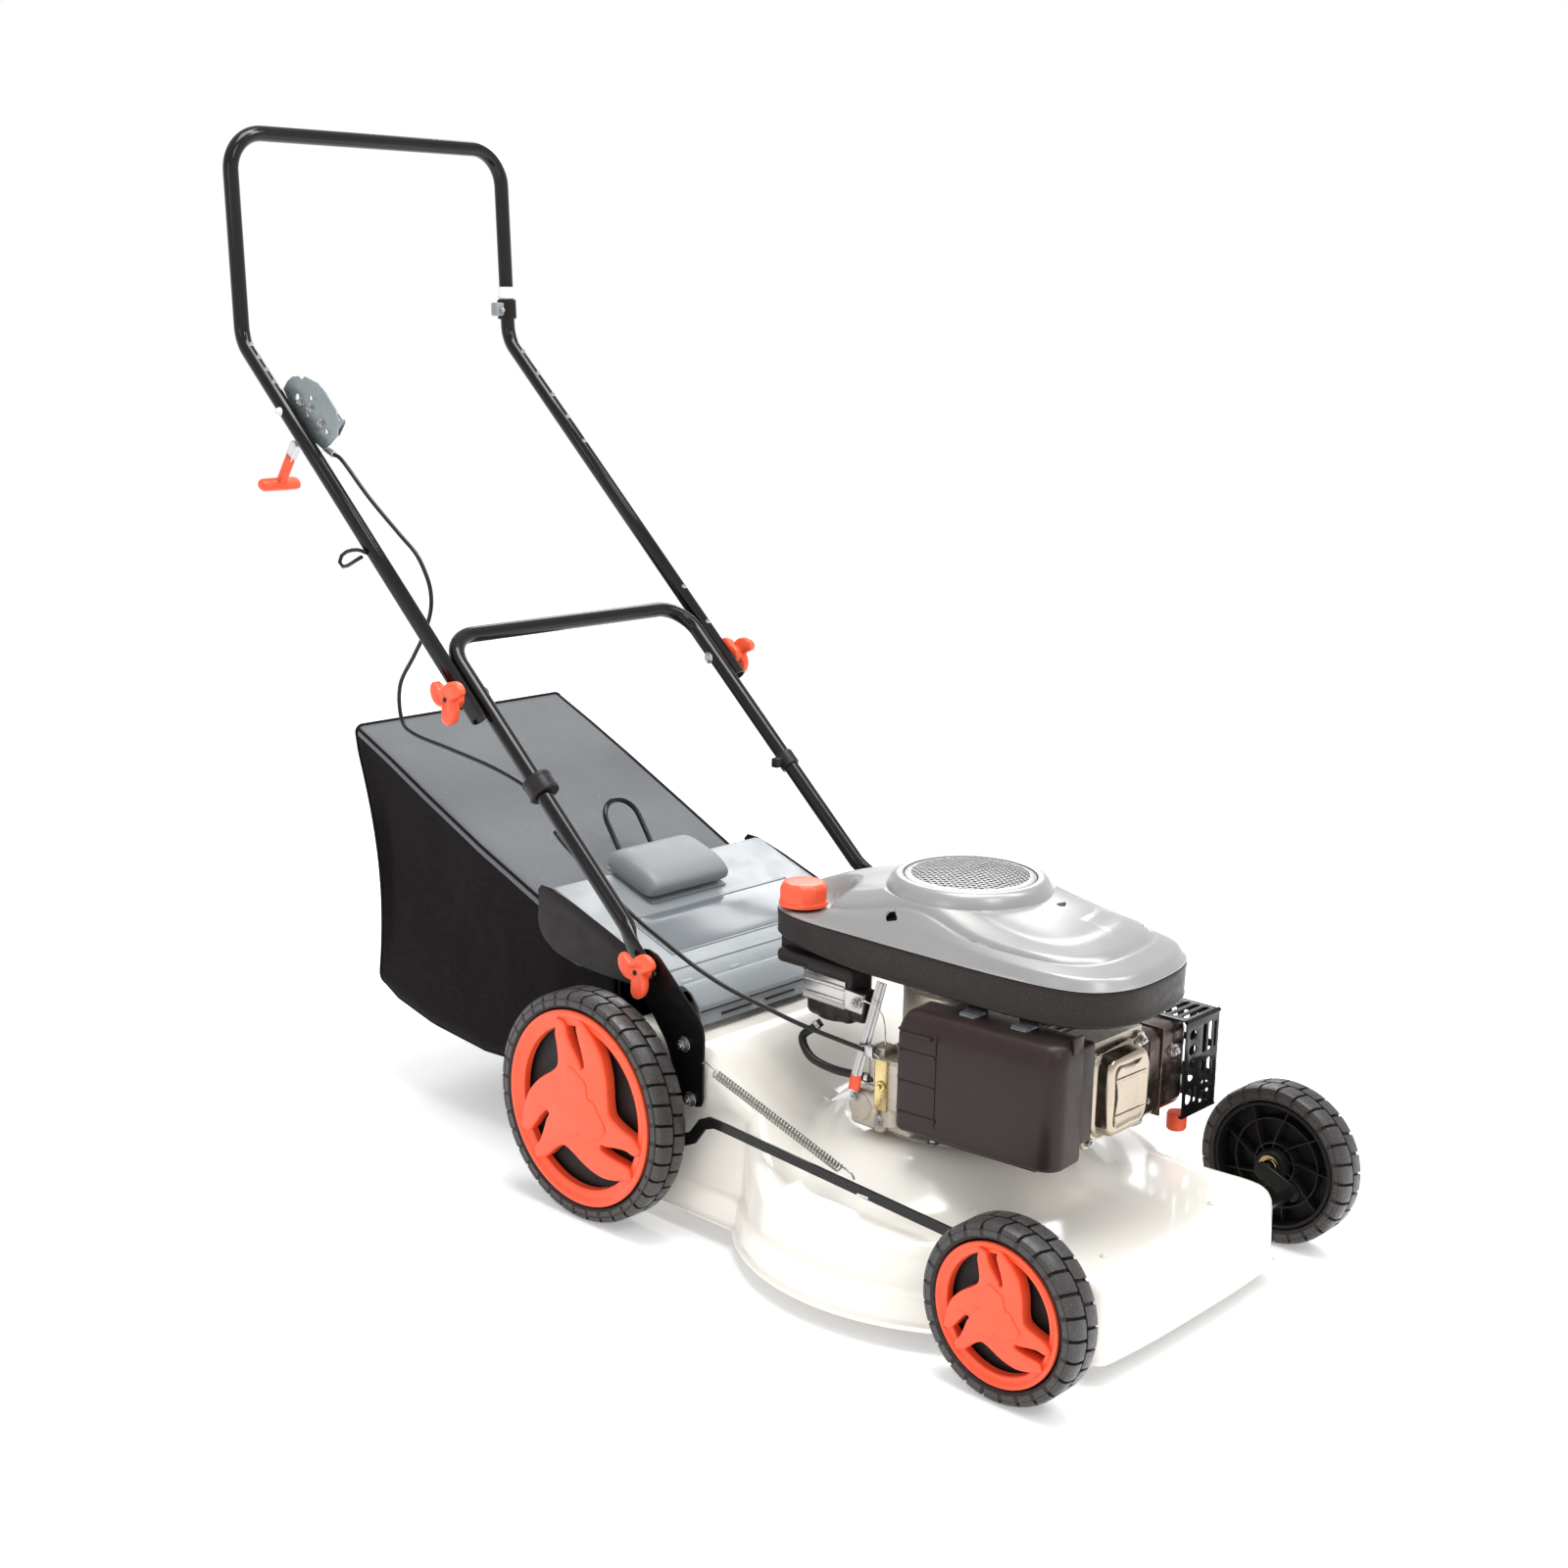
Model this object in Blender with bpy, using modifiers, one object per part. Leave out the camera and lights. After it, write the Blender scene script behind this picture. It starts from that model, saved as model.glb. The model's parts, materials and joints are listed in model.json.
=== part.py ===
"""Push lawn mower: pressed-steel deck, vertical-shaft engine, folding two-part
handle and a rear grass bag.  Metres, +Z up, the front of the mower towards -Y,
the operator's right-hand side towards -X.  Heights are above the ground."""

import math

import bmesh
import bpy
from mathutils import Matrix, Vector

# ---------------------------------------------------------------- dimensions
REAR_R = 0.130            # rear tyre radius
FRONT_R = 0.089           # front tyre radius
WHEELBASE = 0.574
TYRE_W = 0.043
WHEEL_X = 0.245           # middle of each tyre, from the centre plane
TYRE_STEPS = 32           # facets round a tyre; one of them lies on the ground
REAR_RIM = 0.1115         # radius of the wheel under the tyre
FRONT_RIM = 0.0715

ENG_X, ENG_Y = -0.025, -0.342     # crankshaft axis
BLADE_R = 0.228
DECK_T = 0.0018
LIP_Z = 0.022
DECK_R = 0.238            # radius of the cutting chamber's skirt
DECK_TOP = 0.105
DECK_REAR_TOP = 0.214
ENGINE_SEAT = 0.156          # top of the raised round under the engine
DECK_REAR_HALF = 0.196
DECK_REAR_Y = 0.020
DECK_FRONT_Y = -0.633
DECK_FRONT_NEAR = -0.178
DECK_FRONT_FAR = 0.160

TUBE_R = 0.0095
LOWER_X = 0.1928
UPPER_X = 0.2124
PIVOT_LOWER = (-0.0430, 0.2855)     # (y, z) of the lower handle's pivot
PIVOT_UPPER = (0.2484, 0.5459)    # where the upper handle is bolted to the lower
LOWER_CORNER = (0.3092, 0.6039)
UPPER_BEND = (0.669, 0.9313)
UPPER_TOP = (0.6833, 1.1799)

FRONT_PIVOT = (-0.610, 0.074)     # cranked front axle turns here
REAR_PIVOT = (0.036, 0.115)       # cranked rear axle turns here
LINK_X = -0.2150
ROD_R = 0.006

FLAP_HINGE = (-0.050, 0.257)
FLAP_HALF = 0.1720
BAG_HALF = 0.170
Y_SHIFT = -0.015          # puts the origin under the middle of the whole mower

# ---------------------------------------------------------------- scene setup
for old in list(bpy.data.objects):
    bpy.data.objects.remove(old, do_unlink=True)

parts = bpy.data.collections.new("push_lawn_mower")
helpers = bpy.data.collections.new("cutters")
bpy.context.scene.collection.children.link(parts)
bpy.context.scene.collection.children.link(helpers)

MATERIALS = {}


def material(name, colour, rough, metal=0.0):
    if name not in MATERIALS:
        made = bpy.data.materials.new(name)
        made.use_nodes = True
        shader = made.node_tree.nodes["Principled BSDF"]
        shader.inputs["Base Color"].default_value = (*colour, 1.0)
        shader.inputs["Roughness"].default_value = rough
        shader.inputs["Metallic"].default_value = metal
        MATERIALS[name] = made
    return MATERIALS[name]


CREAM = ("deck_cream", (0.80, 0.77, 0.69), 0.30, 0.0)
BLACK_PAINT = ("black_paint", (0.012, 0.012, 0.013), 0.25, 0.0)
BLACK_PLASTIC = ("black_plastic", (0.030, 0.027, 0.026), 0.45, 0.0)
GREY_PLASTIC = ("grey_plastic", (0.15, 0.16, 0.17), 0.42, 0.0)
SILVER_PLASTIC = ("silver_plastic", (0.42, 0.44, 0.45), 0.35, 0.2)
ORANGE = ("orange_plastic", (0.92, 0.13, 0.045), 0.40, 0.0)
RUBBER = ("tyre_rubber", (0.045, 0.043, 0.040), 0.70, 0.0)
ZINC = ("zinc_plate", (0.60, 0.60, 0.58), 0.35, 0.9)
ALUMINIUM = ("cast_aluminium", (0.50, 0.47, 0.43), 0.45, 0.8)
CHROME = ("chromed_steel", (0.62, 0.56, 0.47), 0.18, 1.0)
STEEL = ("bare_steel", (0.45, 0.45, 0.46), 0.35, 0.9)
FABRIC = ("bag_fabric", (0.035, 0.033, 0.036), 0.90, 0.0)
HOT_STEEL = ("muffler_steel", (0.20, 0.15, 0.13), 0.35, 0.8)


def finish(obj, mat, smooth=35):
    obj.data.materials.clear()
    obj.data.materials.append(material(*mat))
    if smooth and obj.type == "MESH":
        obj.data.shade_smooth()
        obj.data.set_sharp_from_angle(angle=math.radians(smooth))
    return obj


def mesh_object(name, bm, mat, smooth=35, cutter=False):
    bmesh.ops.recalc_face_normals(bm, faces=bm.faces)
    data = bpy.data.meshes.new(name)
    bm.to_mesh(data)
    bm.free()
    obj = bpy.data.objects.new(name, data)
    if cutter:
        helpers.objects.link(obj)
        obj.hide_render = True
        obj.display_type = "WIRE"
        return obj
    parts.objects.link(obj)
    return finish(obj, mat, smooth)


def loft(name, rings, mat, smooth=35, wrap=False, cutter=False):
    """A closed body through rings of the same number of points, capped at both
    ends, or with the last ring joined back to the first."""
    bm = bmesh.new()
    made = [[bm.verts.new(p) for p in ring] for ring in rings]
    n = len(made[0])
    pairs = list(zip(made, made[1:]))
    if wrap:
        pairs.append((made[-1], made[0]))
    for a, b in pairs:
        for i in range(n):
            j = (i + 1) % n
            bm.faces.new((a[i], a[j], b[j], b[i]))
    if not wrap:
        bm.faces.new(made[0])
        bm.faces.new(list(reversed(made[-1])))
    return mesh_object(name, bm, mat, smooth, cutter)


def box(name, lo, hi, mat, bevel=0.0, segments=1, cutter=False, smooth=35):
    bm = bmesh.new()
    bmesh.ops.create_cube(bm, size=1.0)
    for v in bm.verts:
        for k in range(3):
            v.co[k] = lo[k] if v.co[k] < 0 else hi[k]
    obj = mesh_object(name, bm, mat, smooth, cutter)
    if bevel:
        mod = obj.modifiers.new("edges", "BEVEL")
        mod.width = bevel
        mod.segments = segments
        mod.limit_method = "ANGLE"
    return obj


def cylinder(name, p0, p1, r0, mat, r1=None, sides=16, cutter=False):
    p0, p1 = Vector(p0), Vector(p1)
    bm = bmesh.new()
    bmesh.ops.create_cone(bm, cap_ends=True, segments=sides, radius1=r0,
                          radius2=r0 if r1 is None else r1, depth=(p1 - p0).length)
    turn = (p1 - p0).to_track_quat("Z", "Y").to_matrix().to_4x4()
    bmesh.ops.transform(bm, matrix=Matrix.Translation((p0 + p1) / 2) @ turn,
                        verts=bm.verts)
    return mesh_object(name, bm, mat, cutter=cutter)


TO_X = Matrix(((0, 0, 1, 0), (1, 0, 0, 0), (0, 1, 0, 0), (0, 0, 0, 1)))


def turned(name, profile, mat, centre, steps=24, along_x=False, half_step=False,
           cutter=False):
    """A turned body.  The profile is (radius, height) running down the outer
    side; one that starts and ends off the axis is a closed ring."""
    bm = bmesh.new()
    verts = [bm.verts.new((r, 0, h)) for r, h in profile]
    for a, b in zip(verts, verts[1:]):
        bm.edges.new((a, b))
    if profile[0][0] > 1e-6:
        bm.edges.new((verts[-1], verts[0]))
    data = bpy.data.meshes.new(name)
    bm.to_mesh(data)
    bm.free()
    obj = bpy.data.objects.new(name, data)
    (helpers if cutter else parts).objects.link(obj)
    if cutter:
        obj.hide_render = True
        obj.display_type = "WIRE"
    screw = obj.modifiers.new("turn", "SCREW")
    screw.steps = screw.render_steps = steps
    screw.use_merge_vertices = True
    screw.merge_threshold = 0.00005
    screw.use_smooth_shade = True
    spin = Matrix.Rotation(math.pi / steps if half_step else 0.0, 4, "Z")
    obj.matrix_world = Matrix.Translation(centre) @ (TO_X if along_x else Matrix()) @ spin
    if not cutter:
        data.materials.append(material(*mat))
    return obj


def rounded_path(points, radius, steps=5):
    """The points with each inner corner replaced by an arc."""
    points = [Vector(p) for p in points]
    out = [points[0]]
    for a, b, c in zip(points, points[1:], points[2:]):
        u, v = (a - b).normalized(), (c - b).normalized()
        angle = u.angle(v)
        reach = min(radius / math.tan(angle / 2), 0.48 * (a - b).length,
                    0.48 * (c - b).length)
        r = reach * math.tan(angle / 2)
        centre = b + (u + v).normalized() * (r / math.sin(angle / 2))
        start, end = b + u * reach - centre, b + v * reach - centre
        for k in range(steps + 1):
            t = k / steps
            w = start.angle(end)
            out.append(centre + (start * math.sin((1 - t) * w)
                                 + end * math.sin(t * w)) / math.sin(w))
    out.append(points[-1])
    return out


def smooth_path(points, count):
    """Evenly read points along a Catmull-Rom curve through the given ones."""
    pts = [Vector(p) for p in points]
    pts = [2 * pts[0] - pts[1]] + pts + [2 * pts[-1] - pts[-2]]
    fine = []
    for i in range(1, len(pts) - 2):
        p0, p1, p2, p3 = pts[i - 1:i + 3]
        for k in range(20):
            t = k / 20
            fine.append(0.5 * (2 * p1 + (p2 - p0) * t
                               + (2 * p0 - 5 * p1 + 4 * p2 - p3) * t * t
                               + (3 * p1 - p0 - 3 * p2 + p3) * t ** 3))
    fine.append(pts[-2])
    run = [0.0]
    for a, b in zip(fine, fine[1:]):
        run.append(run[-1] + (b - a).length)
    out, j = [], 0
    for k in range(count):
        want = run[-1] * k / (count - 1)
        while j < len(run) - 2 and run[j + 1] < want:
            j += 1
        span = run[j + 1] - run[j]
        out.append(fine[j].lerp(fine[j + 1], (want - run[j]) / span if span else 0.0))
    return out


def tube(name, points, radius, mat, resolution=2, cyclic=False):
    data = bpy.data.curves.new(name, "CURVE")
    data.dimensions = "3D"
    data.bevel_depth = radius
    data.bevel_resolution = resolution
    data.use_fill_caps = True
    spline = data.splines.new("POLY")
    spline.points.add(len(points) - 1)
    for p, q in zip(spline.points, points):
        p.co = (*q, 1.0)
    spline.use_cyclic_u = cyclic
    spline.use_smooth = True
    obj = bpy.data.objects.new(name, data)
    parts.objects.link(obj)
    data.materials.append(material(*mat))
    return obj


def plate(name, outline, x_mid, thickness, mat, holes=()):
    """A flat plate standing in a Y-Z plane.  The outline is a list of (y, z)."""
    data = bpy.data.curves.new(name, "CURVE")
    data.dimensions = "2D"
    data.fill_mode = "BOTH"
    data.extrude = thickness / 2
    for loop in [outline, *holes]:
        spline = data.splines.new("POLY")
        spline.points.add(len(loop) - 1)
        for p, q in zip(spline.points, loop):
            p.co = (q[0], q[1], 0.0, 1.0)
        spline.use_cyclic_u = True
    obj = bpy.data.objects.new(name, data)
    obj.matrix_world = Matrix.Translation((x_mid, 0, 0)) @ TO_X
    parts.objects.link(obj)
    data.materials.append(material(*mat))
    return obj


def as_mesh(obj, weld=0.00005):
    """The curve object as a mesh with its caps welded on."""
    bpy.context.view_layer.update()
    graph = bpy.context.evaluated_depsgraph_get()
    data = bpy.data.meshes.new_from_object(obj.evaluated_get(graph))
    bm = bmesh.new()
    bm.from_mesh(data)
    bmesh.ops.remove_doubles(bm, verts=bm.verts, dist=weld)
    bmesh.ops.recalc_face_normals(bm, faces=bm.faces)
    bm.to_mesh(data)
    bm.free()
    name, world = obj.name, obj.matrix_world.copy()
    collections = list(obj.users_collection)
    bpy.data.objects.remove(obj, do_unlink=True)
    made = bpy.data.objects.new(name, data)
    made.matrix_world = world
    for c in collections:
        c.objects.link(made)
    return made


def combine(obj, other, operation="DIFFERENCE"):
    mod = obj.modifiers.new(operation.lower(), "BOOLEAN")
    mod.operation = operation
    mod.object = other
    mod.solver = "EXACT"
    if other.name not in helpers.objects:
        for c in list(other.users_collection):
            c.objects.unlink(other)
        helpers.objects.link(other)
    other.hide_render = True
    other.display_type = "WIRE"
    return obj


def cutter_rod(name, p0, p1, r, sides=16):
    return cylinder(name, p0, p1, r, None, sides=sides, cutter=True)


def cutter_box(name, lo, hi):
    return box(name, lo, hi, None, cutter=True)


def circle_points(y, z, r, n=12):
    return [(y + r * math.cos(math.tau * k / n), z + r * math.sin(math.tau * k / n))
            for k in range(n)]


def round_corners(outline, radius, steps=2):
    """A closed (y, z) outline with its corners rounded."""
    out, n = [], len(outline)
    for i in range(n):
        a, b, c = (Vector(outline[(i + k) % n]) for k in (-1, 0, 1))
        u, v = (a - b).normalized(), (c - b).normalized()
        reach = min(radius, 0.45 * (a - b).length, 0.45 * (c - b).length)
        for k in range(steps + 1):
            t = k / steps
            p = (b + u * reach) * (1 - t) ** 2 + b * 2 * t * (1 - t) + (b + v * reach) * t * t
            out.append((p.x, p.y))
    return out


def mirrored(obj, name, mat):
    """A copy on the other side of the centre plane, as its own body."""
    bpy.context.view_layer.update()
    graph = bpy.context.evaluated_depsgraph_get()
    data = bpy.data.meshes.new_from_object(obj.evaluated_get(graph))
    data.transform(obj.matrix_world)
    data.transform(Matrix.Scale(-1, 4, (1, 0, 0)))
    data.flip_normals()
    made = bpy.data.objects.new(name, data)
    parts.objects.link(made)
    return finish(made, mat)


def joint_empty(name, at):
    empty = bpy.data.objects.new(name, None)
    empty.location = at
    empty.empty_display_size = 0.03
    parts.objects.link(empty)
    return empty


def hang(empty, *objects):
    bpy.context.view_layer.update()
    for obj in objects:
        obj.parent = empty
        obj.matrix_parent_inverse = Matrix.Translation(-empty.location)


def ease(t):
    t = max(0.0, min(1.0, t))
    return t * t * (3 - 2 * t)


def on_handle(s):
    """(y, z) at the distance s up the lower handle from its pivot."""
    dy, dz = LOWER_CORNER[0] - PIVOT_LOWER[0], LOWER_CORNER[1] - PIVOT_LOWER[1]
    length = math.hypot(dy, dz)
    return (PIVOT_LOWER[0] + dy * s / length, PIVOT_LOWER[1] + dz * s / length)


# ---------------------------------------------------------------- deck
def deck_height(x, y):
    front = 0.012 * ease((-0.46 - y) / 0.16)
    rear = (DECK_REAR_TOP - DECK_TOP) * ease((y + 0.29) / 0.20)
    plain = DECK_TOP - front + rear
    reach = math.hypot(x + 0.026, y + 0.325)
    raised = DECK_TOP + (ENGINE_SEAT - DECK_TOP) * ease((0.194 - reach) / 0.086)
    return max(plain, raised)


def ray_box(dx, dy, x0, x1, y0, y1):
    """How far a ray from the crankshaft axis runs inside a box."""
    reach = 9.0
    if abs(dx) > 1e-9:
        reach = min(reach, ((x1 if dx > 0 else x0) - ENG_X) / dx)
    if abs(dy) > 1e-9:
        reach = min(reach, ((y1 if dy > 0 else y0) - ENG_Y) / dy)
    return reach


def deck_outline(angle):
    dx, dy = math.cos(angle), math.sin(angle)
    reach = DECK_R
    # Front box, with a slightly bowed front edge.
    r = ray_box(dx, dy, DECK_FRONT_NEAR, DECK_FRONT_FAR, DECK_FRONT_Y, ENG_Y + 0.05)
    if dy < 0:
        x = ENG_X + dx * r
        r -= 0.35 * max(0.0, abs(x + 0.01) - 0.04) ** 2 * 1.2
        reach = max(reach, r)
    else:
        reach = max(reach, ray_box(dx, dy, -DECK_REAR_HALF, DECK_REAR_HALF,
                                   ENG_Y - 0.05, DECK_REAR_Y))
    return reach


def deck_angles():
    """Even steps, with rays added at the corners of the outline."""
    base = [math.tau * (k + 0.5) / 48 for k in range(48)]
    corners = [(DECK_FRONT_NEAR, DECK_FRONT_Y + 0.004), (DECK_FRONT_FAR, DECK_FRONT_Y + 0.004),
               (-DECK_REAR_HALF, DECK_REAR_Y), (DECK_REAR_HALF, DECK_REAR_Y)]
    for x, y in corners:
        want = math.atan2(y - ENG_Y, x - ENG_X) % math.tau
        near = min(range(48), key=lambda k: abs(base[k] - want))
        base[near] = want
    return base


angles = deck_angles()
edge = [deck_outline(a) for a in angles]
rings = []
for inset, kind in [(-0.006, "lip"), (0.0, "lip_in"), (0.0, "ridge"), (0.006, "ridge_in"),
                    (0.008, "shoulder_low"), (0.014, "shoulder"), (0.028, "top")]:
    ring = []
    for a, r in zip(angles, edge):
        x, y = ENG_X + math.cos(a) * (r - inset), ENG_Y + math.sin(a) * (r - inset)
        h = deck_height(x, y)
        z = {"lip": LIP_Z, "lip_in": LIP_Z + 0.003, "ridge": 0.054, "ridge_in": 0.059,
             "shoulder_low": max(0.0625, h - 0.022), "shoulder": h - 0.008,
             "top": h}[kind]
        ring.append((x, y, z))
    rings.append(ring)
for r in (0.196, 0.176, 0.152, 0.130, 0.108, 0.030):
    ring = []
    for a, outer in zip(angles, edge):
        q = min(r, (outer - 0.038) * (0.60 + 0.40 * r / 0.197))
        x, y = ENG_X + math.cos(a) * q, ENG_Y + math.sin(a) * q
        ring.append((x, y, ENGINE_SEAT if r < 0.11 else deck_height(x, y)))
    rings.append(ring)
bm = bmesh.new()
made = [[bm.verts.new(p) for p in ring] for ring in rings]
for a, b in zip(made, made[1:]):
    for i in range(len(a)):
        j = (i + 1) % len(a)
        bm.faces.new((a[i], a[j], b[j], b[i]))
deck = mesh_object("deck", bm, CREAM, smooth=40)
shell = deck.modifiers.new("sheet", "SOLIDIFY")
shell.thickness = DECK_T
shell.offset = -1.0
shell.use_even_offset = False
# Rear discharge mouth, axle holes and the two lugs that carry the rear axle.
combine(deck, cutter_box("cut_chute", (-0.155, -0.035, 0.118), (0.155, 0.06, 0.198)))
for side, name in ((-1, "right"), (1, "left")):
    lug = box("lug_" + name, (side * 0.168 - 0.0025, 0.0122, 0.092),
              (side * 0.168 + 0.0025, 0.048, 0.130), CREAM)
    combine(deck, lug, "UNION")
combine(deck, cutter_rod("cut_front_axle", (-0.24, *FRONT_PIVOT), (0.24, *FRONT_PIVOT), 0.0085))
combine(deck, cutter_rod("cut_rear_axle", (-0.18, *REAR_PIVOT), (0.18, *REAR_PIVOT), 0.0066))

# ---------------------------------------------------------------- hinge cowl and flap
cowl_profile = [(-0.0905, 0.2225), (-0.086, 0.243), (-0.074, 0.257), (-0.062, 0.262),
                (-0.0572, 0.262), (-0.0572, 0.2588), (-0.063, 0.2588), (-0.0715, 0.2545),
                (-0.0825, 0.241), (-0.0865, 0.2225)]
cowl = plate("hinge_cowl", cowl_profile, 0.0, 0.330, GREY_PLASTIC)

hy, hz = FLAP_HINGE
hinge_rod = cylinder("flap_hinge_rod", (-0.1962, hy, hz), (0.1962, hy, hz), 0.0028, STEEL, sides=10)

slope = math.atan2(0.071, 0.205)
cs, sn = math.cos(slope), math.sin(slope)


def flap_point(s, up):
    return (hy + cs * s - sn * up, hz + sn * s + cs * up)


flap_profile = [flap_point(s, u) for s, u in
                [(-0.0055, 0.0), (-0.004, 0.0052), (0.0, 0.0065), (0.02, 0.0072), (0.206, 0.0072),
                 (0.2130, 0.0040), (0.2145, -0.004), (0.2120, -0.004), (0.2105, 0.0020),
                 (0.2050, 0.0044), (0.02, 0.0044), (0.006, 0.0040), (0.0046, 0.0),
                 (0.0036, -0.0036), (0.0, -0.0056), (-0.004, -0.004)]]
flap = plate("rear_flap", flap_profile, 0.0, 2 * FLAP_HALF - 0.0040, GREY_PLASTIC)
flap = as_mesh(flap)
finish(flap, GREY_PLASTIC)
for side, name in ((-1, "r"), (1, "l")):
    cheek_outline = round_corners(
        [flap_point(0.004, 0.0064), flap_point(0.2120, 0.0064), flap_point(0.226, -0.026),
         flap_point(0.206, -0.058), flap_point(0.150, -0.060), flap_point(0.020, -0.016)], 0.008)
    cheek = as_mesh(plate("flap_cheek_" + name, cheek_outline, side * (FLAP_HALF - 0.0017),
                          0.003, GREY_PLASTIC))
    combine(flap, cheek, "UNION")
combine(flap, cutter_rod("cut_hinge", (-0.2, hy, hz), (0.2, hy, hz), 0.0033, 10))

grip_rings = []
for x, k in [(-0.0830, 0.50), (-0.0800, 0.85), (-0.0710, 1.0), (0.0330, 1.0), (0.0420, 0.85), (0.0450, 0.50)]:
    ring = []
    for s, u in [(0.139, 0.0076), (0.136, 0.018), (0.142, 0.028), (0.160, 0.034), (0.196, 0.038),
                 (0.214, 0.034), (0.2215, 0.022), (0.2160, 0.0076)]:
        y, z = flap_point(0.178 + (s - 0.178) * (0.78 + 0.22 * k), 0.0076 + (u - 0.0076) * (0.40 + 0.60 * k))
        ring.append((x, y, z))
    grip_rings.append(ring)
flap_grip = loft("flap_grip", grip_rings, GREY_PLASTIC, smooth=50)
flap_empty = joint_empty("flap_axis", (0, hy, hz))
hang(flap_empty, flap, flap_grip)

# ---------------------------------------------------------------- handle brackets
bracket_outline = round_corners(
    [(-0.1260, 0.146), (-0.1275, 0.232), (-0.119, 0.247), (-0.054, 0.305), (-0.034, 0.308),
     (-0.020, 0.290), (-0.026, 0.262), (-0.072, 0.205), (-0.092, 0.146)], 0.009)
bracket = as_mesh(plate("handle_bracket_right", bracket_outline, -0.19775, 0.0024, BLACK_PAINT))
finish(bracket, BLACK_PAINT)
bracket_left = mirrored(bracket, "handle_bracket_left", BLACK_PAINT)

# ---------------------------------------------------------------- handles
def swept(name, stations, mat, normal, sides=12):
    """A tube through stations (point, half-size across, half-size along the
    normal); across is in the plane of the handle."""
    points = [Vector(s[0]) for s in stations]
    rings = []
    for i, (p, across, along) in enumerate(stations):
        a = points[max(i - 1, 0)]
        b = points[min(i + 1, len(points) - 1)]
        side = (b - a).normalized().cross(normal).normalized()
        ring = []
        for k in range(sides):
            t = math.tau * (k + 0.5) / sides
            ring.append(points[i] + side * across * math.cos(t) + normal * along * math.sin(t))
        rings.append(ring)
    return loft(name, rings, mat, smooth=50)


handle_normal = Vector((0, -(LOWER_CORNER[1] - PIVOT_LOWER[1]),
                        LOWER_CORNER[0] - PIVOT_LOWER[0])).normalized()
leg = [((-0.2025, *on_handle(-0.013)), 0.0028, 0.0090),
       ((-0.2025, *on_handle(0.000)), 0.0028, 0.0120),
       ((-0.2025, *on_handle(0.0265)), 0.0028, 0.0120),
       ((-0.1985, *on_handle(0.041)), 0.0060, 0.0106),
       ((-LOWER_X, *on_handle(0.057)), TUBE_R, TUBE_R)]
bend = rounded_path([(-LOWER_X, *on_handle(0.060)), (-LOWER_X, *LOWER_CORNER),
                     (LOWER_X, *LOWER_CORNER), (LOWER_X, *on_handle(0.060))], 0.042, 5)
stations = leg + [(tuple(p), TUBE_R, TUBE_R) for p in bend[1:-1]]
stations += [((-p[0], p[1], p[2]), a, b) for (p, a, b) in reversed(leg)]
lower_handle = swept("lower_handle", stations, BLACK_PAINT, handle_normal)


def bore_of(name, path, radius):
    """The space inside a bent tube, as a cutter."""
    inner = as_mesh(tube(name, path, radius, BLACK_PAINT, resolution=1))
    for c in list(inner.users_collection):
        c.objects.unlink(inner)
    helpers.objects.link(inner)
    inner.hide_render = True
    inner.display_type = "WIRE"
    return inner


combine(lower_handle, bore_of("cut_lower_bore", [bend[0] + (bend[1] - bend[0]) * 0.05] + bend[1:-1]
                              + [bend[-1] + (bend[-2] - bend[-1]) * 0.05], TUBE_R - 0.0013))
combine(lower_handle, cutter_rod("cut_drain", (0, LOWER_CORNER[0], LOWER_CORNER[1] - 0.03),
                                 (0, LOWER_CORNER[0], LOWER_CORNER[1]), 0.002, 8))

uy, uz = (UPPER_BEND[0] - PIVOT_UPPER[0], UPPER_BEND[1] - PIVOT_UPPER[1])
ul = math.hypot(uy, uz)
foot = (PIVOT_UPPER[0] - uy / ul * 0.034, PIVOT_UPPER[1] - uz / ul * 0.034)
right = rounded_path([(-UPPER_X, *foot), (-UPPER_X, *UPPER_BEND), (-UPPER_X, *UPPER_TOP)], 0.045, 4)[:-1]
over = rounded_path([(-UPPER_X, UPPER_BEND[0] + 0.003, UPPER_BEND[1] + 0.05), (-UPPER_X, *UPPER_TOP),
                     (UPPER_X, *UPPER_TOP), (UPPER_X, UPPER_BEND[0] + 0.003, UPPER_BEND[1] + 0.05)],
                    0.047, 5)[1:-1]
left = [Vector((-p.x, p.y, p.z)) for p in reversed(right)]
upper_handle = as_mesh(tube("upper_handle", right + over + left, TUBE_R, BLACK_PAINT, resolution=4))
finish(upper_handle, BLACK_PAINT, 50)
run_out = (right[0] - right[1]).normalized() * 0.01
combine(upper_handle, bore_of("cut_upper_bore", [right[0] + run_out] + right + over + left
                              + [left[-1] + (left[-1] - left[-2]).normalized() * 0.01], TUBE_R - 0.0013))


def wing_knob(name, x0, y, z, side, depth=0.0215):
    """Three-winged clamping knob on a boss; x0 is the face it clamps."""
    def ring(out, scale, wing):
        pts = []
        for k in range(24):
            t = math.tau * k / 24
            lobe = max(0.0, math.cos(3 * t)) ** 1.5
            r = (0.0115 + wing * 0.0190 * lobe) * scale
            twist = t + 0.35 * wing * lobe
            pts.append((x0 + side * out, y + r * math.cos(twist), z + r * math.sin(twist)))
        return pts
    boss = depth * 0.42
    return loft(name, [ring(0.0003, 0.95, 0), ring(boss, 0.95, 0), ring(boss + 0.0015, 0.95, 1),
                       ring(depth - 0.0025, 1.0, 1), ring(depth, 0.86, 1)], ORANGE, smooth=40)


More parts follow.
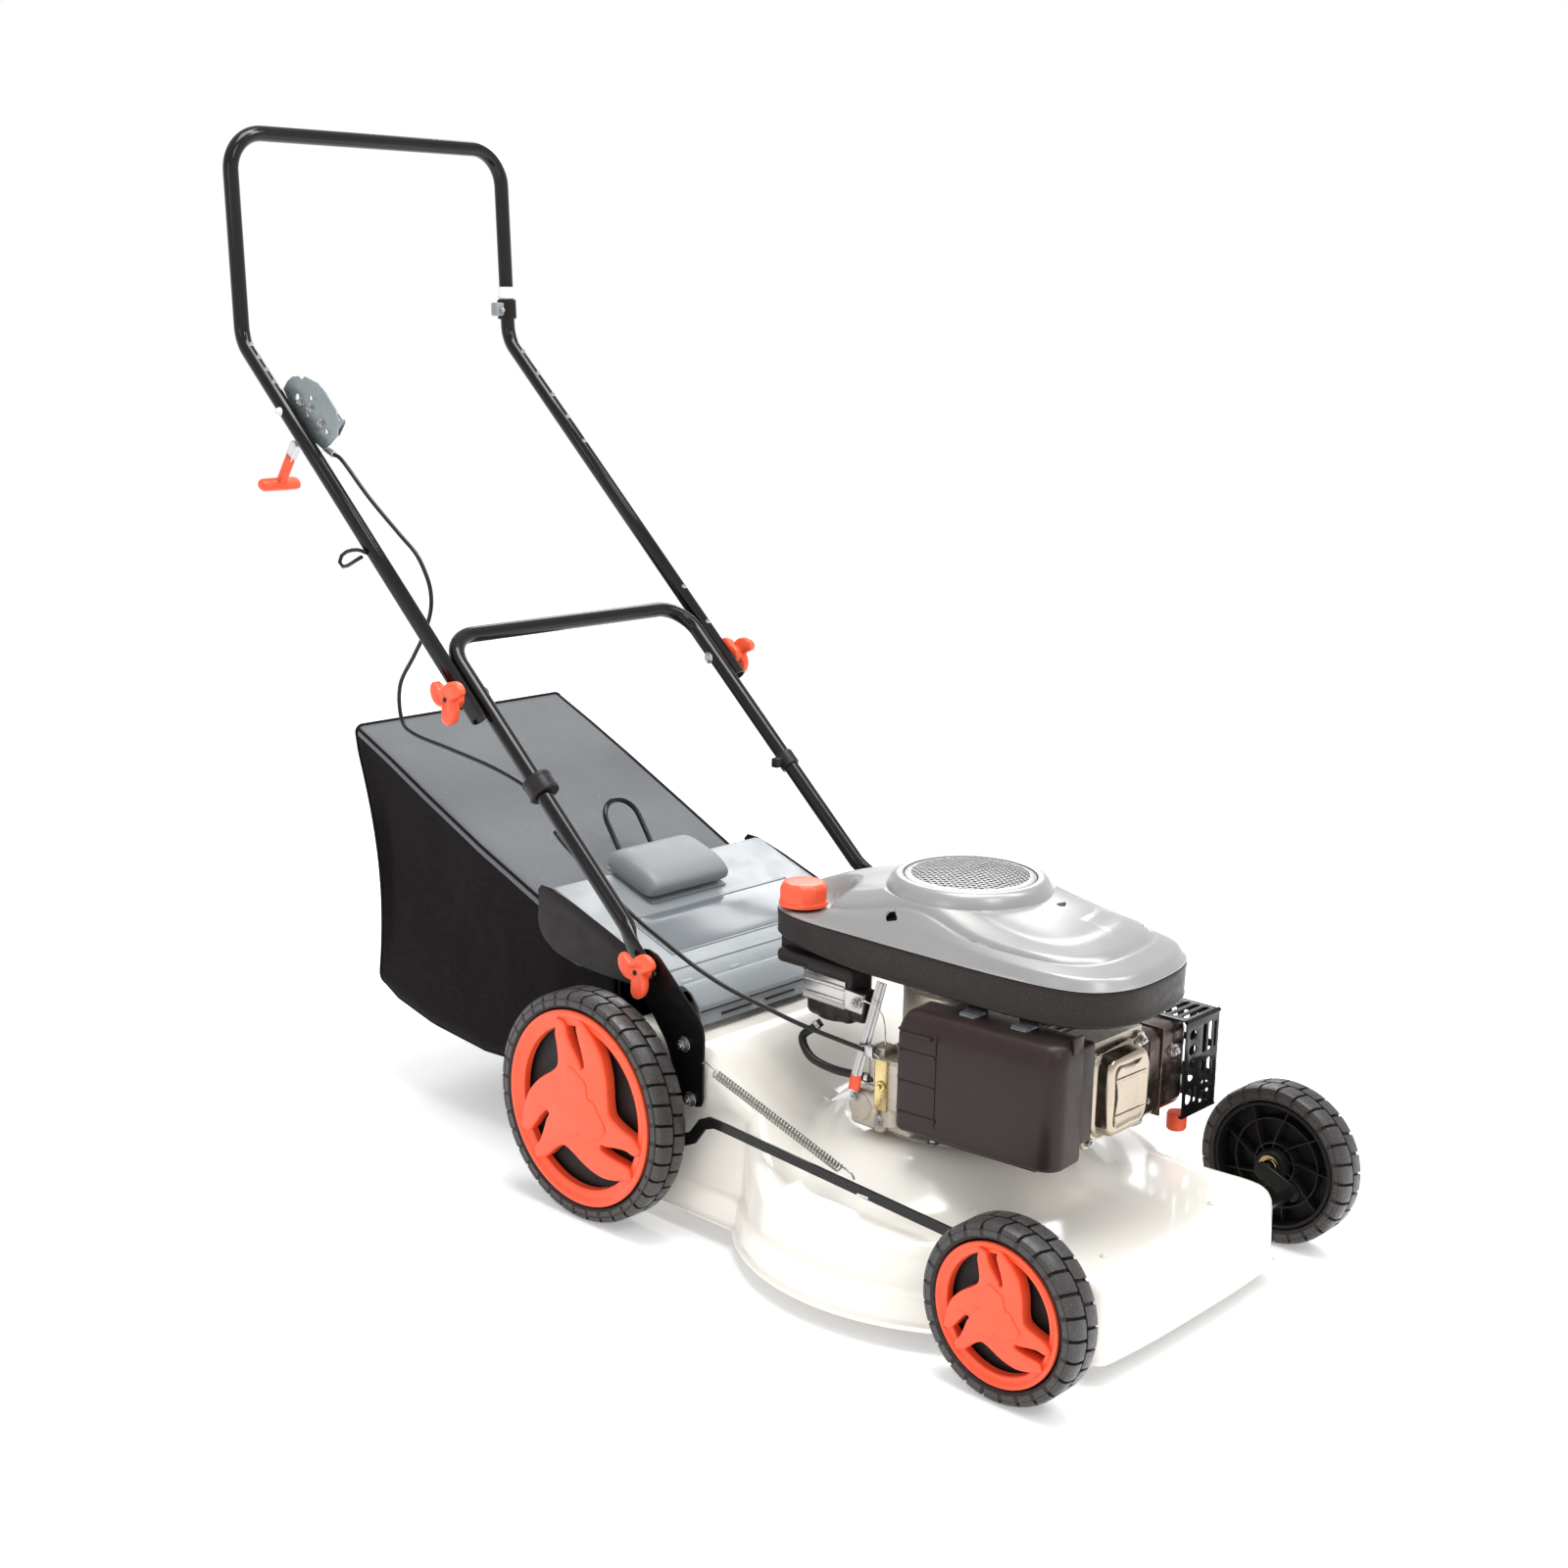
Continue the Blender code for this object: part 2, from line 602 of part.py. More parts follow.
knobs = {
    "upper_knob_right": wing_knob("upper_knob_right", -UPPER_X - TUBE_R, *PIVOT_UPPER, -1),
    "upper_knob_left": wing_knob("upper_knob_left", UPPER_X + TUBE_R, *PIVOT_UPPER, 1),
    "lower_knob_right": wing_knob("lower_knob_right", -0.2053, *PIVOT_LOWER, -1, 0.0172),
    "lower_knob_left": wing_knob("lower_knob_left", 0.2053, *PIVOT_LOWER, 1, 0.0172),
}

# ---------------------------------------------------------------- throttle
ty, tz = 0.553, 0.848
throttle_bracket = plate(
    "throttle_bracket",
    round_corners([(0.601, 0.876), (0.574, 0.894), (0.530, 0.886), (0.494, 0.856), (0.491, 0.826),
                   (0.522, 0.806), (0.556, 0.824)], 0.008),
    -0.2015, 0.0022, ZINC)
lever_dir = Vector((0.6180 - ty, 0.7560 - tz)).normalized()
side_dir = Vector((-lever_dir.y, lever_dir.x))


def lever_point(along, across):
    return (ty + lever_dir.x * along + side_dir.x * across,
            tz + lever_dir.y * along + side_dir.y * across)


throttle_lever = plate(
    "throttle_lever",
    round_corners([lever_point(-0.012, -0.011), lever_point(0.030, -0.0065), lever_point(0.064, -0.0045),
                   lever_point(0.064, 0.0045), lever_point(0.030, 0.0065), lever_point(-0.012, 0.011)], 0.006),
    -0.1989, 0.0020, ZINC)
stem_rings = []
for along, a, b in [(0.0645, 0.0050, 0.0070), (0.072, 0.0060, 0.0075), (0.100, 0.0060, 0.0070),
                    (0.106, 0.0065, 0.0075)]:
    y, z = lever_point(along, 0)
    stem_rings.append([(-0.2015 + a * math.cos(math.tau * k / 8),
                        y + side_dir.x * b * math.sin(math.tau * k / 8),
                        z + side_dir.y * b * math.sin(math.tau * k / 8)) for k in range(8)])
throttle_knob = loft("throttle_knob", stem_rings, ORANGE, smooth=60)
ky, kz = lever_point(0.108, 0)
cross = []
for x, k in [(-0.2310, 0.55), (-0.2275, 0.95), (-0.205, 1.0), (-0.184, 1.0), (-0.1775, 0.95), (-0.1745, 0.55)]:
    cross.append([(x, ky + (lever_dir.x * 0.0075 * math.cos(math.tau * n / 8)
                            + side_dir.x * 0.0095 * math.sin(math.tau * n / 8)) * k,
                   kz + (lever_dir.y * 0.0075 * math.cos(math.tau * n / 8)
                         + side_dir.y * 0.0095 * math.sin(math.tau * n / 8)) * k) for n in range(8)])
bar = loft("throttle_knob_bar", cross, ORANGE, smooth=60)
combine(throttle_knob, bar, "UNION")
hang(joint_empty("throttle_axis", (-0.2, ty, tz)), throttle_lever, throttle_knob)

CABLE_R = 0.0025
upper_route = [(-0.1955, 0.5215, 0.8060), (-0.1955, 0.508, 0.8020), (-0.1950, 0.4929, 0.7953),
               (-0.1927, 0.4466, 0.7560), (-0.1903, 0.3931, 0.7175), (-0.1880, 0.3657, 0.6972),
               (-0.1857, 0.3513, 0.6758), (-0.1833, 0.3449, 0.6543), (-0.1810, 0.3486, 0.6298),
               (-0.1785, 0.3658, 0.5994), (-0.1765, 0.3881, 0.5709), (-0.1755, 0.4174, 0.5313),
               (-0.1755, 0.4161, 0.4902), (-0.1755, 0.3926, 0.4754), (-0.1755, 0.3258, 0.4677),
               (-0.1755, 0.2520, 0.4590), (-0.1755, 0.1984, 0.4482), (-0.1755, 0.1620, 0.4350)]
cable_upper = tube("throttle_cable_upper", smooth_path(upper_route, 34), CABLE_R, BLACK_PLASTIC)
lower_route = [(-0.1757, 0.1370, 0.4010), (-0.1757, 0.1209, 0.3893), (-0.1757, 0.0777, 0.3652),
               (-0.1757, 0.0376, 0.3442), (-0.1757, -0.0035, 0.3251), (-0.1757, -0.0436, 0.3101),
               (-0.1757, -0.0817, 0.2960), (-0.1706, -0.1158, 0.2826), (-0.1654, -0.1471, 0.2732),
               (-0.1603, -0.1807, 0.2657), (-0.1563, -0.2104, 0.2592), (-0.1535, -0.2424, 0.2548),
               (-0.1520, -0.2800, 0.2520), (-0.1510, -0.3110, 0.2500)]
cable_lower = tube("throttle_cable_lower", smooth_path(lower_route, 22), CABLE_R, BLACK_PLASTIC)

# Cable clamp round the lower handle, with a pocket for the cable.
cy, cz = on_handle(0.2520)
along = Vector((0, LOWER_CORNER[0] - PIVOT_LOWER[0], LOWER_CORNER[1] - PIVOT_LOWER[1])).normalized()
clamp = cylinder("cable_clamp", Vector((-0.1900, cy, cz)) - along * 0.0115,
                 Vector((-0.1900, cy, cz)) + along * 0.0115, 0.0175, BLACK_PLASTIC, sides=20)
combine(clamp, cutter_rod("cut_clamp_tube", Vector((-LOWER_X, cy, cz)) - along * 0.03,
                          Vector((-LOWER_X, cy, cz)) + along * 0.03, TUBE_R + 0.0007, 20))

guide_at = Vector((-UPPER_X - TUBE_R - 0.0033, 0.4100, 0.6920))
guide_loop = [guide_at + Vector((-0.0010 * k, y, z)) for k, y, z in
              [(0, 0.000, 0.004), (0, 0.016, 0.006), (2, 0.034, 0.003), (4, 0.045, -0.004),
               (5, 0.0465, -0.012), (5, 0.038, -0.016), (4, 0.024, -0.010), (3, 0.006, -0.001)]]
rope_guide = tube("rope_guide", smooth_path(guide_loop, 12), 0.0024, BLACK_PAINT)

# ---------------------------------------------------------------- grass bag
def bag_section(y, lo, hi, half, round_r=0.030, n=3):
    """A rounded rectangle in an X-Z plane leaning with the bag."""
    pts = []
    for cx, cz_, start in [(half - round_r, lo + round_r, -90), (half - round_r, hi - 0.012, 0),
                           (-half + round_r, hi - 0.012, 90), (-half + round_r, lo + round_r, 180)]:
        rr_z = 0.012 if start in (0, 90) else round_r
        for k in range(n + 1):
            t = math.radians(start + 90 * k / n)
            pts.append((cx + round_r * math.cos(t), y, cz_ + rr_z * math.sin(t)))
    return pts


bag_stations = [(0.0560, 0.118, 0.262, 0.158), (0.110, 0.106, 0.284, 0.162), (0.180, 0.093, 0.314, 0.166),
                (0.280, 0.090, 0.358, 0.170), (0.380, 0.100, 0.404, 0.171), (0.452, 0.116, 0.437, 0.170),
                (0.474, 0.150, 0.440, 0.169), (0.488, 0.330, 0.448, 0.168), (0.512, 0.434, 0.456, 0.167)]
outer = []
for y, lo, hi, half in bag_stations[:6]:
    outer.append(bag_section(y, lo, hi, half))
# The back wall leans: the last sections tip towards the top rear corner.
back = bag_section(0.0, 0.130, 0.465, 0.1695)
leaned = []
for x, _, z in back:
    t = (z - 0.130) / (0.465 - 0.130)
    leaned.append((x, 0.482 - 0.045 * math.sin(math.pi * min(1.0, t * 1.1)) * 0.35 + 0.036 * t * t, z))
outer.append(leaned)
inner = []
for y, lo, hi, half in [(0.0560, 0.1205, 0.2595, 0.1555), (0.110, 0.1085, 0.2815, 0.1595),
                        (0.180, 0.0955, 0.3115, 0.1635), (0.280, 0.0925, 0.3555, 0.1675),
                        (0.380, 0.1025, 0.4015, 0.1685), (0.446, 0.1185, 0.4300, 0.1675)]:
    inner.append(bag_section(y, lo, hi, half, 0.028))
bag = loft("grass_bag", list(reversed(outer)) + inner, FABRIC, smooth=60)

frame_loop = rounded_path([(0, 0.0600, 0.2530), (0.1500, 0.0600, 0.2530), (0.1500, 0.0600, 0.1270),
                           (-0.1500, 0.0600, 0.1270), (-0.1500, 0.0600, 0.2530), (-0.001, 0.0600, 0.2530)],
                          0.022, 4)
bag_frame = tube("bag_frame", frame_loop[:-1], 0.0035, BLACK_PAINT, resolution=2, cyclic=True)
loop = [(-0.0300, 0.1770, 0.3240), (-0.0300, 0.1860, 0.3380), (-0.0295, 0.2060, 0.3620), (-0.0180, 0.2225, 0.3800),
        (0.0, 0.2275, 0.3845), (0.0180, 0.2225, 0.3800), (0.0295, 0.2060, 0.3620), (0.0300, 0.1860, 0.3380),
        (0.0300, 0.1770, 0.3240)]
bag_handle = tube("bag_handle", smooth_path(loop, 16), 0.0032, BLACK_PAINT)
hang(joint_empty("bag_handle_axis", (0, 0.1770, 0.3240)), bag_handle)

# ---------------------------------------------------------------- engine
engine_block = cylinder("engine_block", (ENG_X, ENG_Y, ENGINE_SEAT + 0.0004), (ENG_X, ENG_Y, 0.205), 0.088, ALUMINIUM, sides=24)
crankcase = cylinder("crankcase", (ENG_X, ENG_Y, 0.200), (ENG_X, ENG_Y, 0.300), 0.066, ALUMINIUM, sides=24)
combine(engine_block, crankcase, "UNION")
barrel = box("barrel", (ENG_X - 0.040, -0.490, 0.196), (ENG_X + 0.040, -0.380, 0.280), ALUMINIUM)
combine(engine_block, barrel, "UNION")
head = box("head", (-0.0745, -0.5266, 0.184), (0.0275, -0.487, 0.288), ALUMINIUM)
combine(engine_block, head, "UNION")
for k, y in enumerate((-0.420, -0.437, -0.454, -0.471)):
    fin = box("fin_%d" % k, (ENG_X - 0.056, y - 0.002, 0.190), (ENG_X + 0.056, y + 0.002, 0.290), ALUMINIUM)
    combine(engine_block, fin, "UNION")
combine(engine_block, cutter_rod("cut_bore", (ENG_X, ENG_Y, 0.12), (ENG_X, ENG_Y, 0.32), 0.0133, 20))
oil_neck = cylinder("oil_neck", (0.048, -0.300, 0.190), (0.062, -0.296, 0.262), 0.012, ALUMINIUM, sides=14)
combine(engine_block, oil_neck, "UNION")
dipstick = cylinder("oil_dipstick", (0.06206, -0.29598, 0.2624), (0.0655, -0.295, 0.280), 0.0165, BLACK_PLASTIC, sides=14)

crankshaft = turned("crankshaft", [(0.0, 0.3700), (0.0090, 0.3700), (0.0090, 0.3302), (0.0125, 0.3298),
                                   (0.0125, 0.0525), (0.0, 0.0525)], STEEL, (ENG_X, ENG_Y, 0.0), 16)
flywheel = turned("flywheel", [(0.0880, 0.3460), (0.0880, 0.3340), (0.0400, 0.3310), (0.0093, 0.3310),
                               (0.0093, 0.3480), (0.0300, 0.3480), (0.0320, 0.3400), (0.0700, 0.3400)],
                  ALUMINIUM, (ENG_X, ENG_Y, 0.0), 20)
starter_pulley = turned("starter_pulley", [(0.0480, 0.3900), (0.0480, 0.3875), (0.0430, 0.3860),
                                           (0.0430, 0.3810), (0.0480, 0.3795), (0.0480, 0.3770),
                                           (0.0095, 0.3770), (0.0095, 0.3900)],
                        BLACK_PLASTIC, (ENG_X, ENG_Y, 0.0), 16)
blade = box("blade", (-BLADE_R, -0.0255, 0.0400), (BLADE_R, 0.0255, 0.0430), STEEL)
tip = 0.018
for v in blade.data.vertices:
    if abs(v.co.y) > 0.02 and v.co.z > 0.042 and abs(v.co.x) > 0.2:
        v.co.y *= 0.86
blade.data.transform(Matrix.Rotation(math.radians(35), 4, "Z"))
blade.data.transform(Matrix.Translation((ENG_X, ENG_Y, 0.0)))
combine(blade, cutter_rod("cut_blade", (ENG_X, ENG_Y, 0.0), (ENG_X, ENG_Y, 0.06), 0.0056, 12))
blade_bolt = turned("blade_bolt", [(0.0, 0.0522), (0.0052, 0.0522), (0.0052, 0.0397), (0.0105, 0.0397),
                                   (0.0105, 0.0330), (0.0, 0.0330)], STEEL, (ENG_X, ENG_Y, 0.0), 12)
adapter = turned("blade_adapter", [(0.0210, 0.0600), (0.0210, 0.0433), (0.0056, 0.0433), (0.0056, 0.0523),
                                   (0.0128, 0.0523), (0.0128, 0.0600)], STEEL, (ENG_X, ENG_Y, 0.0), 16)
hang(joint_empty("crank_axis", (ENG_X, ENG_Y, 0.0)), crankshaft, flywheel, blade, blade_bolt, adapter)
hang(joint_empty("starter_axis", (ENG_X, ENG_Y, 0.38)), starter_pulley)

# Shroud: a dark skirt and a silver top, both built on one outline.
SHROUD = [(-0.1345, -0.240), (-0.1360, -0.330), (-0.1355, -0.430), (-0.1300, -0.520),
          (-0.1190, -0.566), (-0.0980, -0.581), (-0.0550, -0.583), (0.0000, -0.579), (0.0460, -0.571),
          (0.0680, -0.556), (0.0780, -0.520), (0.0840, -0.430), (0.0850, -0.330), (0.0830, -0.240),
          (0.0760, -0.175), (0.0520, -0.139), (0.0000, -0.127), (-0.0600, -0.128), (-0.1080, -0.139),
          (-0.1260, -0.155), (-0.1330, -0.190)]
CAP_AT = (-0.1005, -0.1775)
STEPS_ROUND = 30


def outline_reach(angle, outline):
    """How far the outline lies from the crankshaft axis in one direction."""
    dx, dy = math.cos(angle), math.sin(angle)
    best = 0.0
    for (x0, y0), (x1, y1) in zip(outline, outline[1:] + outline[:1]):
        ex, ey = x1 - x0, y1 - y0
        cross = dx * ey - dy * ex
        if abs(cross) < 1e-12:
            continue
        t = ((x0 - ENG_X) * ey - (y0 - ENG_Y) * ex) / cross
        u = ((x0 - ENG_X) * dy - (y0 - ENG_Y) * dx) / cross
        if t > 0 and -1e-9 <= u <= 1 + 1e-9:
            best = max(best, t)
    return best


SPOKES = [math.tau * (k + 0.5) / STEPS_ROUND for k in range(STEPS_ROUND)]
REACH = [outline_reach(a, SHROUD) for a in SPOKES]


def round_ring(radius_of, height_of):
    ring = []
    for a, reach in zip(SPOKES, REACH):
        r = radius_of(reach)
        x, y = ENG_X + r * math.cos(a), ENG_Y + r * math.sin(a)
        ring.append((x, y, height_of(x, y) if callable(height_of) else height_of))
    return ring


def by_cap(z, flat):
    """The height z, brought down to a flat round the fuel filler."""
    def height(x, y):
        away = math.hypot(x - CAP_AT[0], y - CAP_AT[1])
        return z + (min(z, flat) - z) * ease((0.082 - away) / 0.026)
    return height


def skirt_bottom(x, y):
    return 0.3240 + 0.0100 * ease((y + 0.30) / 0.14)


shroud = loft("engine_shroud", [round_ring(lambda r: r, 0.3610), round_ring(lambda r: r - 0.0015, skirt_bottom),
                                round_ring(lambda r: r - 0.0045, skirt_bottom), round_ring(lambda r: r - 0.0035, 0.3610)],
              BLACK_PLASTIC, smooth=40, wrap=True)

COLLAR = 0.0870


def between(t, inset=0.0):
    return lambda r: (r - 0.010 - inset) * (1 - t) + (COLLAR - inset) * t


FLAT = 0.3640
shroud_top = loft("shroud_top", [
    round_ring(lambda r: r, 0.3613), round_ring(lambda r: r - 0.010, by_cap(0.3690, FLAT)),
    round_ring(between(0.33), by_cap(0.3810, FLAT)), round_ring(between(0.66), by_cap(0.3930, FLAT + 0.004)),
    round_ring(lambda r: COLLAR, 0.4050), round_ring(lambda r: 0.0815, 0.4165),
    round_ring(lambda r: 0.0760, 0.4200), round_ring(lambda r: 0.0695, 0.4195),
    round_ring(lambda r: 0.0695, 0.4172), round_ring(lambda r: 0.0755, 0.4172),
    round_ring(lambda r: 0.0795, 0.4145), round_ring(lambda r: COLLAR - 0.0018, 0.4028),
    round_ring(between(0.66, 0.0015), by_cap(0.3908, FLAT + 0.0018)), round_ring(between(0.33, 0.0015), by_cap(0.3788, FLAT - 0.0022)),
    round_ring(lambda r: r - 0.0115, by_cap(0.3668, FLAT - 0.0022)), round_ring(lambda r: r - 0.0030, 0.3613)],
    SILVER_PLASTIC, smooth=50, wrap=True)
combine(shroud_top, cutter_rod("cut_filler", (*CAP_AT, 0.33), (*CAP_AT, 0.43), 0.0195, 20))
screen = turned("starter_screen", [(0.0, 0.4236), (0.0450, 0.4222), (0.0685, 0.4185), (0.0685, 0.4165),
                                   (0.0450, 0.4202), (0.0085, 0.4214), (0.0085, 0.3760), (0.0, 0.3760)],
                GREY_PLASTIC, (ENG_X, ENG_Y, 0.0), 24)

tank = box("fuel_tank", (-0.1290, -0.2440, 0.3060), (-0.0500, -0.1640, 0.3225), BLACK_PLASTIC, 0.006, 2)
tank_top = box("tank_top", (-0.1150, -0.2440, 0.3150), (-0.0500, -0.1600, 0.3570), BLACK_PLASTIC)
combine(tank, tank_top, "UNION")
neck = cylinder("filler_neck", (*CAP_AT, 0.340), (*CAP_AT, 0.3850), 0.0170, BLACK_PLASTIC, sides=20)
combine(tank, neck, "UNION")
sump = cylinder("tank_sump", (-0.1080, -0.2440, 0.2620), (-0.1080, -0.2440, 0.3120), 0.0280, BLACK_PLASTIC, sides=20)
combine(tank, sump, "UNION")
fuel_cap = turned("fuel_cap", [(0.0, 0.3930), (0.0235, 0.3930), (0.0265, 0.3905), (0.0265, 0.3672),
                               (0.0176, 0.3672), (0.0176, 0.3855), (0.0, 0.3855)], ORANGE, (*CAP_AT, 0.0), 24)
hang(joint_empty("fuel_cap_axis", (*CAP_AT, 0.0)), fuel_cap)

hose_route = [(-0.1330, -0.2360, 0.2570), (-0.1400, -0.2310, 0.2510), (-0.1500, -0.2245, 0.2410),
              (-0.1550, -0.2411, 0.2253), (-0.1510, -0.2675, 0.2180), (-0.1440, -0.2950, 0.2165),
              (-0.1380, -0.3150, 0.2160)]
fuel_hose = tube("fuel_hose", smooth_path(hose_route, 14), 0.0045, BLACK_PLASTIC)

carb = box("carburettor", (-0.1480, -0.3570, 0.1900), (-0.1160, -0.3200, 0.2440), ALUMINIUM, 0.003)
float_bowl = cylinder("float_bowl", (-0.1320, -0.3380, 0.1720), (-0.1320, -0.3380, 0.1950), 0.0150, ALUMINIUM, sides=16)
combine(carb, float_bowl, "UNION")
manifold = cylinder("intake", (-0.1200, -0.3420, 0.2250), (-0.0914, -0.3420, 0.2250), 0.0105, ALUMINIUM, sides=14)
combine(carb, manifold, "UNION")

air_filter = box("air_filter_cover", (-0.0480, -0.0945, 0.1840), (0.0, 0.0945, 0.3110), BLACK_PLASTIC, 0.007, 2)
hollow = box("cut_air_filter", (-0.0450, -0.0915, 0.1870), (0.0200, 0.0915, 0.3080), None, 0.0062, 2, cutter=True)
for obj in (air_filter, hollow):
    obj.data.transform(Matrix.Rotation(math.radians(4.5), 4, "Z"))
    obj.data.transform(Matrix.Translation((-0.1140, -0.4560, 0.0)))
combine(air_filter, hollow)

valve_cover = box("valve_cover", (-0.0755, -0.5312, 0.1800), (0.0290, -0.5269, 0.2860), CHROME)
dome = box("valve_dome", (-0.0640, -0.5500, 0.1930), (0.0150, -0.5290, 0.2770), CHROME, 0.008, 2)
combine(valve_cover, dome, "UNION")

muffler = box("muffler", (0.0550, -0.5020, 0.1620), (0.1580, -0.4200, 0.2560), HOT_STEEL, 0.010, 2)
exhaust = cylinder("exhaust_stub", (0.0279, -0.4985, 0.2300), (0.0600, -0.4985, 0.2300), 0.0110, HOT_STEEL, sides=14)
combine(muffler, exhaust, "UNION")
combine(muffler, box("cut_muffler", (0.0580, -0.4990, 0.1650), (0.1550, -0.4230, 0.2530), None, 0.009, 2, cutter=True))
combine(muffler, cutter_rod("cut_outlet", (0.145, -0.4400, 0.1850), (0.165, -0.4400, 0.1850), 0.006, 12))
guard = box("muffler_guard", (0.1400, -0.5100, 0.1480), (0.2080, -0.4300, 0.2580), BLACK_PAINT)
combine(guard, cutter_box("cut_guard", (0.1300, -0.5080, 0.1400), (0.2060, -0.4200, 0.2560)))
guard_slots = box("cut_guard_slots", (0.1880, -0.5200, 0.2140), (0.1960, -0.4990, 0.2460), None, cutter=True)
combine(guard, guard_slots)
combine(guard, box("cut_guard_slot_low", (0.1880, -0.5200, 0.1640), (0.1960, -0.4990, 0.2000), None, cutter=True))
combine(guard, box("cut_guard_window", (0.1600, -0.5200, 0.2140), (0.1740, -0.4990, 0.2420), None, cutter=True))
combine(guard, box("cut_guard_window_low", (0.1600, -0.5200, 0.1700), (0.1740, -0.4990, 0.2000), None, cutter=True))
boss = cylinder("plug_seat", (0.0100, -0.5160, 0.2620), (0.0300, -0.5160, 0.2620), 0.0100, ALUMINIUM, sides=12)
combine(engine_block, boss, "UNION")
spark_plug = cylinder("spark_plug", (0.0303, -0.5160, 0.2620), (0.0520, -0.5160, 0.2620), 0.0080, BLACK_PLASTIC, r1=0.0055, sides=12)

# ---------------------------------------------------------------- axles and wheels
def crank_arm(name, x_mid, thickness, pivot, spindle, extra, mat):
    """A flat arm from the axle's pivot to the wheel spindle, and to a pin."""
    import_points = [pivot, spindle] + ([extra] if extra else [])
    ring = []
    for cy_, cz_ in import_points:
        ring += circle_points(cy_, cz_, 0.0095, 10)
    # Convex outline round the discs.
    ring = sorted(set((round(a, 6), round(b, 6)) for a, b in ring))

    def half(points):
        out = []
        for p in points:
            while len(out) > 1 and ((out[-1][0] - out[-2][0]) * (p[1] - out[-2][1])
                                    - (out[-1][1] - out[-2][1]) * (p[0] - out[-2][0])) <= 0:
                out.pop()
            out.append(p)
        return out[:-1]
    hull = half(ring) + half(list(reversed(ring)))
    return as_mesh(plate(name, hull, x_mid, thickness, mat))


REAR_SPINDLE = (0.0, REAR_R)
FRONT_SPINDLE = (-WHEELBASE, FRONT_R)
front_pin = (FRONT_PIVOT[0] - 0.0147, FRONT_PIVOT[1] + 0.0404)
rear_pin = (REAR_PIVOT[0] - 0.0147, REAR_PIVOT[1] - 0.0404)


def axle(name, pivot, spindle, pin, half_rod):
    rod = cylinder(name, (-half_rod, *pivot), (half_rod, *pivot), ROD_R, STEEL, sides=12)
    for side, tag in ((-1, "r"), (1, "l")):
        x = side * 0.2090
        arm = crank_arm(name + "_arm_" + tag, x, 0.0045, pivot, spindle, pin if side < 0 else None, STEEL)
        combine(rod, arm, "UNION")
        stub = cylinder(name + "_stub_" + tag, (side * 0.2080, *spindle), (side * 0.2610, *spindle), ROD_R,
                        STEEL, sides=12)
        combine(rod, stub, "UNION")
    return rod


front_axle = axle("front_axle", FRONT_PIVOT, FRONT_SPINDLE, front_pin, 0.2085)
rear_axle = axle("rear_axle", REAR_PIVOT, REAR_SPINDLE, rear_pin, 0.2085)
front_axle_empty = joint_empty("front_axle_axis", (0, *FRONT_PIVOT))
rear_axle_empty = joint_empty("rear_axle_axis", (0, *REAR_PIVOT))

LEVER_TIP = (0.148, 0.222)
lever_run = (Vector(LEVER_TIP) - Vector(REAR_PIVOT)).normalized()
lever_out = Vector((-lever_run.y, lever_run.x))


def lever_at(along, across):
    return tuple(Vector(REAR_PIVOT) + lever_run * along + lever_out * across)


lever_length = (Vector(LEVER_TIP) - Vector(REAR_PIVOT)).length
height_lever = as_mesh(plate("height_lever", round_corners(
    [lever_at(-0.012, -0.010), lever_at(0.020, -0.010), lever_at(lever_length, -0.007),
     lever_at(lever_length, 0.007), lever_at(0.020, 0.010), lever_at(-0.012, 0.010)], 0.005),
    0.2135, 0.0035, STEEL))
lever_grip = box("lever_grip", (-0.0055, -0.010, -0.024), (0.0055, 0.010, 0.024), BLACK_PLASTIC)
lever_grip.data.transform(Matrix.Rotation(math.atan2(lever_run.y, lever_run.x) - math.pi / 2, 4, "X"))
lever_grip.data.transform(Matrix.Translation((0.2140, *LEVER_TIP)))
combine(height_lever, lever_grip, "UNION")
finish(height_lever, STEEL)

bar_outline = [(-0.6300, 0.1085), (-0.6300, 0.1205), (-0.4640, 0.1320), (-0.1700, 0.1495), (-0.1530, 0.1500),
               (-0.1380, 0.1430), (-0.1240, 0.1250), (-0.0350, 0.0840), (0.0200, 0.0820), (0.0300, 0.0760),
               (0.0240, 0.0680), (-0.0400, 0.0710), (-0.1330, 0.1140), (-0.1480, 0.1340), (-0.1600, 0.1385),
               (-0.1720, 0.1385), (-0.4640, 0.1200)]
link = plate("height_link", bar_outline, LINK_X, 0.0030, BLACK_PAINT)
hang(joint_empty("height_link_axis", (LINK_X, *rear_pin)), link)

SPRING_ENDS = [(-0.2060, -0.1330, 0.2020), (-0.2060, -0.3480, 0.1360)]
spring = tube("height_spring", SPRING_ENDS, 0.0050, STEEL, resolution=2)


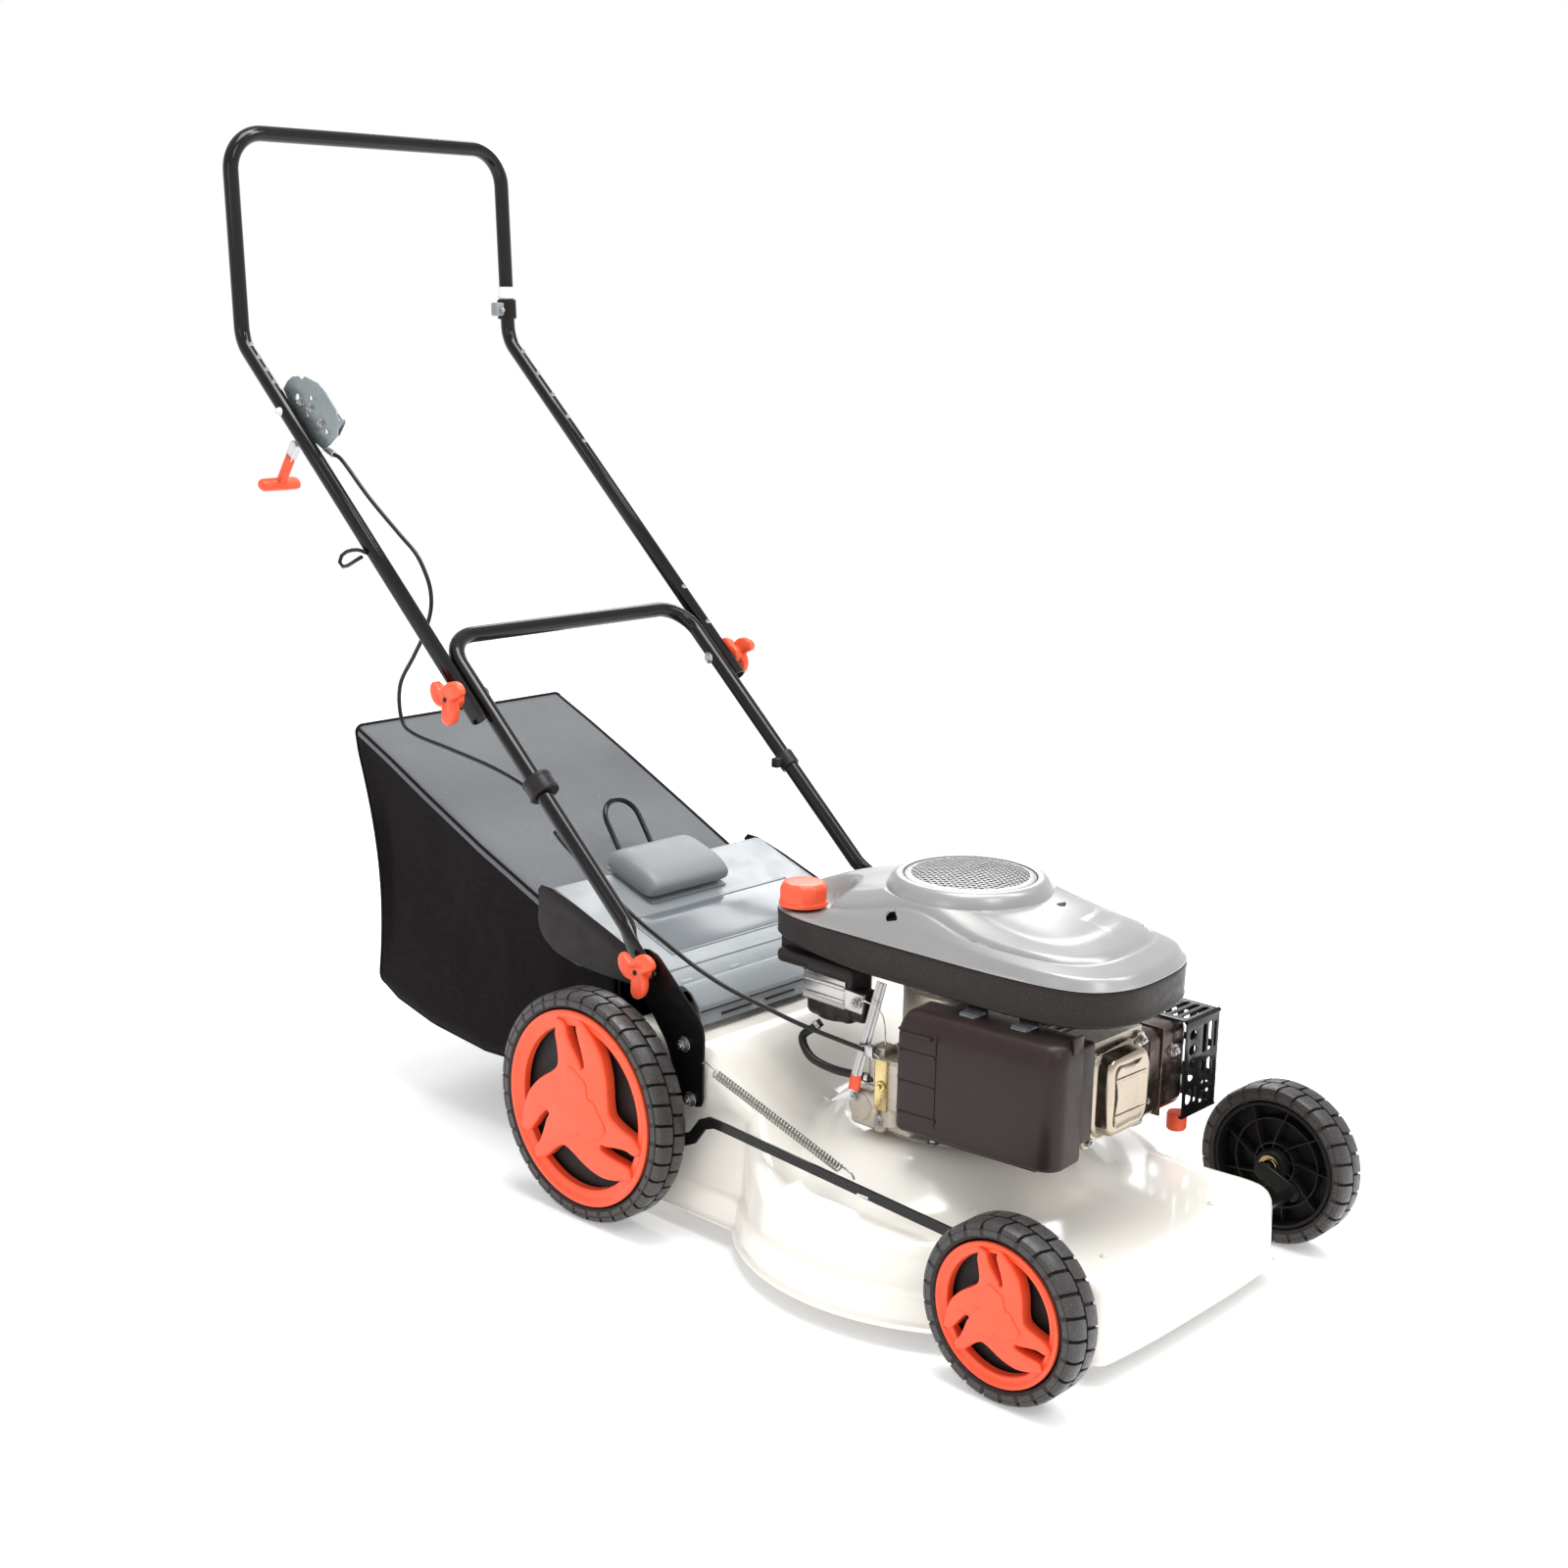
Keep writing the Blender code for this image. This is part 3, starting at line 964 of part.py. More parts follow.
def wheel_set(tag, x, y, z, radius, rim, parent_empty):
    """Tyre, wheel and cover; side is the outer side of this wheel."""
    side = -1 if x < 0 else 1
    w = TYRE_W / 2
    vertex = radius / math.cos(math.pi / TYRE_STEPS)
    thick = radius - rim
    ring = [(vertex - 0.004, w), (vertex, w - 0.006), (vertex, -w + 0.006), (vertex - 0.004, -w),
            (rim + 0.0006 + thick * 0.05, -w + 0.001), (rim + 0.0006, -w + 0.004),
            (rim + 0.0006, w - 0.004), (rim + 0.0006 + thick * 0.05, w - 0.001)]
    tyre = turned(tag + "_tyre", ring, RUBBER, (x, y, z), TYRE_STEPS, along_x=True, half_step=True)
    hub_out, hub_in = side * (w - 0.012), -side * (w + 0.002)
    lo, hi = min(hub_out, hub_in), max(hub_out, hub_in)
    if side > 0:
        ring = [(rim, w - 0.0045), (rim, -w + 0.0045), (rim - 0.006, -w + 0.0045), (rim - 0.007, 0.001),
                (0.0185, 0.001), (0.0165, -w - 0.002), (0.0066, -w - 0.002), (0.0066, 0.0100),
                (0.0165, 0.0100), (0.0185, 0.0050), (rim - 0.007, 0.0050), (rim - 0.006, w - 0.0045)]
    else:
        ring = [(rim, w - 0.0045), (rim, -w + 0.0045), (rim - 0.006, -w + 0.0045), (rim - 0.007, -0.0050),
                (0.0185, -0.0050), (0.0165, -0.0100), (0.0066, -0.0100), (0.0066, w + 0.002),
                (0.0165, w + 0.002), (0.0185, -0.001), (rim - 0.007, -0.001), (rim - 0.006, w - 0.0045)]
    wheel = turned(tag + "_wheel", ring, BLACK_PLASTIC, (x, y, z), 20, along_x=True, half_step=True)
    r = rim - 0.0010
    a, b = w - 0.0035, w + 0.0030
    if side > 0:
        profile = [(0.0, b - 0.001), (r * 0.80, b), (r, b - 0.0025), (r, a), (r - 0.008, a), (0.0, a)]
    else:
        profile = [(0.0, -a), (r - 0.008, -a), (r, -a), (r, -b + 0.0025), (r * 0.80, -b), (0.0, -b + 0.001)]
    cover = turned(tag + "_cover", profile, ORANGE, (x, y, z), 20, along_x=True, half_step=True)
    return tyre, wheel, cover


sets = {
    "rear_right": wheel_set("rear_right", -WHEEL_X, *REAR_SPINDLE, REAR_R, REAR_RIM, rear_axle_empty),
    "rear_left": wheel_set("rear_left", WHEEL_X, *REAR_SPINDLE, REAR_R, REAR_RIM, rear_axle_empty),
    "front_right": wheel_set("front_right", -WHEEL_X, *FRONT_SPINDLE, FRONT_R, FRONT_RIM, front_axle_empty),
    "front_left": wheel_set("front_left", WHEEL_X, *FRONT_SPINDLE, FRONT_R, FRONT_RIM, front_axle_empty),
}
hang(front_axle_empty, front_axle)
hang(rear_axle_empty, rear_axle, height_lever)

# ---------------------------------------------------------------- final placing
bpy.context.view_layer.update()
for obj in bpy.data.objects:
    if obj.parent is None:
        obj.matrix_world = Matrix.Translation((0, Y_SHIFT, 0)) @ obj.matrix_world
bpy.context.view_layer.update()
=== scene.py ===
import json
import math

import bmesh
import bpy
from mathutils import Matrix, Vector, noise

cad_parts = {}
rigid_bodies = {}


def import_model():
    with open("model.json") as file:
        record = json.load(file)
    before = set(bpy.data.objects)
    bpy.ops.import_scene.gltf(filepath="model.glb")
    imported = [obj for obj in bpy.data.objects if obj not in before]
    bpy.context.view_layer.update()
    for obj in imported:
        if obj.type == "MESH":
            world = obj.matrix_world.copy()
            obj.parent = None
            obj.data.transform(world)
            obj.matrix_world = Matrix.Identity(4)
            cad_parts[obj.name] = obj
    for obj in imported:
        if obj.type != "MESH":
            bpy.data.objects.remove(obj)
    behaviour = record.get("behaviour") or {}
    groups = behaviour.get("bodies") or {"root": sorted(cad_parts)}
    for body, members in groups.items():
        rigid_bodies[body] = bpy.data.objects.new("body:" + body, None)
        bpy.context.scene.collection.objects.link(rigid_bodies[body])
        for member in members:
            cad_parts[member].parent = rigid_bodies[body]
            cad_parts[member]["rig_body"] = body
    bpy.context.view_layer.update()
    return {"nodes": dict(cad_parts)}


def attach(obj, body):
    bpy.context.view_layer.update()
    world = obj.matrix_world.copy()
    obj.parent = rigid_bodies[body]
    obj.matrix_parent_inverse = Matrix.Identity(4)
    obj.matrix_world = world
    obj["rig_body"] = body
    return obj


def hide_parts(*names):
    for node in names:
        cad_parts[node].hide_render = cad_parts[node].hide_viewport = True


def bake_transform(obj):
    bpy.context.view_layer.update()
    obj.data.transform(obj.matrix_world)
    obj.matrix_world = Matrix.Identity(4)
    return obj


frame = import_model()
SHIFT = -0.015            # shapes are written with the rear axle at y = 0, and moved here
scene = bpy.context.scene
for junk in [o for o in bpy.data.objects if o.name in ("Cube", "Light", "Camera")]:
    bpy.data.objects.remove(junk, do_unlink=True)

# ------------------------------------------------------------------ camera, stage, light
cam_data = bpy.data.cameras.new("camera")
cam_data.sensor_width = 36.0
cam_data.lens = 49.487
cam_data.clip_end = 60.0
camera = bpy.data.objects.new("camera", cam_data)
scene.collection.objects.link(camera)
right = Vector((0.67892034, -0.73399562, 0.01782121))
down = Vector((-0.154272, -0.16634285, -0.97392516))
forward = Vector((0.71782123, 0.65846829, -0.22616851))
turn = Matrix((right, -down, -forward)).transposed().to_4x4()
camera.matrix_world = Matrix.Translation((-1.74867879, -1.67304645, 1.01246632)) @ turn
scene.camera = camera

world = bpy.data.worlds.new("studio")
world.use_nodes = True
scene.world = world
sky = world.node_tree
back = sky.nodes["Background"]
back.inputs["Strength"].default_value = 1.0
grad = sky.nodes.new("ShaderNodeTexGradient")
spot = sky.nodes.new("ShaderNodeTexCoord")
sepz = sky.nodes.new("ShaderNodeSeparateXYZ")
ramp = sky.nodes.new("ShaderNodeValToRGB")
sky.links.new(spot.outputs["Generated"], sepz.inputs[0])
sky.links.new(sepz.outputs["Z"], ramp.inputs["Fac"])
sky.nodes.remove(grad)
ramp.color_ramp.elements[0].position = 0.16
ramp.color_ramp.elements[0].color = (1.0, 1.0, 1.0, 1)
ramp.color_ramp.elements[1].position = 1.0
ramp.color_ramp.elements[1].color = (0.85, 0.86, 0.88, 1)
low = ramp.color_ramp.elements.new(0.38)
low.color = (0.66, 0.66, 0.67, 1)
sky.links.new(ramp.outputs["Color"], back.inputs["Color"])


def lamp(name, at, aim, size, power, colour=(1, 1, 1), size_y=None):
    data = bpy.data.lights.new(name, "AREA")
    data.energy = power
    data.color = colour
    data.size = size
    if size_y:
        data.shape = "RECTANGLE"
        data.size_y = size_y
    obj = bpy.data.objects.new(name, data)
    scene.collection.objects.link(obj)
    aim_dir = Vector(aim) - Vector(at)
    obj.matrix_world = Matrix.Translation(at) @ aim_dir.to_track_quat("-Z", "Y").to_matrix().to_4x4()
    return obj


lamp("top", (-0.1, -0.3, 3.6), (0, -0.1, 0.0), 1.6, 78, (1.0, 0.995, 0.98))
lamp("key", (-0.6, -3.0, 3.2), (0, -0.1, 0.3), 1.0, 20, (1.0, 0.99, 0.97))
lamp("side", (-3.2, -0.4, 1.9), (0, 0, 0.3), 0.9, 6, (1.0, 0.98, 0.97))
lamp("strip", (0.9, -1.2, 3.0), (0, 0, 0.5), 0.30, 36, (0.96, 0.98, 1.0), 2.4)
lamp("rim", (2.6, 1.8, 2.4), (0, 0, 0.4), 1.6, 40, (0.97, 0.98, 1.0))


# ------------------------------------------------------------------ materials
def lin(r, g, b):
    def one(c):
        c /= 255.0
        return c / 12.92 if c <= 0.04045 else ((c + 0.055) / 1.055) ** 2.4
    return (one(r), one(g), one(b))


def mat(name, colour, rough, metal=0.0, vary=0.08, scale=18.0, rvary=0.08, bump=0.15, bscale=700.0,
        bdist=0.0003, coat=0.0, coat_rough=0.06, sheen=0.0, stretch=None, speck=None, wave=None,
        spec=0.5):
    """Principled material: colour that drifts in patches, uneven roughness and a fine surface grain."""
    m = bpy.data.materials.new(name)
    m.use_nodes = True
    t = m.node_tree
    n, link = t.nodes, t.links.new
    p = n["Principled BSDF"]
    p.inputs["Metallic"].default_value = metal
    p.inputs["Coat Weight"].default_value = coat
    p.inputs["Coat Roughness"].default_value = coat_rough
    p.inputs["Sheen Weight"].default_value = sheen
    p.inputs["Specular IOR Level"].default_value = spec
    co = n.new("ShaderNodeTexCoord").outputs["Object"]
    if stretch:
        mp = n.new("ShaderNodeMapping")
        mp.inputs["Scale"].default_value = stretch
        link(co, mp.inputs["Vector"])
        co = mp.outputs["Vector"]
    big = n.new("ShaderNodeTexNoise")
    big.inputs["Scale"].default_value = scale
    big.inputs["Detail"].default_value = 5.0
    big.inputs["Roughness"].default_value = 0.6
    link(co, big.inputs["Vector"])
    mix = n.new("ShaderNodeMix")
    mix.data_type = "RGBA"
    mix.inputs["A"].default_value = (*[max(0.0, c * (1 - vary)) for c in colour], 1)
    mix.inputs["B"].default_value = (*[min(1.0, c * (1 + vary)) for c in colour], 1)
    link(big.outputs["Fac"], mix.inputs["Factor"])
    out = mix.outputs["Result"]
    fine = n.new("ShaderNodeTexNoise")
    fine.inputs["Scale"].default_value = bscale
    fine.inputs["Detail"].default_value = 3.0
    link(co, fine.inputs["Vector"])
    if speck:
        amount, shade, size = speck
        dots = n.new("ShaderNodeTexNoise")
        dots.inputs["Scale"].default_value = size
        dots.inputs["Detail"].default_value = 2.0
        link(co, dots.inputs["Vector"])
        cut = n.new("ShaderNodeMapRange")
        cut.inputs["From Min"].default_value = 0.62
        cut.inputs["From Max"].default_value = 0.74
        cut.inputs["To Max"].default_value = amount
        link(dots.outputs["Fac"], cut.inputs["Value"])
        over = n.new("ShaderNodeMix")
        over.data_type = "RGBA"
        over.inputs["B"].default_value = (*shade, 1)
        link(cut.outputs["Result"], over.inputs["Factor"])
        link(out, over.inputs["A"])
        out = over.outputs["Result"]
    link(out, p.inputs["Base Color"])
    rr = n.new("ShaderNodeMapRange")
    rr.inputs["From Min"].default_value = 0.3
    rr.inputs["From Max"].default_value = 0.7
    rr.inputs["To Min"].default_value = max(0.02, rough - rvary)
    rr.inputs["To Max"].default_value = min(1.0, rough + rvary)
    mid = n.new("ShaderNodeTexNoise")
    mid.inputs["Scale"].default_value = scale * 4
    mid.inputs["Detail"].default_value = 4.0
    link(co, mid.inputs["Vector"])
    link(mid.outputs["Fac"], rr.inputs["Value"])
    link(rr.outputs["Result"], p.inputs["Roughness"])
    height = fine.outputs["Fac"]
    if wave:
        w = n.new("ShaderNodeTexWave")
        w.wave_type = "BANDS"
        w.bands_direction = wave[0]
        w.inputs["Scale"].default_value = wave[1]
        link(co, w.inputs["Vector"])
        add = n.new("ShaderNodeMath")
        add.operation = "ADD"
        link(w.outputs["Fac"], add.inputs[0])
        link(height, add.inputs[1])
        height = add.outputs[0]
    bp = n.new("ShaderNodeBump")
    bp.inputs["Strength"].default_value = bump
    bp.inputs["Distance"].default_value = bdist
    link(height, bp.inputs["Height"])
    link(bp.outputs["Normal"], p.inputs["Normal"])
    return m


M = {
    "deck": mat("deck_enamel", (0.83, 0.80, 0.735), 0.22, vary=0.02, scale=6, rvary=0.05, bump=0.05,
                bscale=120, bdist=0.0006, coat=0.5, coat_rough=0.10,
                speck=(0.16, (0.66, 0.62, 0.56), 900)),
    "gloss": mat("gloss_black_paint", (0.006, 0.005, 0.0052), 0.13, vary=0.3, scale=25, rvary=0.03,
                 bump=0.03, bscale=260, bdist=0.0002, coat=0.10, coat_rough=0.05, spec=0.26,
                 speck=(0.10, (0.05, 0.045, 0.045), 1300)),
    "enamel": mat("black_enamel", (0.006, 0.0055, 0.0055), 0.20, vary=0.25, scale=30, rvary=0.05, bump=0.04,
                  bscale=320, coat=0.08, spec=0.24, speck=(0.12, (0.05, 0.05, 0.05), 1200)),
    "plastic": mat("black_plastic", (0.015, 0.012, 0.0115), 0.38, spec=0.24, vary=0.2, scale=22, rvary=0.07, bump=0.28,
                   bscale=1500, bdist=0.0002, speck=(0.35, (0.085, 0.08, 0.075), 1100)),
    "airbox": mat("airbox_plastic", (0.027, 0.0165, 0.0150), 0.34, spec=0.22, vary=0.2, scale=14, rvary=0.06, bump=0.30,
                  bscale=1300, bdist=0.0002, speck=(0.25, (0.09, 0.08, 0.075), 1000)),
    "skirt": mat("skirt_plastic", (0.020, 0.0150, 0.0135), 0.40, spec=0.20, vary=0.2, scale=30, rvary=0.08, bump=0.35,
                 bscale=1300, bdist=0.0002, speck=(0.5, (0.12, 0.115, 0.11), 800)),
    "grey": mat("grey_plastic", (0.225, 0.243, 0.255), 0.34, vary=0.10, scale=9, rvary=0.08, bump=0.20,
                bscale=1400, bdist=0.0002, speck=(0.25, (0.28, 0.29, 0.30), 900)),
    "grip": mat("grip_plastic", (0.190, 0.203, 0.210), 0.46, vary=0.12, scale=16, rvary=0.05, bump=0.40,
                bscale=900, bdist=0.0003),
    "dull": mat("dull_grey_plastic", (0.012, 0.0085, 0.0080), 0.46, spec=0.16, vary=0.15, scale=14, rvary=0.07, bump=0.25,
                bscale=1200, bdist=0.0002),
    "silver": mat("silver_plastic", (0.315, 0.315, 0.310), 0.33, metal=0.35, vary=0.05, scale=8, rvary=0.05,
                  bump=0.12, bscale=1800, bdist=0.00015, coat=0.25, coat_rough=0.2,
                  speck=(0.30, (0.46, 0.46, 0.46), 2200)),
    "screen": mat("screen_metal", (0.34, 0.335, 0.33), 0.34, metal=0.55, vary=0.12, scale=40, bump=0.1),
    "orange": mat("orange_plastic", (0.88, 0.098, 0.034), 0.34, vary=0.05, scale=12, rvary=0.06, bump=0.12,
                  bscale=1500, bdist=0.0002, coat=0.10, coat_rough=0.25, spec=0.35,
                  speck=(0.12, (0.62, 0.07, 0.03), 500)),
    "rubber": mat("tyre_rubber", (0.027, 0.021, 0.019), 0.55, spec=0.25, vary=0.22, scale=24, rvary=0.10, bump=0.45,
                  bscale=900, bdist=0.0004, speck=(0.45, (0.16, 0.145, 0.135), 420)),
    "tread": mat("tread_rubber", (0.040, 0.037, 0.036), 0.36, spec=0.42, vary=0.25, scale=40, rvary=0.12, bump=0.45,
                 bscale=800, bdist=0.0004, speck=(0.55, (0.20, 0.185, 0.17), 520)),
    "hose": mat("hose_rubber", (0.009, 0.0085, 0.0085), 0.30, spec=0.3, vary=0.2, scale=60, bump=0.2, bscale=900),
    "zinc": mat("zinc_plate", (0.45, 0.44, 0.43), 0.25, metal=0.92, vary=0.10, scale=22, rvary=0.04, bump=0.012,
                bscale=160, bdist=0.0002),
    "bracket": mat("zinc_bracket", (0.27, 0.31, 0.32), 0.34, metal=0.6, vary=0.18, scale=50, rvary=0.12,
                   bump=0.06, bscale=400, speck=(0.2, (0.12, 0.13, 0.13), 700)),
    "steel": mat("bright_steel", (0.50, 0.50, 0.49), 0.28, metal=1.0, vary=0.14, scale=60, rvary=0.12, bump=0.2,
                 bscale=900),
    "spring": mat("spring_steel", (0.36, 0.35, 0.33), 0.30, metal=0.9, vary=0.12, scale=90, bump=0.1),
    "cast": mat("cast_aluminium", (0.47, 0.42, 0.36), 0.42, metal=0.8, vary=0.22, scale=45, rvary=0.14,
                bump=0.65, bscale=480, bdist=0.0007, speck=(0.5, (0.16, 0.13, 0.11), 240)),
    "cover": mat("plated_cover", (0.43, 0.365, 0.29), 0.19, metal=1.0, vary=0.16, scale=26, rvary=0.07, bump=0.12,
                 bscale=220, bdist=0.0005, speck=(0.4, (0.22, 0.15, 0.11), 160)),
    "hot": mat("muffler_steel", (0.085, 0.060, 0.052), 0.24, metal=0.85, vary=0.45, scale=16, rvary=0.12,
               bump=0.2, bscale=300, bdist=0.0004, speck=(0.5, (0.34, 0.23, 0.17), 90)),
    "brass": mat("bearing_brass", (0.58, 0.46, 0.22), 0.26, metal=1.0, vary=0.12, scale=80),
    "pale": mat("pale_plastic", (0.70, 0.71, 0.71), 0.30, vary=0.1, scale=60, bump=0.1),
    # Near-black plastic for the wheel barrels, webs and hubs, the screen hub and an airbox clip part; also painted
    # shade in the knob holes, cowl slots, cowl gap and under the screen.
    "dark": mat("dark_plastic_and_painted_shade", (0.006, 0.0055, 0.0055), 0.50, spec=0.25, vary=0.2, scale=30, bump=0.1),
    "blade": mat("blade_steel", (0.34, 0.33, 0.32), 0.38, metal=0.95, vary=0.2, scale=30, rvary=0.12, bump=0.3,
                 bscale=500, stretch=(1, 8, 1)),
    "window": mat("flap_gloss", (0.120, 0.133, 0.143), 0.20, vary=0.06, scale=9, rvary=0.03, bump=0.03,
                  bscale=200, coat=0.15, coat_rough=0.10),
}


def cloth(name, colour, light, weave=1900.0, patch=5.0, rough=0.88, sheen=0.03, spec=0.06):
    """Woven cloth: two crossing thread waves, patchy fading and a little lint."""
    m = bpy.data.materials.new(name)
    m.use_nodes = True
    t = m.node_tree
    n, link = t.nodes, t.links.new
    p = n["Principled BSDF"]
    p.inputs["Sheen Weight"].default_value = sheen
    p.inputs["Sheen Roughness"].default_value = 0.45
    p.inputs["Specular IOR Level"].default_value = spec
    co = n.new("ShaderNodeTexCoord").outputs["Object"]
    waves = []
    for way in ("X", "DIAGONAL"):
        w = n.new("ShaderNodeTexWave")
        w.wave_type = "BANDS"
        w.bands_direction = way
        w.inputs["Scale"].default_value = weave / 6.0
        w.inputs["Distortion"].default_value = 0.6
        w.inputs["Detail"].default_value = 1.0
        link(co, w.inputs["Vector"])
        waves.append(w.outputs["Fac"])
    zw = n.new("ShaderNodeTexWave")
    zw.bands_direction = "Z"
    zw.inputs["Scale"].default_value = weave / 6.0
    zw.inputs["Distortion"].default_value = 0.6
    link(co, zw.inputs["Vector"])
    a = n.new("ShaderNodeMath")
    a.operation = "MULTIPLY"
    link(waves[0], a.inputs[0])
    link(zw.outputs["Fac"], a.inputs[1])
    b = n.new("ShaderNodeMath")
    b.operation = "ADD"
    link(a.outputs[0], b.inputs[0])
    link(waves[1], b.inputs[1])
    big = n.new("ShaderNodeTexNoise")
    big.inputs["Scale"].default_value = patch
    big.inputs["Detail"].default_value = 6.0
    link(co, big.inputs["Vector"])
    lint = n.new("ShaderNodeTexNoise")
    lint.inputs["Scale"].default_value = 420.0
    lint.inputs["Detail"].default_value = 2.0
    link(co, lint.inputs["Vector"])
    base = n.new("ShaderNodeMix")
    base.data_type = "RGBA"
    base.inputs["A"].default_value = (*[c * 0.72 for c in colour], 1)
    base.inputs["B"].default_value = (*[c * 1.35 for c in colour], 1)
    link(big.outputs["Fac"], base.inputs["Factor"])
    thread = n.new("ShaderNodeMix")
    thread.data_type = "RGBA"
    thread.inputs["B"].default_value = (*light, 1)
    cut = n.new("ShaderNodeMapRange")
    cut.inputs["From Min"].default_value = 0.9
    cut.inputs["From Max"].default_value = 1.8
    cut.inputs["To Max"].default_value = 0.42
    link(b.outputs[0], cut.inputs["Value"])
    link(cut.outputs["Result"], thread.inputs["Factor"])
    link(base.outputs["Result"], thread.inputs["A"])
    fluff = n.new("ShaderNodeMix")
    fluff.data_type = "RGBA"
    fluff.inputs["B"].default_value = (*[min(1, c * 1.8) for c in light], 1)
    lc = n.new("ShaderNodeMapRange")
    lc.inputs["From Min"].default_value = 0.66
    lc.inputs["From Max"].default_value = 0.78
    lc.inputs["To Max"].default_value = 0.5
    link(lint.outputs["Fac"], lc.inputs["Value"])
    link(lc.outputs["Result"], fluff.inputs["Factor"])
    link(thread.outputs["Result"], fluff.inputs["A"])
    link(fluff.outputs["Result"], p.inputs["Base Color"])
    rr = n.new("ShaderNodeMapRange")
    rr.inputs["To Min"].default_value = rough - 0.10
    rr.inputs["To Max"].default_value = rough + 0.08
    link(big.outputs["Fac"], rr.inputs["Value"])
    link(rr.outputs["Result"], p.inputs["Roughness"])
    bp = n.new("ShaderNodeBump")
    bp.inputs["Strength"].default_value = 0.55
    bp.inputs["Distance"].default_value = 0.0005
    link(b.outputs[0], bp.inputs["Height"])
    link(bp.outputs["Normal"], p.inputs["Normal"])
    return m


# The sides carry the cloth's own near-black. The top panel is the same cloth made far lighter: painted light falling on
# the top.
M["cloth_side"] = cloth("bag_cloth_side", (0.0095, 0.0075, 0.0080), (0.024, 0.020, 0.0215))
M["cloth_top_painted_light"] = cloth("bag_cloth_top", (0.135, 0.142, 0.150), (0.29, 0.30, 0.315), sheen=0.15, spec=0.2)
M["binding"] = cloth("bag_binding", (0.010, 0.0085, 0.009), (0.028, 0.025, 0.026), weave=3200.0)


# ------------------------------------------------------------------ mesh helpers
def finish(obj, material, smooth=35):
    obj.data.materials.clear()
    obj.data.materials.append(M[material] if isinstance(material, str) else material)
    obj.data.shade_smooth()
    if smooth < 180:
        obj.data.set_sharp_from_angle(angle=math.radians(smooth))
    return obj


def from_bm(name, bm, material, smooth=35, recalc=True):
    if recalc:
        bmesh.ops.recalc_face_normals(bm, faces=bm.faces)
    data = bpy.data.meshes.new(name)
    bm.to_mesh(data)
    bm.free()
    obj = bpy.data.objects.new(name, data)
    scene.collection.objects.link(obj)
    return finish(obj, material, smooth)


def loft(name, rings, material, smooth=35, wrap=False, caps=True):
    bm = bmesh.new()
    made = [[bm.verts.new(p) for p in ring] for ring in rings]
    n = len(made[0])
    pairs = list(zip(made, made[1:]))
    if wrap:
        pairs.append((made[-1], made[0]))
    for a, b in pairs:
        for i in range(n):
            j = (i + 1) % n
            bm.faces.new((a[i], a[j], b[j], b[i]))
    if not wrap and caps:
        bm.faces.new(made[0])
        bm.faces.new(list(reversed(made[-1])))
    return from_bm(name, bm, material, smooth)


AXES = {"X": Matrix(((0, 0, 1), (1, 0, 0), (0, 1, 0))), "Y": Matrix(((0, 1, 0), (0, 0, 1), (1, 0, 0))),
        "Z": Matrix.Identity(3)}


def lathe(name, profile, centre, material, axis="Z", steps=48, smooth=40, closed=True):
    """profile: (radius, height along the axis) points, turned round the axis through centre."""
    turn3 = AXES[axis]
    bm = bmesh.new()
    rings = []
    for r, h in profile:
        if r < 1e-6:
            rings.append([bm.verts.new(Vector(centre) + turn3 @ Vector((0, 0, h)))])
        else:
            rings.append([bm.verts.new(Vector(centre) + turn3 @ Vector(
                (r * math.cos(math.tau * k / steps), r * math.sin(math.tau * k / steps), h))) for k in range(steps)])
    pairs = list(zip(rings, rings[1:]))
    if closed:
        pairs.append((rings[-1], rings[0]))
    for a, b in pairs:
        if len(a) == 1 and len(b) == 1:
            continue
        for k in range(steps):
            j = (k + 1) % steps
            ring = [a[k % len(a)], a[j % len(a)], b[j % len(b)], b[k % len(b)]]
            ring = [v for i, v in enumerate(ring) if v not in ring[:i]]
            if len(ring) > 2:
                bm.faces.new(ring)
    return from_bm(name, bm, material, smooth)


def block(name, lo, hi, material, bevel=0.0, segments=2, smooth=35):
    bm = bmesh.new()
    bmesh.ops.create_cube(bm, size=1.0)
    size = Vector(hi) - Vector(lo)
    mid = (Vector(hi) + Vector(lo)) / 2
    for v in bm.verts:
        v.co = Vector((v.co.x * size.x, v.co.y * size.y, v.co.z * size.z)) + mid
    if bevel:
        bmesh.ops.bevel(bm, geom=list(bm.edges), offset=bevel, segments=segments, affect="EDGES", profile=0.5)
    return from_bm(name, bm, material, smooth)


def rod(name, p0, p1, r0, material, r1=None, sides=20, bevel=0.0):
    p0, p1 = Vector(p0), Vector(p1)
    r1 = r0 if r1 is None else r1
    axis = (p1 - p0)
    length = axis.length
    rot = axis.to_track_quat("Z", "Y").to_matrix()
    bm = bmesh.new()
    b = min(bevel, length * 0.45, r0 * 0.8, r1 * 0.8)
    stations = [(r0 - b, 0), (r0, b), (r1, length - b), (r1 - b, length)] if b else [(r0, 0), (r1, length)]
    rings = [[bm.verts.new(p0 + rot @ Vector((r * math.cos(math.tau * k / sides),
                                             r * math.sin(math.tau * k / sides), h))) for k in range(sides)]
             for r, h in stations]
    for a, c in zip(rings, rings[1:]):
        for k in range(sides):
            j = (k + 1) % sides
            bm.faces.new((a[k], a[j], c[j], c[k]))
    bm.faces.new(rings[0])
    bm.faces.new(list(reversed(rings[-1])))
    return from_bm(name, bm, material, 40)


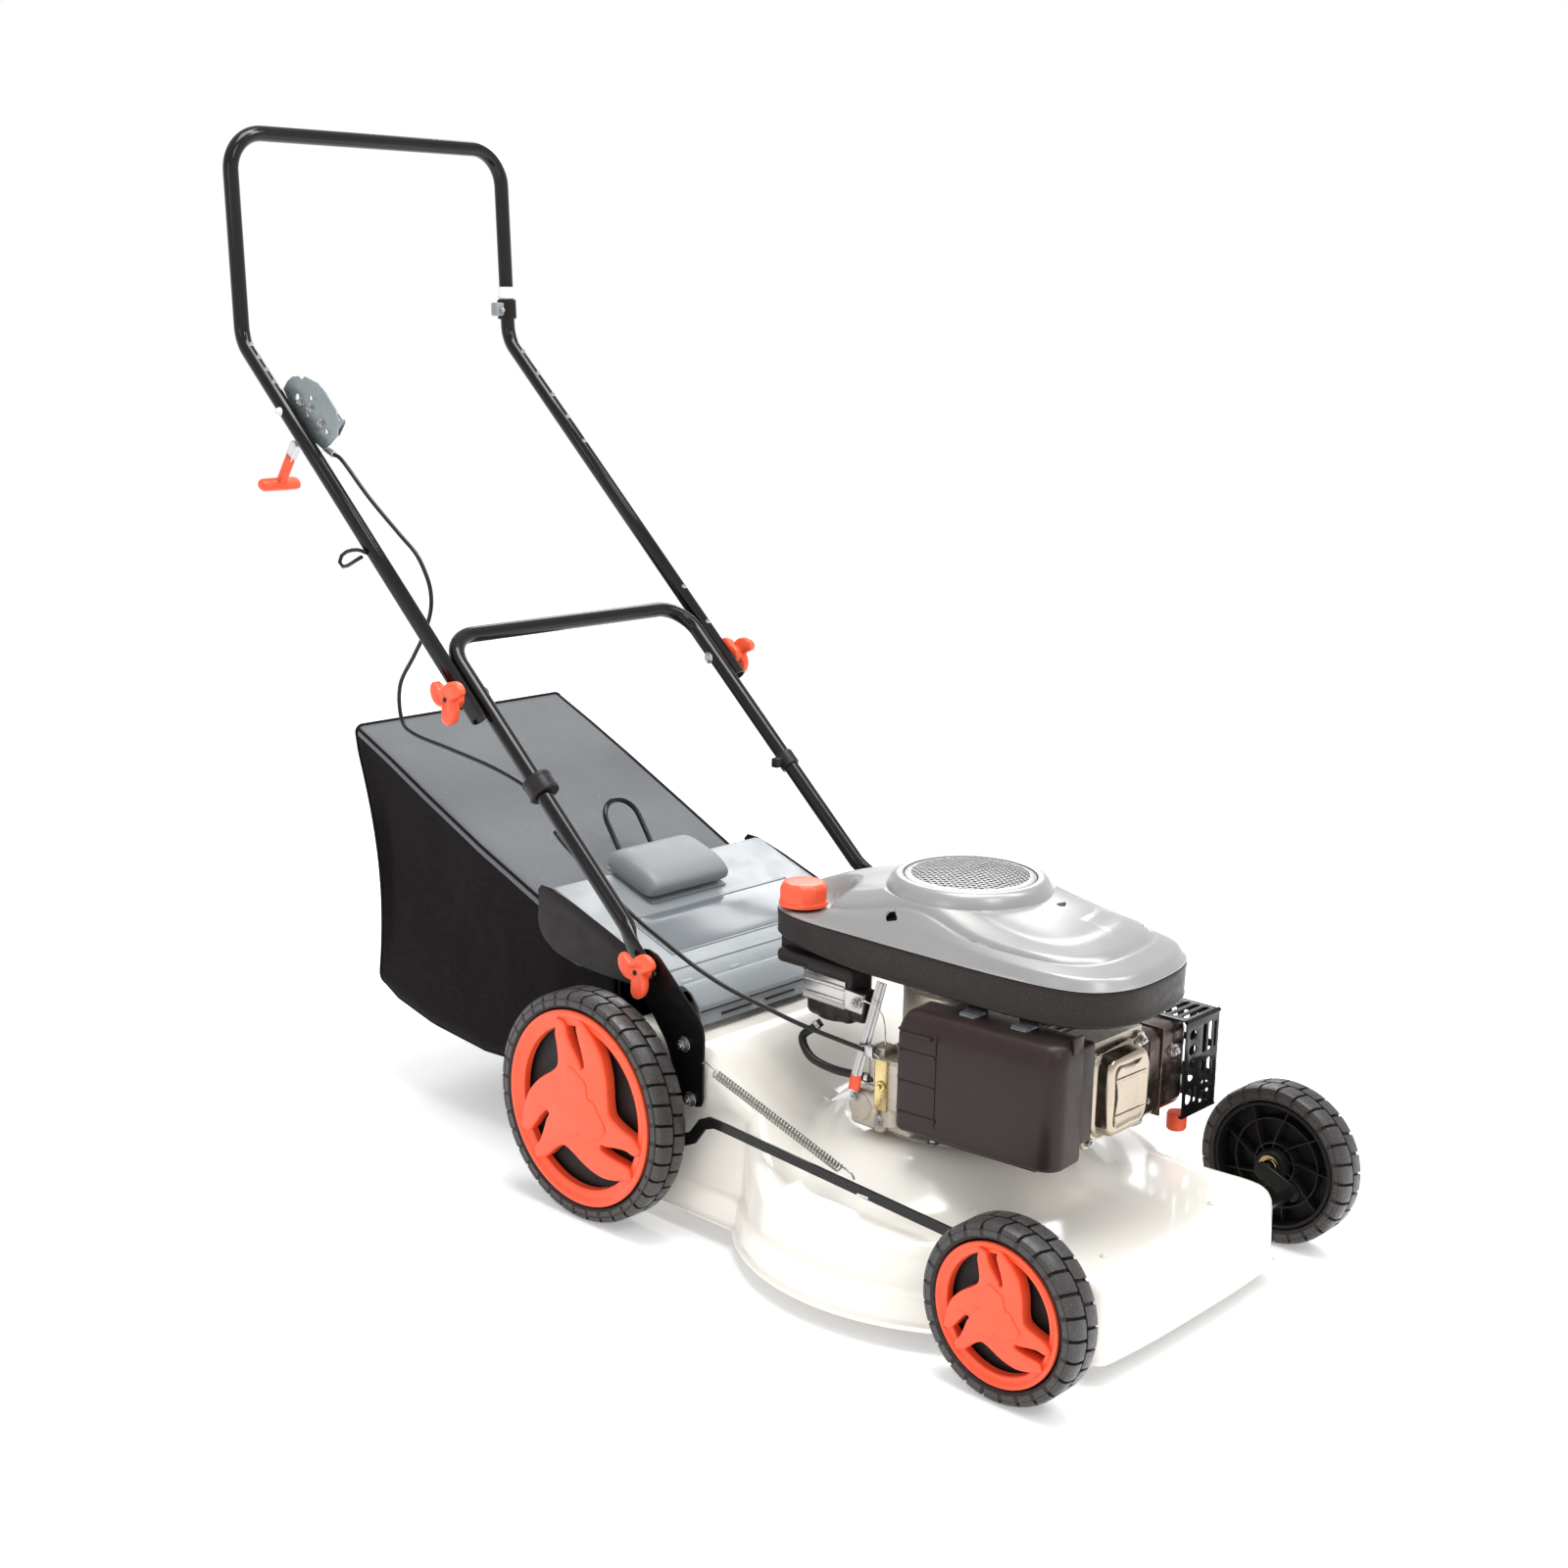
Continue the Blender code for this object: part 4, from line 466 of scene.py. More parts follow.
def wire(name, points, radius, material, sides=10, cyclic=False, smooth=180, caps=True):
    """A round wire swept along points, kept from twisting."""
    pts = [Vector(p) for p in points]
    bm = bmesh.new()
    rings = []
    n = len(pts)
    up = None
    for i, p in enumerate(pts):
        a = pts[i - 1] if (i or cyclic) else p
        b = pts[(i + 1) % n] if (i < n - 1 or cyclic) else p
        d = (b - a).normalized()
        if up is None:
            up = Vector((0, 0, 1)) if abs(d.z) < 0.9 else Vector((1, 0, 0))
        side = d.cross(up).normalized()
        up = side.cross(d).normalized()
        r = radius(i / (n - 1)) if callable(radius) else radius
        rings.append([bm.verts.new(p + (side * math.cos(math.tau * k / sides) + up * math.sin(math.tau * k / sides)) * r)
                      for k in range(sides)])
    pairs = list(zip(rings, rings[1:]))
    if cyclic:
        pairs.append((rings[-1], rings[0]))
    for a, b in pairs:
        for k in range(sides):
            j = (k + 1) % sides
            bm.faces.new((a[k], a[j], b[j], b[k]))
    if not cyclic and caps:
        bm.faces.new(rings[0])
        bm.faces.new(list(reversed(rings[-1])))
    return from_bm(name, bm, material, smooth)


def smooth_path(points, count):
    pts = [Vector(p) for p in points]
    pts = [2 * pts[0] - pts[1]] + pts + [2 * pts[-1] - pts[-2]]
    fine = []
    for i in range(1, len(pts) - 2):
        p0, p1, p2, p3 = pts[i - 1:i + 3]
        for k in range(20):
            t = k / 20
            fine.append(0.5 * (2 * p1 + (p2 - p0) * t + (2 * p0 - 5 * p1 + 4 * p2 - p3) * t * t
                               + (3 * p1 - p0 - 3 * p2 + p3) * t ** 3))
    fine.append(pts[-2])
    run = [0.0]
    for a, b in zip(fine, fine[1:]):
        run.append(run[-1] + (b - a).length)
    out, j = [], 0
    for k in range(count):
        want = run[-1] * k / (count - 1)
        while j < len(run) - 2 and run[j + 1] < want:
            j += 1
        span = run[j + 1] - run[j]
        out.append(fine[j].lerp(fine[j + 1], (want - run[j]) / span if span else 0.0))
    return out


def round_loop(points, per=6):
    """A closed smooth curve through 2D points; a point with a third value of 1 stays a sharp corner."""
    n = len(points)
    out = []
    for i in range(n):
        p0, p1, p2, p3 = (points[(i + k) % n] for k in (-1, 0, 1, 2))
        for k in range(per):
            t = k / per
            q = []
            for c in (0, 1):
                m1 = 0.0 if len(p1) > 2 else (p2[c] - p0[c]) * 0.5
                m2 = 0.0 if len(p2) > 2 else (p3[c] - p1[c]) * 0.5
                if len(p1) > 2:
                    m1 = (p2[c] - p1[c]) * 0.6
                if len(p2) > 2:
                    m2 = (p2[c] - p1[c]) * 0.6
                h = (2 * t ** 3 - 3 * t * t + 1) * p1[c] + (t ** 3 - 2 * t * t + t) * m1 \
                    + (-2 * t ** 3 + 3 * t * t) * p2[c] + (t ** 3 - t * t) * m2
                q.append(h)
            out.append(tuple(q))
    return out


def flat(name, outline, thickness, material, holes=(), bevel=0.0, place=None, smooth=35, res=2):
    """A flat plate from a 2D outline with holes, its middle plane at local z = 0, moved by a matrix."""
    data = bpy.data.curves.new(name, "CURVE")
    data.dimensions = "2D"
    data.fill_mode = "BOTH"
    data.extrude = max(1e-5, thickness / 2 - bevel)
    data.bevel_depth = bevel
    data.bevel_resolution = res
    data.offset = -bevel
    for loop in [outline, *holes]:
        spline = data.splines.new("POLY")
        spline.points.add(len(loop) - 1)
        for p, q in zip(spline.points, loop):
            p.co = (q[0], q[1], 0.0, 1.0)
        spline.use_cyclic_u = True
    obj = bpy.data.objects.new(name, data)
    scene.collection.objects.link(obj)
    bpy.context.view_layer.update()
    made = bpy.data.meshes.new_from_object(obj.evaluated_get(bpy.context.evaluated_depsgraph_get()))
    bpy.data.objects.remove(obj, do_unlink=True)
    bm = bmesh.new()
    bm.from_mesh(made)
    bpy.data.meshes.remove(made)
    bmesh.ops.remove_doubles(bm, verts=bm.verts, dist=0.00002)
    if place is not None:
        bm.transform(place)
    return from_bm(name, bm, material, smooth)


def ngon(cx, cy, r, n=24, start=0.0, sx=1.0):
    return [(cx + r * sx * math.cos(math.tau * k / n + start), cy + r * math.sin(math.tau * k / n + start))
            for k in range(n)]


def slot_hole(cx, cy, w, h, n=6):
    """A slot with round ends, w by h."""
    r = min(w, h) / 2
    out = []
    for sx, sy, a0 in ((1, 1, 0), (-1, 1, 90), (-1, -1, 180), (1, -1, 270)):
        for k in range(n + 1):
            a = math.radians(a0 + 90 * k / n)
            out.append((cx + sx * (w / 2 - r) + r * math.cos(a), cy + sy * (h / 2 - r) + r * math.sin(a)))
    return out


IN_YZ = Matrix(((0, 0, 1, 0), (1, 0, 0, 0), (0, 1, 0, 0), (0, 0, 0, 1)))   # local (x, y) -> world (y, z)
IN_XZ = Matrix(((1, 0, 0, 0), (0, 0, -1, 0), (0, 1, 0, 0), (0, 0, 0, 1)))  # local (x, y) -> world (x, z)


def at(x=0.0, y=0.0, z=0.0):
    return Matrix.Translation((x, y, z))


def join(name, objects, smooth=None):
    """One object from several, each face keeping its material."""
    mats, bm = [], bmesh.new()
    for o in objects:
        index = []
        for s in o.data.materials:
            if s not in mats:
                mats.append(s)
            index.append(mats.index(s))
        first = len(bm.faces)
        bm.from_mesh(o.data)
        bm.faces.ensure_lookup_table()
        for f in bm.faces[first:]:
            f.material_index = index[f.material_index] if index else 0
        bpy.data.objects.remove(o, do_unlink=True)
    data = bpy.data.meshes.new(name)
    bm.to_mesh(data)
    bm.free()
    for s in mats:
        data.materials.append(s)
    obj = bpy.data.objects.new(name, data)
    scene.collection.objects.link(obj)
    if smooth:
        data.shade_smooth()
        data.set_sharp_from_angle(angle=math.radians(smooth))
    return obj


def cut(obj, *tools):
    """Takes the tools' volumes out of obj, with the result applied."""
    for tool in tools:
        mod = obj.modifiers.new("cut", "BOOLEAN")
        mod.operation = "DIFFERENCE"
        mod.solver = "EXACT"
        mod.object = tool
        bpy.context.view_layer.update()
        made = bpy.data.meshes.new_from_object(obj.evaluated_get(bpy.context.evaluated_depsgraph_get()))
        obj.modifiers.clear()
        obj.data = made
        bpy.data.objects.remove(tool, do_unlink=True)
    return obj


def put(obj, body, *nodes, slot=None, shift=True):
    """Moves a finished piece into the shared frame, rides it on its body and hides what it stands for."""
    if shift:
        obj.data.transform(Matrix.Translation((0, SHIFT, 0)))
    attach(obj, body)
    if nodes:
        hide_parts(*nodes)
    return obj


def bevel(obj, width, segments=2, angle=30):
    mod = obj.modifiers.new("edges", "BEVEL")
    mod.width = width
    mod.segments = segments
    mod.limit_method = "ANGLE"
    mod.angle_limit = math.radians(angle)
    mod.harden_normals = False
    return obj


def dress(node, material, width=0.0, smooth=35, slot=None, segments=2, clean=True):
    """A visible copy of a CAD node with welded corners, clean faces and rounded edges."""
    src = frame["nodes"][node]
    bm = bmesh.new()
    bm.from_mesh(src.data)
    bmesh.ops.remove_doubles(bm, verts=bm.verts, dist=0.00002)
    if clean:
        bmesh.ops.dissolve_limit(bm, angle_limit=math.radians(0.6), verts=bm.verts, edges=bm.edges)
    obj = from_bm(node + "_look", bm, material, smooth, recalc=False)
    if width:
        bevel(obj, width, segments, 40)
    put(obj, src["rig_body"], node, slot=slot, shift=False)
    return obj


def ease(t):
    t = max(0.0, min(1.0, t))
    return t * t * (3 - 2 * t)


def hex_bolt(name, at_point, direction, r=0.0055, h=0.004, material="zinc", washer=True):
    """Hex head on a washer; at_point is where it sits, direction is outward."""
    p, d = Vector(at_point), Vector(direction).normalized()
    parts = []
    if washer:
        parts.append(rod(name + "_w", p, p + d * 0.0009, r * 1.45, material, sides=24, bevel=0.0002))
    parts.append(rod(name + "_h", p + d * 0.0008, p + d * h, r, material, sides=6, bevel=0.0006))
    parts.append(rod(name + "_n", p + d * (h - 0.0002), p + d * (h + 0.0022), r * 0.48, material, sides=14, bevel=0.0005))
    return join(name, parts)


# ------------------------------------------------------------------ wheels
TYRE_W = 0.043
WHEEL_X = 0.245
BLADE_EDGE = [(.480, -58), (.560, -50), (.690, -46), (.800, -44), (.945, -38.5, 1), (.880, -32.5), (.750, -31),
              (.620, -25.5), (.510, -16.5), (.450, -11.5), (.490, -7.5), (.610, -13), (.740, -18.5), (.860, -21),
              (.960, -17.0, 1), (.865, -8), (.800, 0), (.725, 10), (.625, 22), (.545, 34), (.490, 46)]


def blade_outline(scale, reach=1.0, per=4):
    loop = []
    for spoke in range(3):
        for item in BLADE_EDGE:
            r, a = item[0], math.radians(item[1] + 110 + 120 * spoke)
            q = (r * scale * reach * math.cos(a), r * scale * reach * math.sin(a))
            loop.append(q + (1,) if len(item) > 2 else q)
    return round_loop(loop, per)


def hub_outline(scale):
    """The raised middle, with a scalloped lobe toward each blade."""
    loop = []
    for k in range(72):
        a = math.tau * k / 72
        w = 3 * (a - math.radians(110 - 30))
        r = 0.335 + 0.085 * math.cos(w) + 0.020 * math.cos(3 * w + 0.8)
        loop.append((r * scale * math.cos(a), r * scale * math.sin(a)))
    return loop


def crowned(obj, x_mid, y, z, side, radius, rise):
    """Domes a flat wheel piece toward its middle."""
    for v in obj.data.vertices:
        d = math.hypot(v.co.y - y, v.co.z - z) / radius
        v.co.x += side * rise * (1 - d * d)
    return obj


def wheel(tag, x, y, z, radius, rim):
    side = -1 if x < 0 else 1
    w = TYRE_W / 2
    body = tag + "_wheel"
    c = (x, y, z)
    # Tyre: carcass and two staggered rows of lugs that wrap over the shoulders.
    base = radius - 0.0052 * radius / 0.13 - 0.0006
    thick = radius - rim
    prof = [(base - 0.0045, w - 0.0016), (base - 0.0010, w - 0.0055), (base, 0.0015), (base, -0.0015),
            (base - 0.0010, -w + 0.0055), (base - 0.0045, -w + 0.0016), (rim + thick * 0.62, -w + 0.0002),
            (rim + thick * 0.30, -w + 0.0004), (rim + thick * 0.12, -w + 0.0012), (rim + 0.0005, -w + 0.0042),
            (rim + 0.0005, w - 0.0042), (rim + thick * 0.12, w - 0.0012), (rim + thick * 0.30, w - 0.0004),
            (rim + thick * 0.62, w - 0.0002)]
    carcass = lathe(tag + "_carcass", [(r, h) for r, h in prof], c, "rubber", "X", 96, 50)
    count = 36 if radius > 0.1 else 25
    bm = bmesh.new()
    pitch = math.tau / count
    top = radius - 0.0002
    for row in (-1, 1):
        for k in range(count):
            mid = (k + (0.5 if row > 0 else 0.0)) * pitch
            tilt = 0.07 * pitch * row
            cols = []
            # Across the tread, from the middle line over the shoulder and down the wall.
            steps = [(0.0012, top - 0.0004, base - 0.003), (0.0045, top, base - 0.003), (w - 0.0065, top - 0.0001, base - 0.003),
                     (w - 0.0022, top - 0.0022, base - 0.006), (w - 0.0001, base - 0.0035, base - 0.0065),
                     (w - 0.0001, base - 0.0085, base - 0.0088)]
            for i, (ax, r_hi, r_lo) in enumerate(steps):
                half = pitch * (0.425 if i < 4 else 0.39)
                if i == 0:
                    half = pitch * 0.40
                arc = []
                for s in (-1.0, -0.34, 0.34, 1.0):
                    a = mid + s * half + tilt * (ax / w) * 3
                    arc.append((a, r_hi, r_lo, ax * row))
                cols.append(arc)
            hi, lo = [], []
            for arc in cols:
                hi.append([bm.verts.new((x + ax, y + r * math.cos(a), z + r * math.sin(a))) for a, r, _, ax in arc])
                inset = 0.0
                lo.append([bm.verts.new((x + ax * (0.93 if i else 1), y + r * math.cos(a), z + r * math.sin(a)))
                           for a, _, r, ax in arc])
            for i in range(len(cols) - 1):
                for j in range(3):
                    bm.faces.new((hi[i][j], hi[i][j + 1], hi[i + 1][j + 1], hi[i + 1][j]))
                for j in (0, 3):
                    bm.faces.new((hi[i][j], hi[i + 1][j], lo[i + 1][j], lo[i][j]))
            for i in (0, len(cols) - 1):
                for j in range(3):
                    bm.faces.new((hi[i][j], hi[i][j + 1], lo[i][j + 1], lo[i][j]))
    lugs = from_bm(tag + "_lugs", bm, "tread", 28)
    put(join(tag + "_tyre_look", [carcass, lugs]), body, tag + "_tyre", slot="tyre_rubber")

    # Wheel: barrel, web, two ring walls and curved ribs on the inner side, hub tube with its bearing.
    inn = -side
    parts = [lathe(tag + "_barrel", [(rim - 0.0004, -w + 0.0040), (rim - 0.0004, w - 0.0040), (rim - 0.0016, w - 0.0030),
                                     (rim - 0.0045, w - 0.0034), (rim - 0.0052, w - 0.0060), (rim - 0.0052, -w + 0.0060),
                                     (rim - 0.0045, -w + 0.0034), (rim - 0.0016, -w + 0.0030)], c, "dark", "X", 72, 40),
             lathe(tag + "_web", [(rim - 0.004, side * 0.0050 - 0.0012), (rim - 0.004, side * 0.0050 + 0.0012),
                                  (0.014, side * 0.0050 + 0.0012), (0.014, side * 0.0050 - 0.0012)], c, "dark", "X", 72, 40),
             lathe(tag + "_hub", [(0.0078, -w - 0.0012), (0.0165, -w - 0.0012), (0.0182, -w + 0.002), (0.0182, 0.009 * 1),
                                  (0.0165, 0.0100), (0.0078, 0.0100)] if side > 0 else
                   [(0.0078, w + 0.0012), (0.0165, w + 0.0012), (0.0182, w - 0.002), (0.0182, -0.009),
                    (0.0165, -0.0100), (0.0078, -0.0100)], c, "dark", "X", 40, 40)]
    for k_r, depth in ((0.70, 0.0130), (0.33, 0.0170)):
        r0 = rim * k_r
        a0, a1 = side * 0.0050, side * 0.0050 + inn * depth
        parts.append(lathe(tag + "_ring", [(r0 - 0.0010, a0), (r0 - 0.0008, a1), (r0 + 0.0008, a1), (r0 + 0.0010, a0)],
                           c, "plastic", "X", 64, 40))
    ribs = 9
    for k in range(ribs):
        bm = bmesh.new()
        path = []
        for s in range(9):
            t = s / 8
            r = 0.0175 + (rim - 0.0060 - 0.0175) * t
            a = math.tau * k / ribs + 0.34 * math.sin(math.pi * 0.5 * t) * side
            path.append((r, a))
        rows = []
        for i, (r, a) in enumerate(path):
            ring = []
            for off, depth in ((-0.0010, 0.0), (-0.0007, 1.0), (0.0007, 1.0), (0.0010, 0.0)):
                deep = (0.0175 - 0.0050 * (i / 8)) * depth
                ring.append(bm.verts.new((x + side * 0.0050 + inn * deep,
                                          y + r * math.cos(a) - off * math.sin(a), z + r * math.sin(a) + off * math.cos(a))))
            rows.append(ring)
        for p, q in zip(rows, rows[1:]):
            for j in range(4):
                bm.faces.new((p[j], p[(j + 1) % 4], q[(j + 1) % 4], q[j]))
        bm.faces.new(rows[0])
        bm.faces.new(rows[-1])
        parts.append(from_bm(tag + "_rib", bm, "plastic", 30))
    face = x + inn * (w + 0.0013)
    parts.append(lathe(tag + "_bearing", [(0.0078, -0.0012), (0.0125, -0.0012), (0.0125, 0.0008), (0.0105, 0.0012),
                                          (0.0100, 0.0004), (0.0085, 0.0004), (0.0078, 0.0010)] if side < 0 else
                       [(0.0078, 0.0012), (0.0125, 0.0012), (0.0125, -0.0008), (0.0105, -0.0012),
                        (0.0100, -0.0004), (0.0085, -0.0004), (0.0078, -0.0010)], (face - inn * 0.0004, y, z), "brass", "X", 40, 40))
    put(join(tag + "_wheel_look", parts), body, tag + "_wheel", slot="black_plastic")

    # Cover: plain rim ring under a three-armed blade with forked tails.
    r = rim - 0.0010
    a, b = w - 0.0035, w + 0.0030
    ring = [(r, a), (r, b - 0.0034), (r - 0.0012, b - 0.0022), (r * 0.972, b - 0.0018), (r * 0.955, b - 0.0022),
            (r * 0.935, b - 0.0036), (r * 0.915, b - 0.0050), (r * 0.890, b - 0.0058), (r * 0.850, b - 0.0064),
            (r * 0.836, b - 0.0076), (r * 0.828, b - 0.0150), (r * 0.845, b - 0.0150), (r * 0.860, a)]
    rim_ring = lathe(tag + "_rim", [(p, side * q) for p, q in ring], c, "orange", "X", 96, 35)
    sign = 1 if side < 0 else -1
    place = at(x + side * (b - 0.0098), y, z) @ IN_YZ
    arms = flat(tag + "_arms", [(sign * p * (1 if side < 0 else 1), q) for p, q in blade_outline(r * 0.99)], 0.0150, "orange",
                bevel=0.0026 if radius > 0.1 else 0.0019, place=place, smooth=50, res=3)
    crowned(arms, x, y, z, side, r, 0.0010)
    mid = flat(tag + "_mid", [(sign * p, q) for p, q in hub_outline(r)], 0.0030, "orange", bevel=0.0010,
               place=at(x + side * (b - 0.0026), y, z) @ IN_YZ, smooth=50, res=3)
    crowned(mid, x, y, z, side, r, 0.0010)
    for o in (arms, mid):       # nothing stands proud of the wheel
        for v in o.data.vertices:
            limit = x + side * (b - 0.0002)
            v.co.x = max(v.co.x, limit) if side < 0 else min(v.co.x, limit)
    put(join(tag + "_cover_look", [rim_ring, arms, mid]), body, tag + "_cover", slot="orange_plastic")


for tag, sx, y, z, radius, rim in (("rear_right", -1, 0.0, 0.130, 0.130, 0.1115), ("rear_left", 1, 0.0, 0.130, 0.130, 0.1115),
                                   ("front_right", -1, -0.574, 0.089, 0.089, 0.0715), ("front_left", 1, -0.574, 0.089, 0.089, 0.0715)):
    wheel(tag, sx * WHEEL_X, y, z, radius, rim)

# ------------------------------------------------------------------ deck
ENG_X, ENG_Y = -0.025, -0.342
DECK_TOP, DECK_REAR_TOP, ENGINE_SEAT, DECK_R = 0.105, 0.214, 0.156, 0.238
DECK_REAR_HALF, DECK_REAR_Y, DECK_FRONT_Y = 0.196, 0.020, -0.633
DECK_FRONT_NEAR, DECK_FRONT_FAR, LIP_Z = -0.178, 0.160, 0.022


def deck_height(x, y):
    front = 0.012 * ease((-0.46 - y) / 0.16)
    rear = (DECK_REAR_TOP - DECK_TOP) * ease((y + 0.29) / 0.20)
    reach = math.hypot(x + 0.026, y + 0.325)
    raised = DECK_TOP + (ENGINE_SEAT - DECK_TOP) * ease((0.194 - reach) / 0.086)
    a, b = DECK_TOP - front + rear, raised
    # Soft blend where the raised round meets the slope.
    k = 0.006
    h = max(k - abs(a - b), 0.0) / k
    return max(a, b) + h * h * k * 0.25


def ray_box(dx, dy, x0, x1, y0, y1):
    reach = 9.0
    if abs(dx) > 1e-9:
        reach = min(reach, ((x1 if dx > 0 else x0) - ENG_X) / dx)
    if abs(dy) > 1e-9:
        reach = min(reach, ((y1 if dy > 0 else y0) - ENG_Y) / dy)
    return reach


def deck_reach(angle):
    dx, dy = math.cos(angle), math.sin(angle)
    reach = DECK_R
    r = ray_box(dx, dy, DECK_FRONT_NEAR, DECK_FRONT_FAR, DECK_FRONT_Y, ENG_Y + 0.05)
    if dy < 0:
        x = ENG_X + dx * r
        r -= 0.35 * max(0.0, abs(x + 0.01) - 0.04) ** 2 * 1.2
        return max(reach, r)
    return max(reach, ray_box(dx, dy, -DECK_REAR_HALF, DECK_REAR_HALF, ENG_Y - 0.05, DECK_REAR_Y))


N_DECK = 360
angles = [math.tau * k / N_DECK for k in range(N_DECK)]
raw = [deck_reach(a) for a in angles]
for _ in range(5):                      # rounds the corners of the plan
    raw = [min(raw[k], (raw[k - 1] + 2 * raw[k] + raw[(k + 1) % N_DECK]) / 4 + 0.0) for k in range(N_DECK)]
frontness = []
for a, r in zip(angles, raw):
    x, y = ENG_X + math.cos(a) * r, ENG_Y + math.sin(a) * r
    frontness.append(ease((-0.575 - y) / 0.045) if abs(x) < 0.20 else 0.0)
levels = []
for kind in range(15):
    ring = []
    for a, r, f in zip(angles, raw, frontness):
        x0, y0 = ENG_X + math.cos(a) * (r - 0.028), ENG_Y + math.sin(a) * (r - 0.028)
        h = deck_height(x0, y0)
        low = max(0.0625, h - 0.022)
        table = [(-0.0060, LIP_Z + 0.0004), (-0.0035, LIP_Z + 0.0012), (-0.0012, LIP_Z + 0.0030), (0.0, LIP_Z + 0.0065),
                 (0.0, 0.0500), (0.0006, 0.0530), (0.0022, 0.0555), (0.0050, 0.0575), (0.0072, 0.0600),
                 (0.0084, low), (0.0092, h - 0.0150), (0.0118, h - 0.0085), (0.0160, h - 0.0040), (0.0215, h - 0.0012),
                 (0.0280, h)]
        smooth_front = [(-0.0045, LIP_Z + 0.0004), (-0.0028, LIP_Z + 0.0016), (-0.0010, LIP_Z + 0.0036), (0.0, LIP_Z + 0.0068),
                        (0.0008, 0.0400), (0.0010, 0.0460), (0.0012, 0.0520), (0.0014, 0.0580), (0.0018, 0.0640),
                        (0.0024, h - 0.0220), (0.0040, h - 0.0140), (0.0075, h - 0.0075), (0.0130, h - 0.0030),
                        (0.0200, h - 0.0008), (0.0280, h)]
        i1, z1 = table[kind]
        i2, z2 = smooth_front[kind]
        inset, z = i1 + (i2 - i1) * f, z1 + (z2 - z1) * f
        ring.append((ENG_X + math.cos(a) * (r - inset), ENG_Y + math.sin(a) * (r - inset), z))
    levels.append(ring)
outer = levels[-1]
for step in range(1, 27):
    t = step / 26
    ring = []
    for (x, y, _), a in zip(outer, angles):
        r = math.hypot(x - ENG_X, y - ENG_Y)
        q = r + (0.030 - r) * t
        px, py = ENG_X + math.cos(a) * q, ENG_Y + math.sin(a) * q
        ring.append((px, py, ENGINE_SEAT if q < 0.104 else deck_height(px, py)))
    levels.append(ring)
deck = loft("deck_shell", levels, "deck", smooth=45, caps=False)
if deck.data.polygons[0].normal.dot(Vector((deck.data.polygons[0].center.x - ENG_X,
                                            deck.data.polygons[0].center.y - ENG_Y, 0))) < 0:
    deck.data.flip_normals()
sheet = deck.modifiers.new("sheet", "SOLIDIFY")
sheet.thickness = 0.0018
sheet.offset = -1.0
bpy.context.view_layer.update()
solid = bpy.data.meshes.new_from_object(deck.evaluated_get(bpy.context.evaluated_depsgraph_get()))
deck.modifiers.clear()
deck.data = solid
cut(deck, block("cut_chute", (-0.155, -0.035, 0.118), (0.155, 0.06, 0.198), "deck"),
    rod("cut_slot", (-0.215, -0.082, 0.186), (-0.135, -0.082, 0.1905), 0.0035, "deck", sides=12))
finish(deck, "deck", 40)
parts = [deck]
for side in (-1, 1):
    parts.append(block("lug", (side * 0.168 - 0.0025, 0.0124, 0.092), (side * 0.168 + 0.0025, 0.048, 0.130), "deck", 0.0010))
# Folded lip round the chute.
for lo, hi in (((-0.157, 0.0185, 0.1165), (0.157, 0.0215, 0.1190)), ((-0.157, 0.0185, 0.1970), (0.157, 0.0215, 0.1990))):
    parts.append(block("hem", lo, hi, "deck", 0.0008))
put(join("deck_look", parts), "chassis", "deck", slot="deck_paint")
# Pressed ring round the engine seat and its bolts.
seat = lathe("seat_ring", [(0.1000, 0.1563), (0.0990, 0.1571), (0.0930, 0.1571), (0.0920, 0.1563)], (ENG_X, ENG_Y, 0), "deck", "Z", 96)
put(seat, "chassis", slot="deck_paint")
for k, a in enumerate((0.6, 2.0, 3.5, 5.3)):
    put(hex_bolt("seat_bolt_%d" % k, (ENG_X + 0.0965 * math.cos(a), ENG_Y + 0.0965 * math.sin(a), 0.1570), (0, 0, 1),
                 0.0050, 0.0045, "zinc"), "chassis", slot="zinc")
for k, (x, y) in enumerate(((-0.141, -0.452), (-0.120, -0.592), (0.060, -0.600))):
    h = deck_height(x, y)
    put(hex_bolt("deck_stud_%d" % k, (x, y, h - 0.0006), (0, 0, 1), 0.0034, 0.0022, "deck", washer=False), "chassis",
        slot="deck_paint")

# ------------------------------------------------------------------ shroud
SHROUD = [(-0.1345, -0.240), (-0.1360, -0.330), (-0.1355, -0.430), (-0.1300, -0.520),
          (-0.1190, -0.566), (-0.0980, -0.581), (-0.0550, -0.583), (0.0000, -0.579), (0.0460, -0.571),
          (0.0680, -0.556), (0.0780, -0.520), (0.0840, -0.430), (0.0850, -0.330), (0.0830, -0.240),
          (0.0760, -0.175), (0.0520, -0.139), (0.0000, -0.127), (-0.0600, -0.128), (-0.1080, -0.139),
          (-0.1260, -0.155), (-0.1330, -0.190)]
CAP_AT = (-0.1005, -0.1775)
COLLAR = 0.0870


def reach_in(angle, outline):
    dx, dy = math.cos(angle), math.sin(angle)
    best = 0.0
    for (x0, y0), (x1, y1) in zip(outline, outline[1:] + outline[:1]):
        ex, ey = x1 - x0, y1 - y0
        cross = dx * ey - dy * ex
        if abs(cross) < 1e-12:
            continue
        t = ((x0 - ENG_X) * ey - (y0 - ENG_Y) * ex) / cross
        u = ((x0 - ENG_X) * dy - (y0 - ENG_Y) * dx) / cross
        if t > 0 and -1e-9 <= u <= 1 + 1e-9:
            best = max(best, t)
    return best


N_S = 180
coarse = [math.tau * (k + 0.5) / 30 for k in range(30)]
coarse_reach = [reach_in(a, SHROUD) for a in coarse]


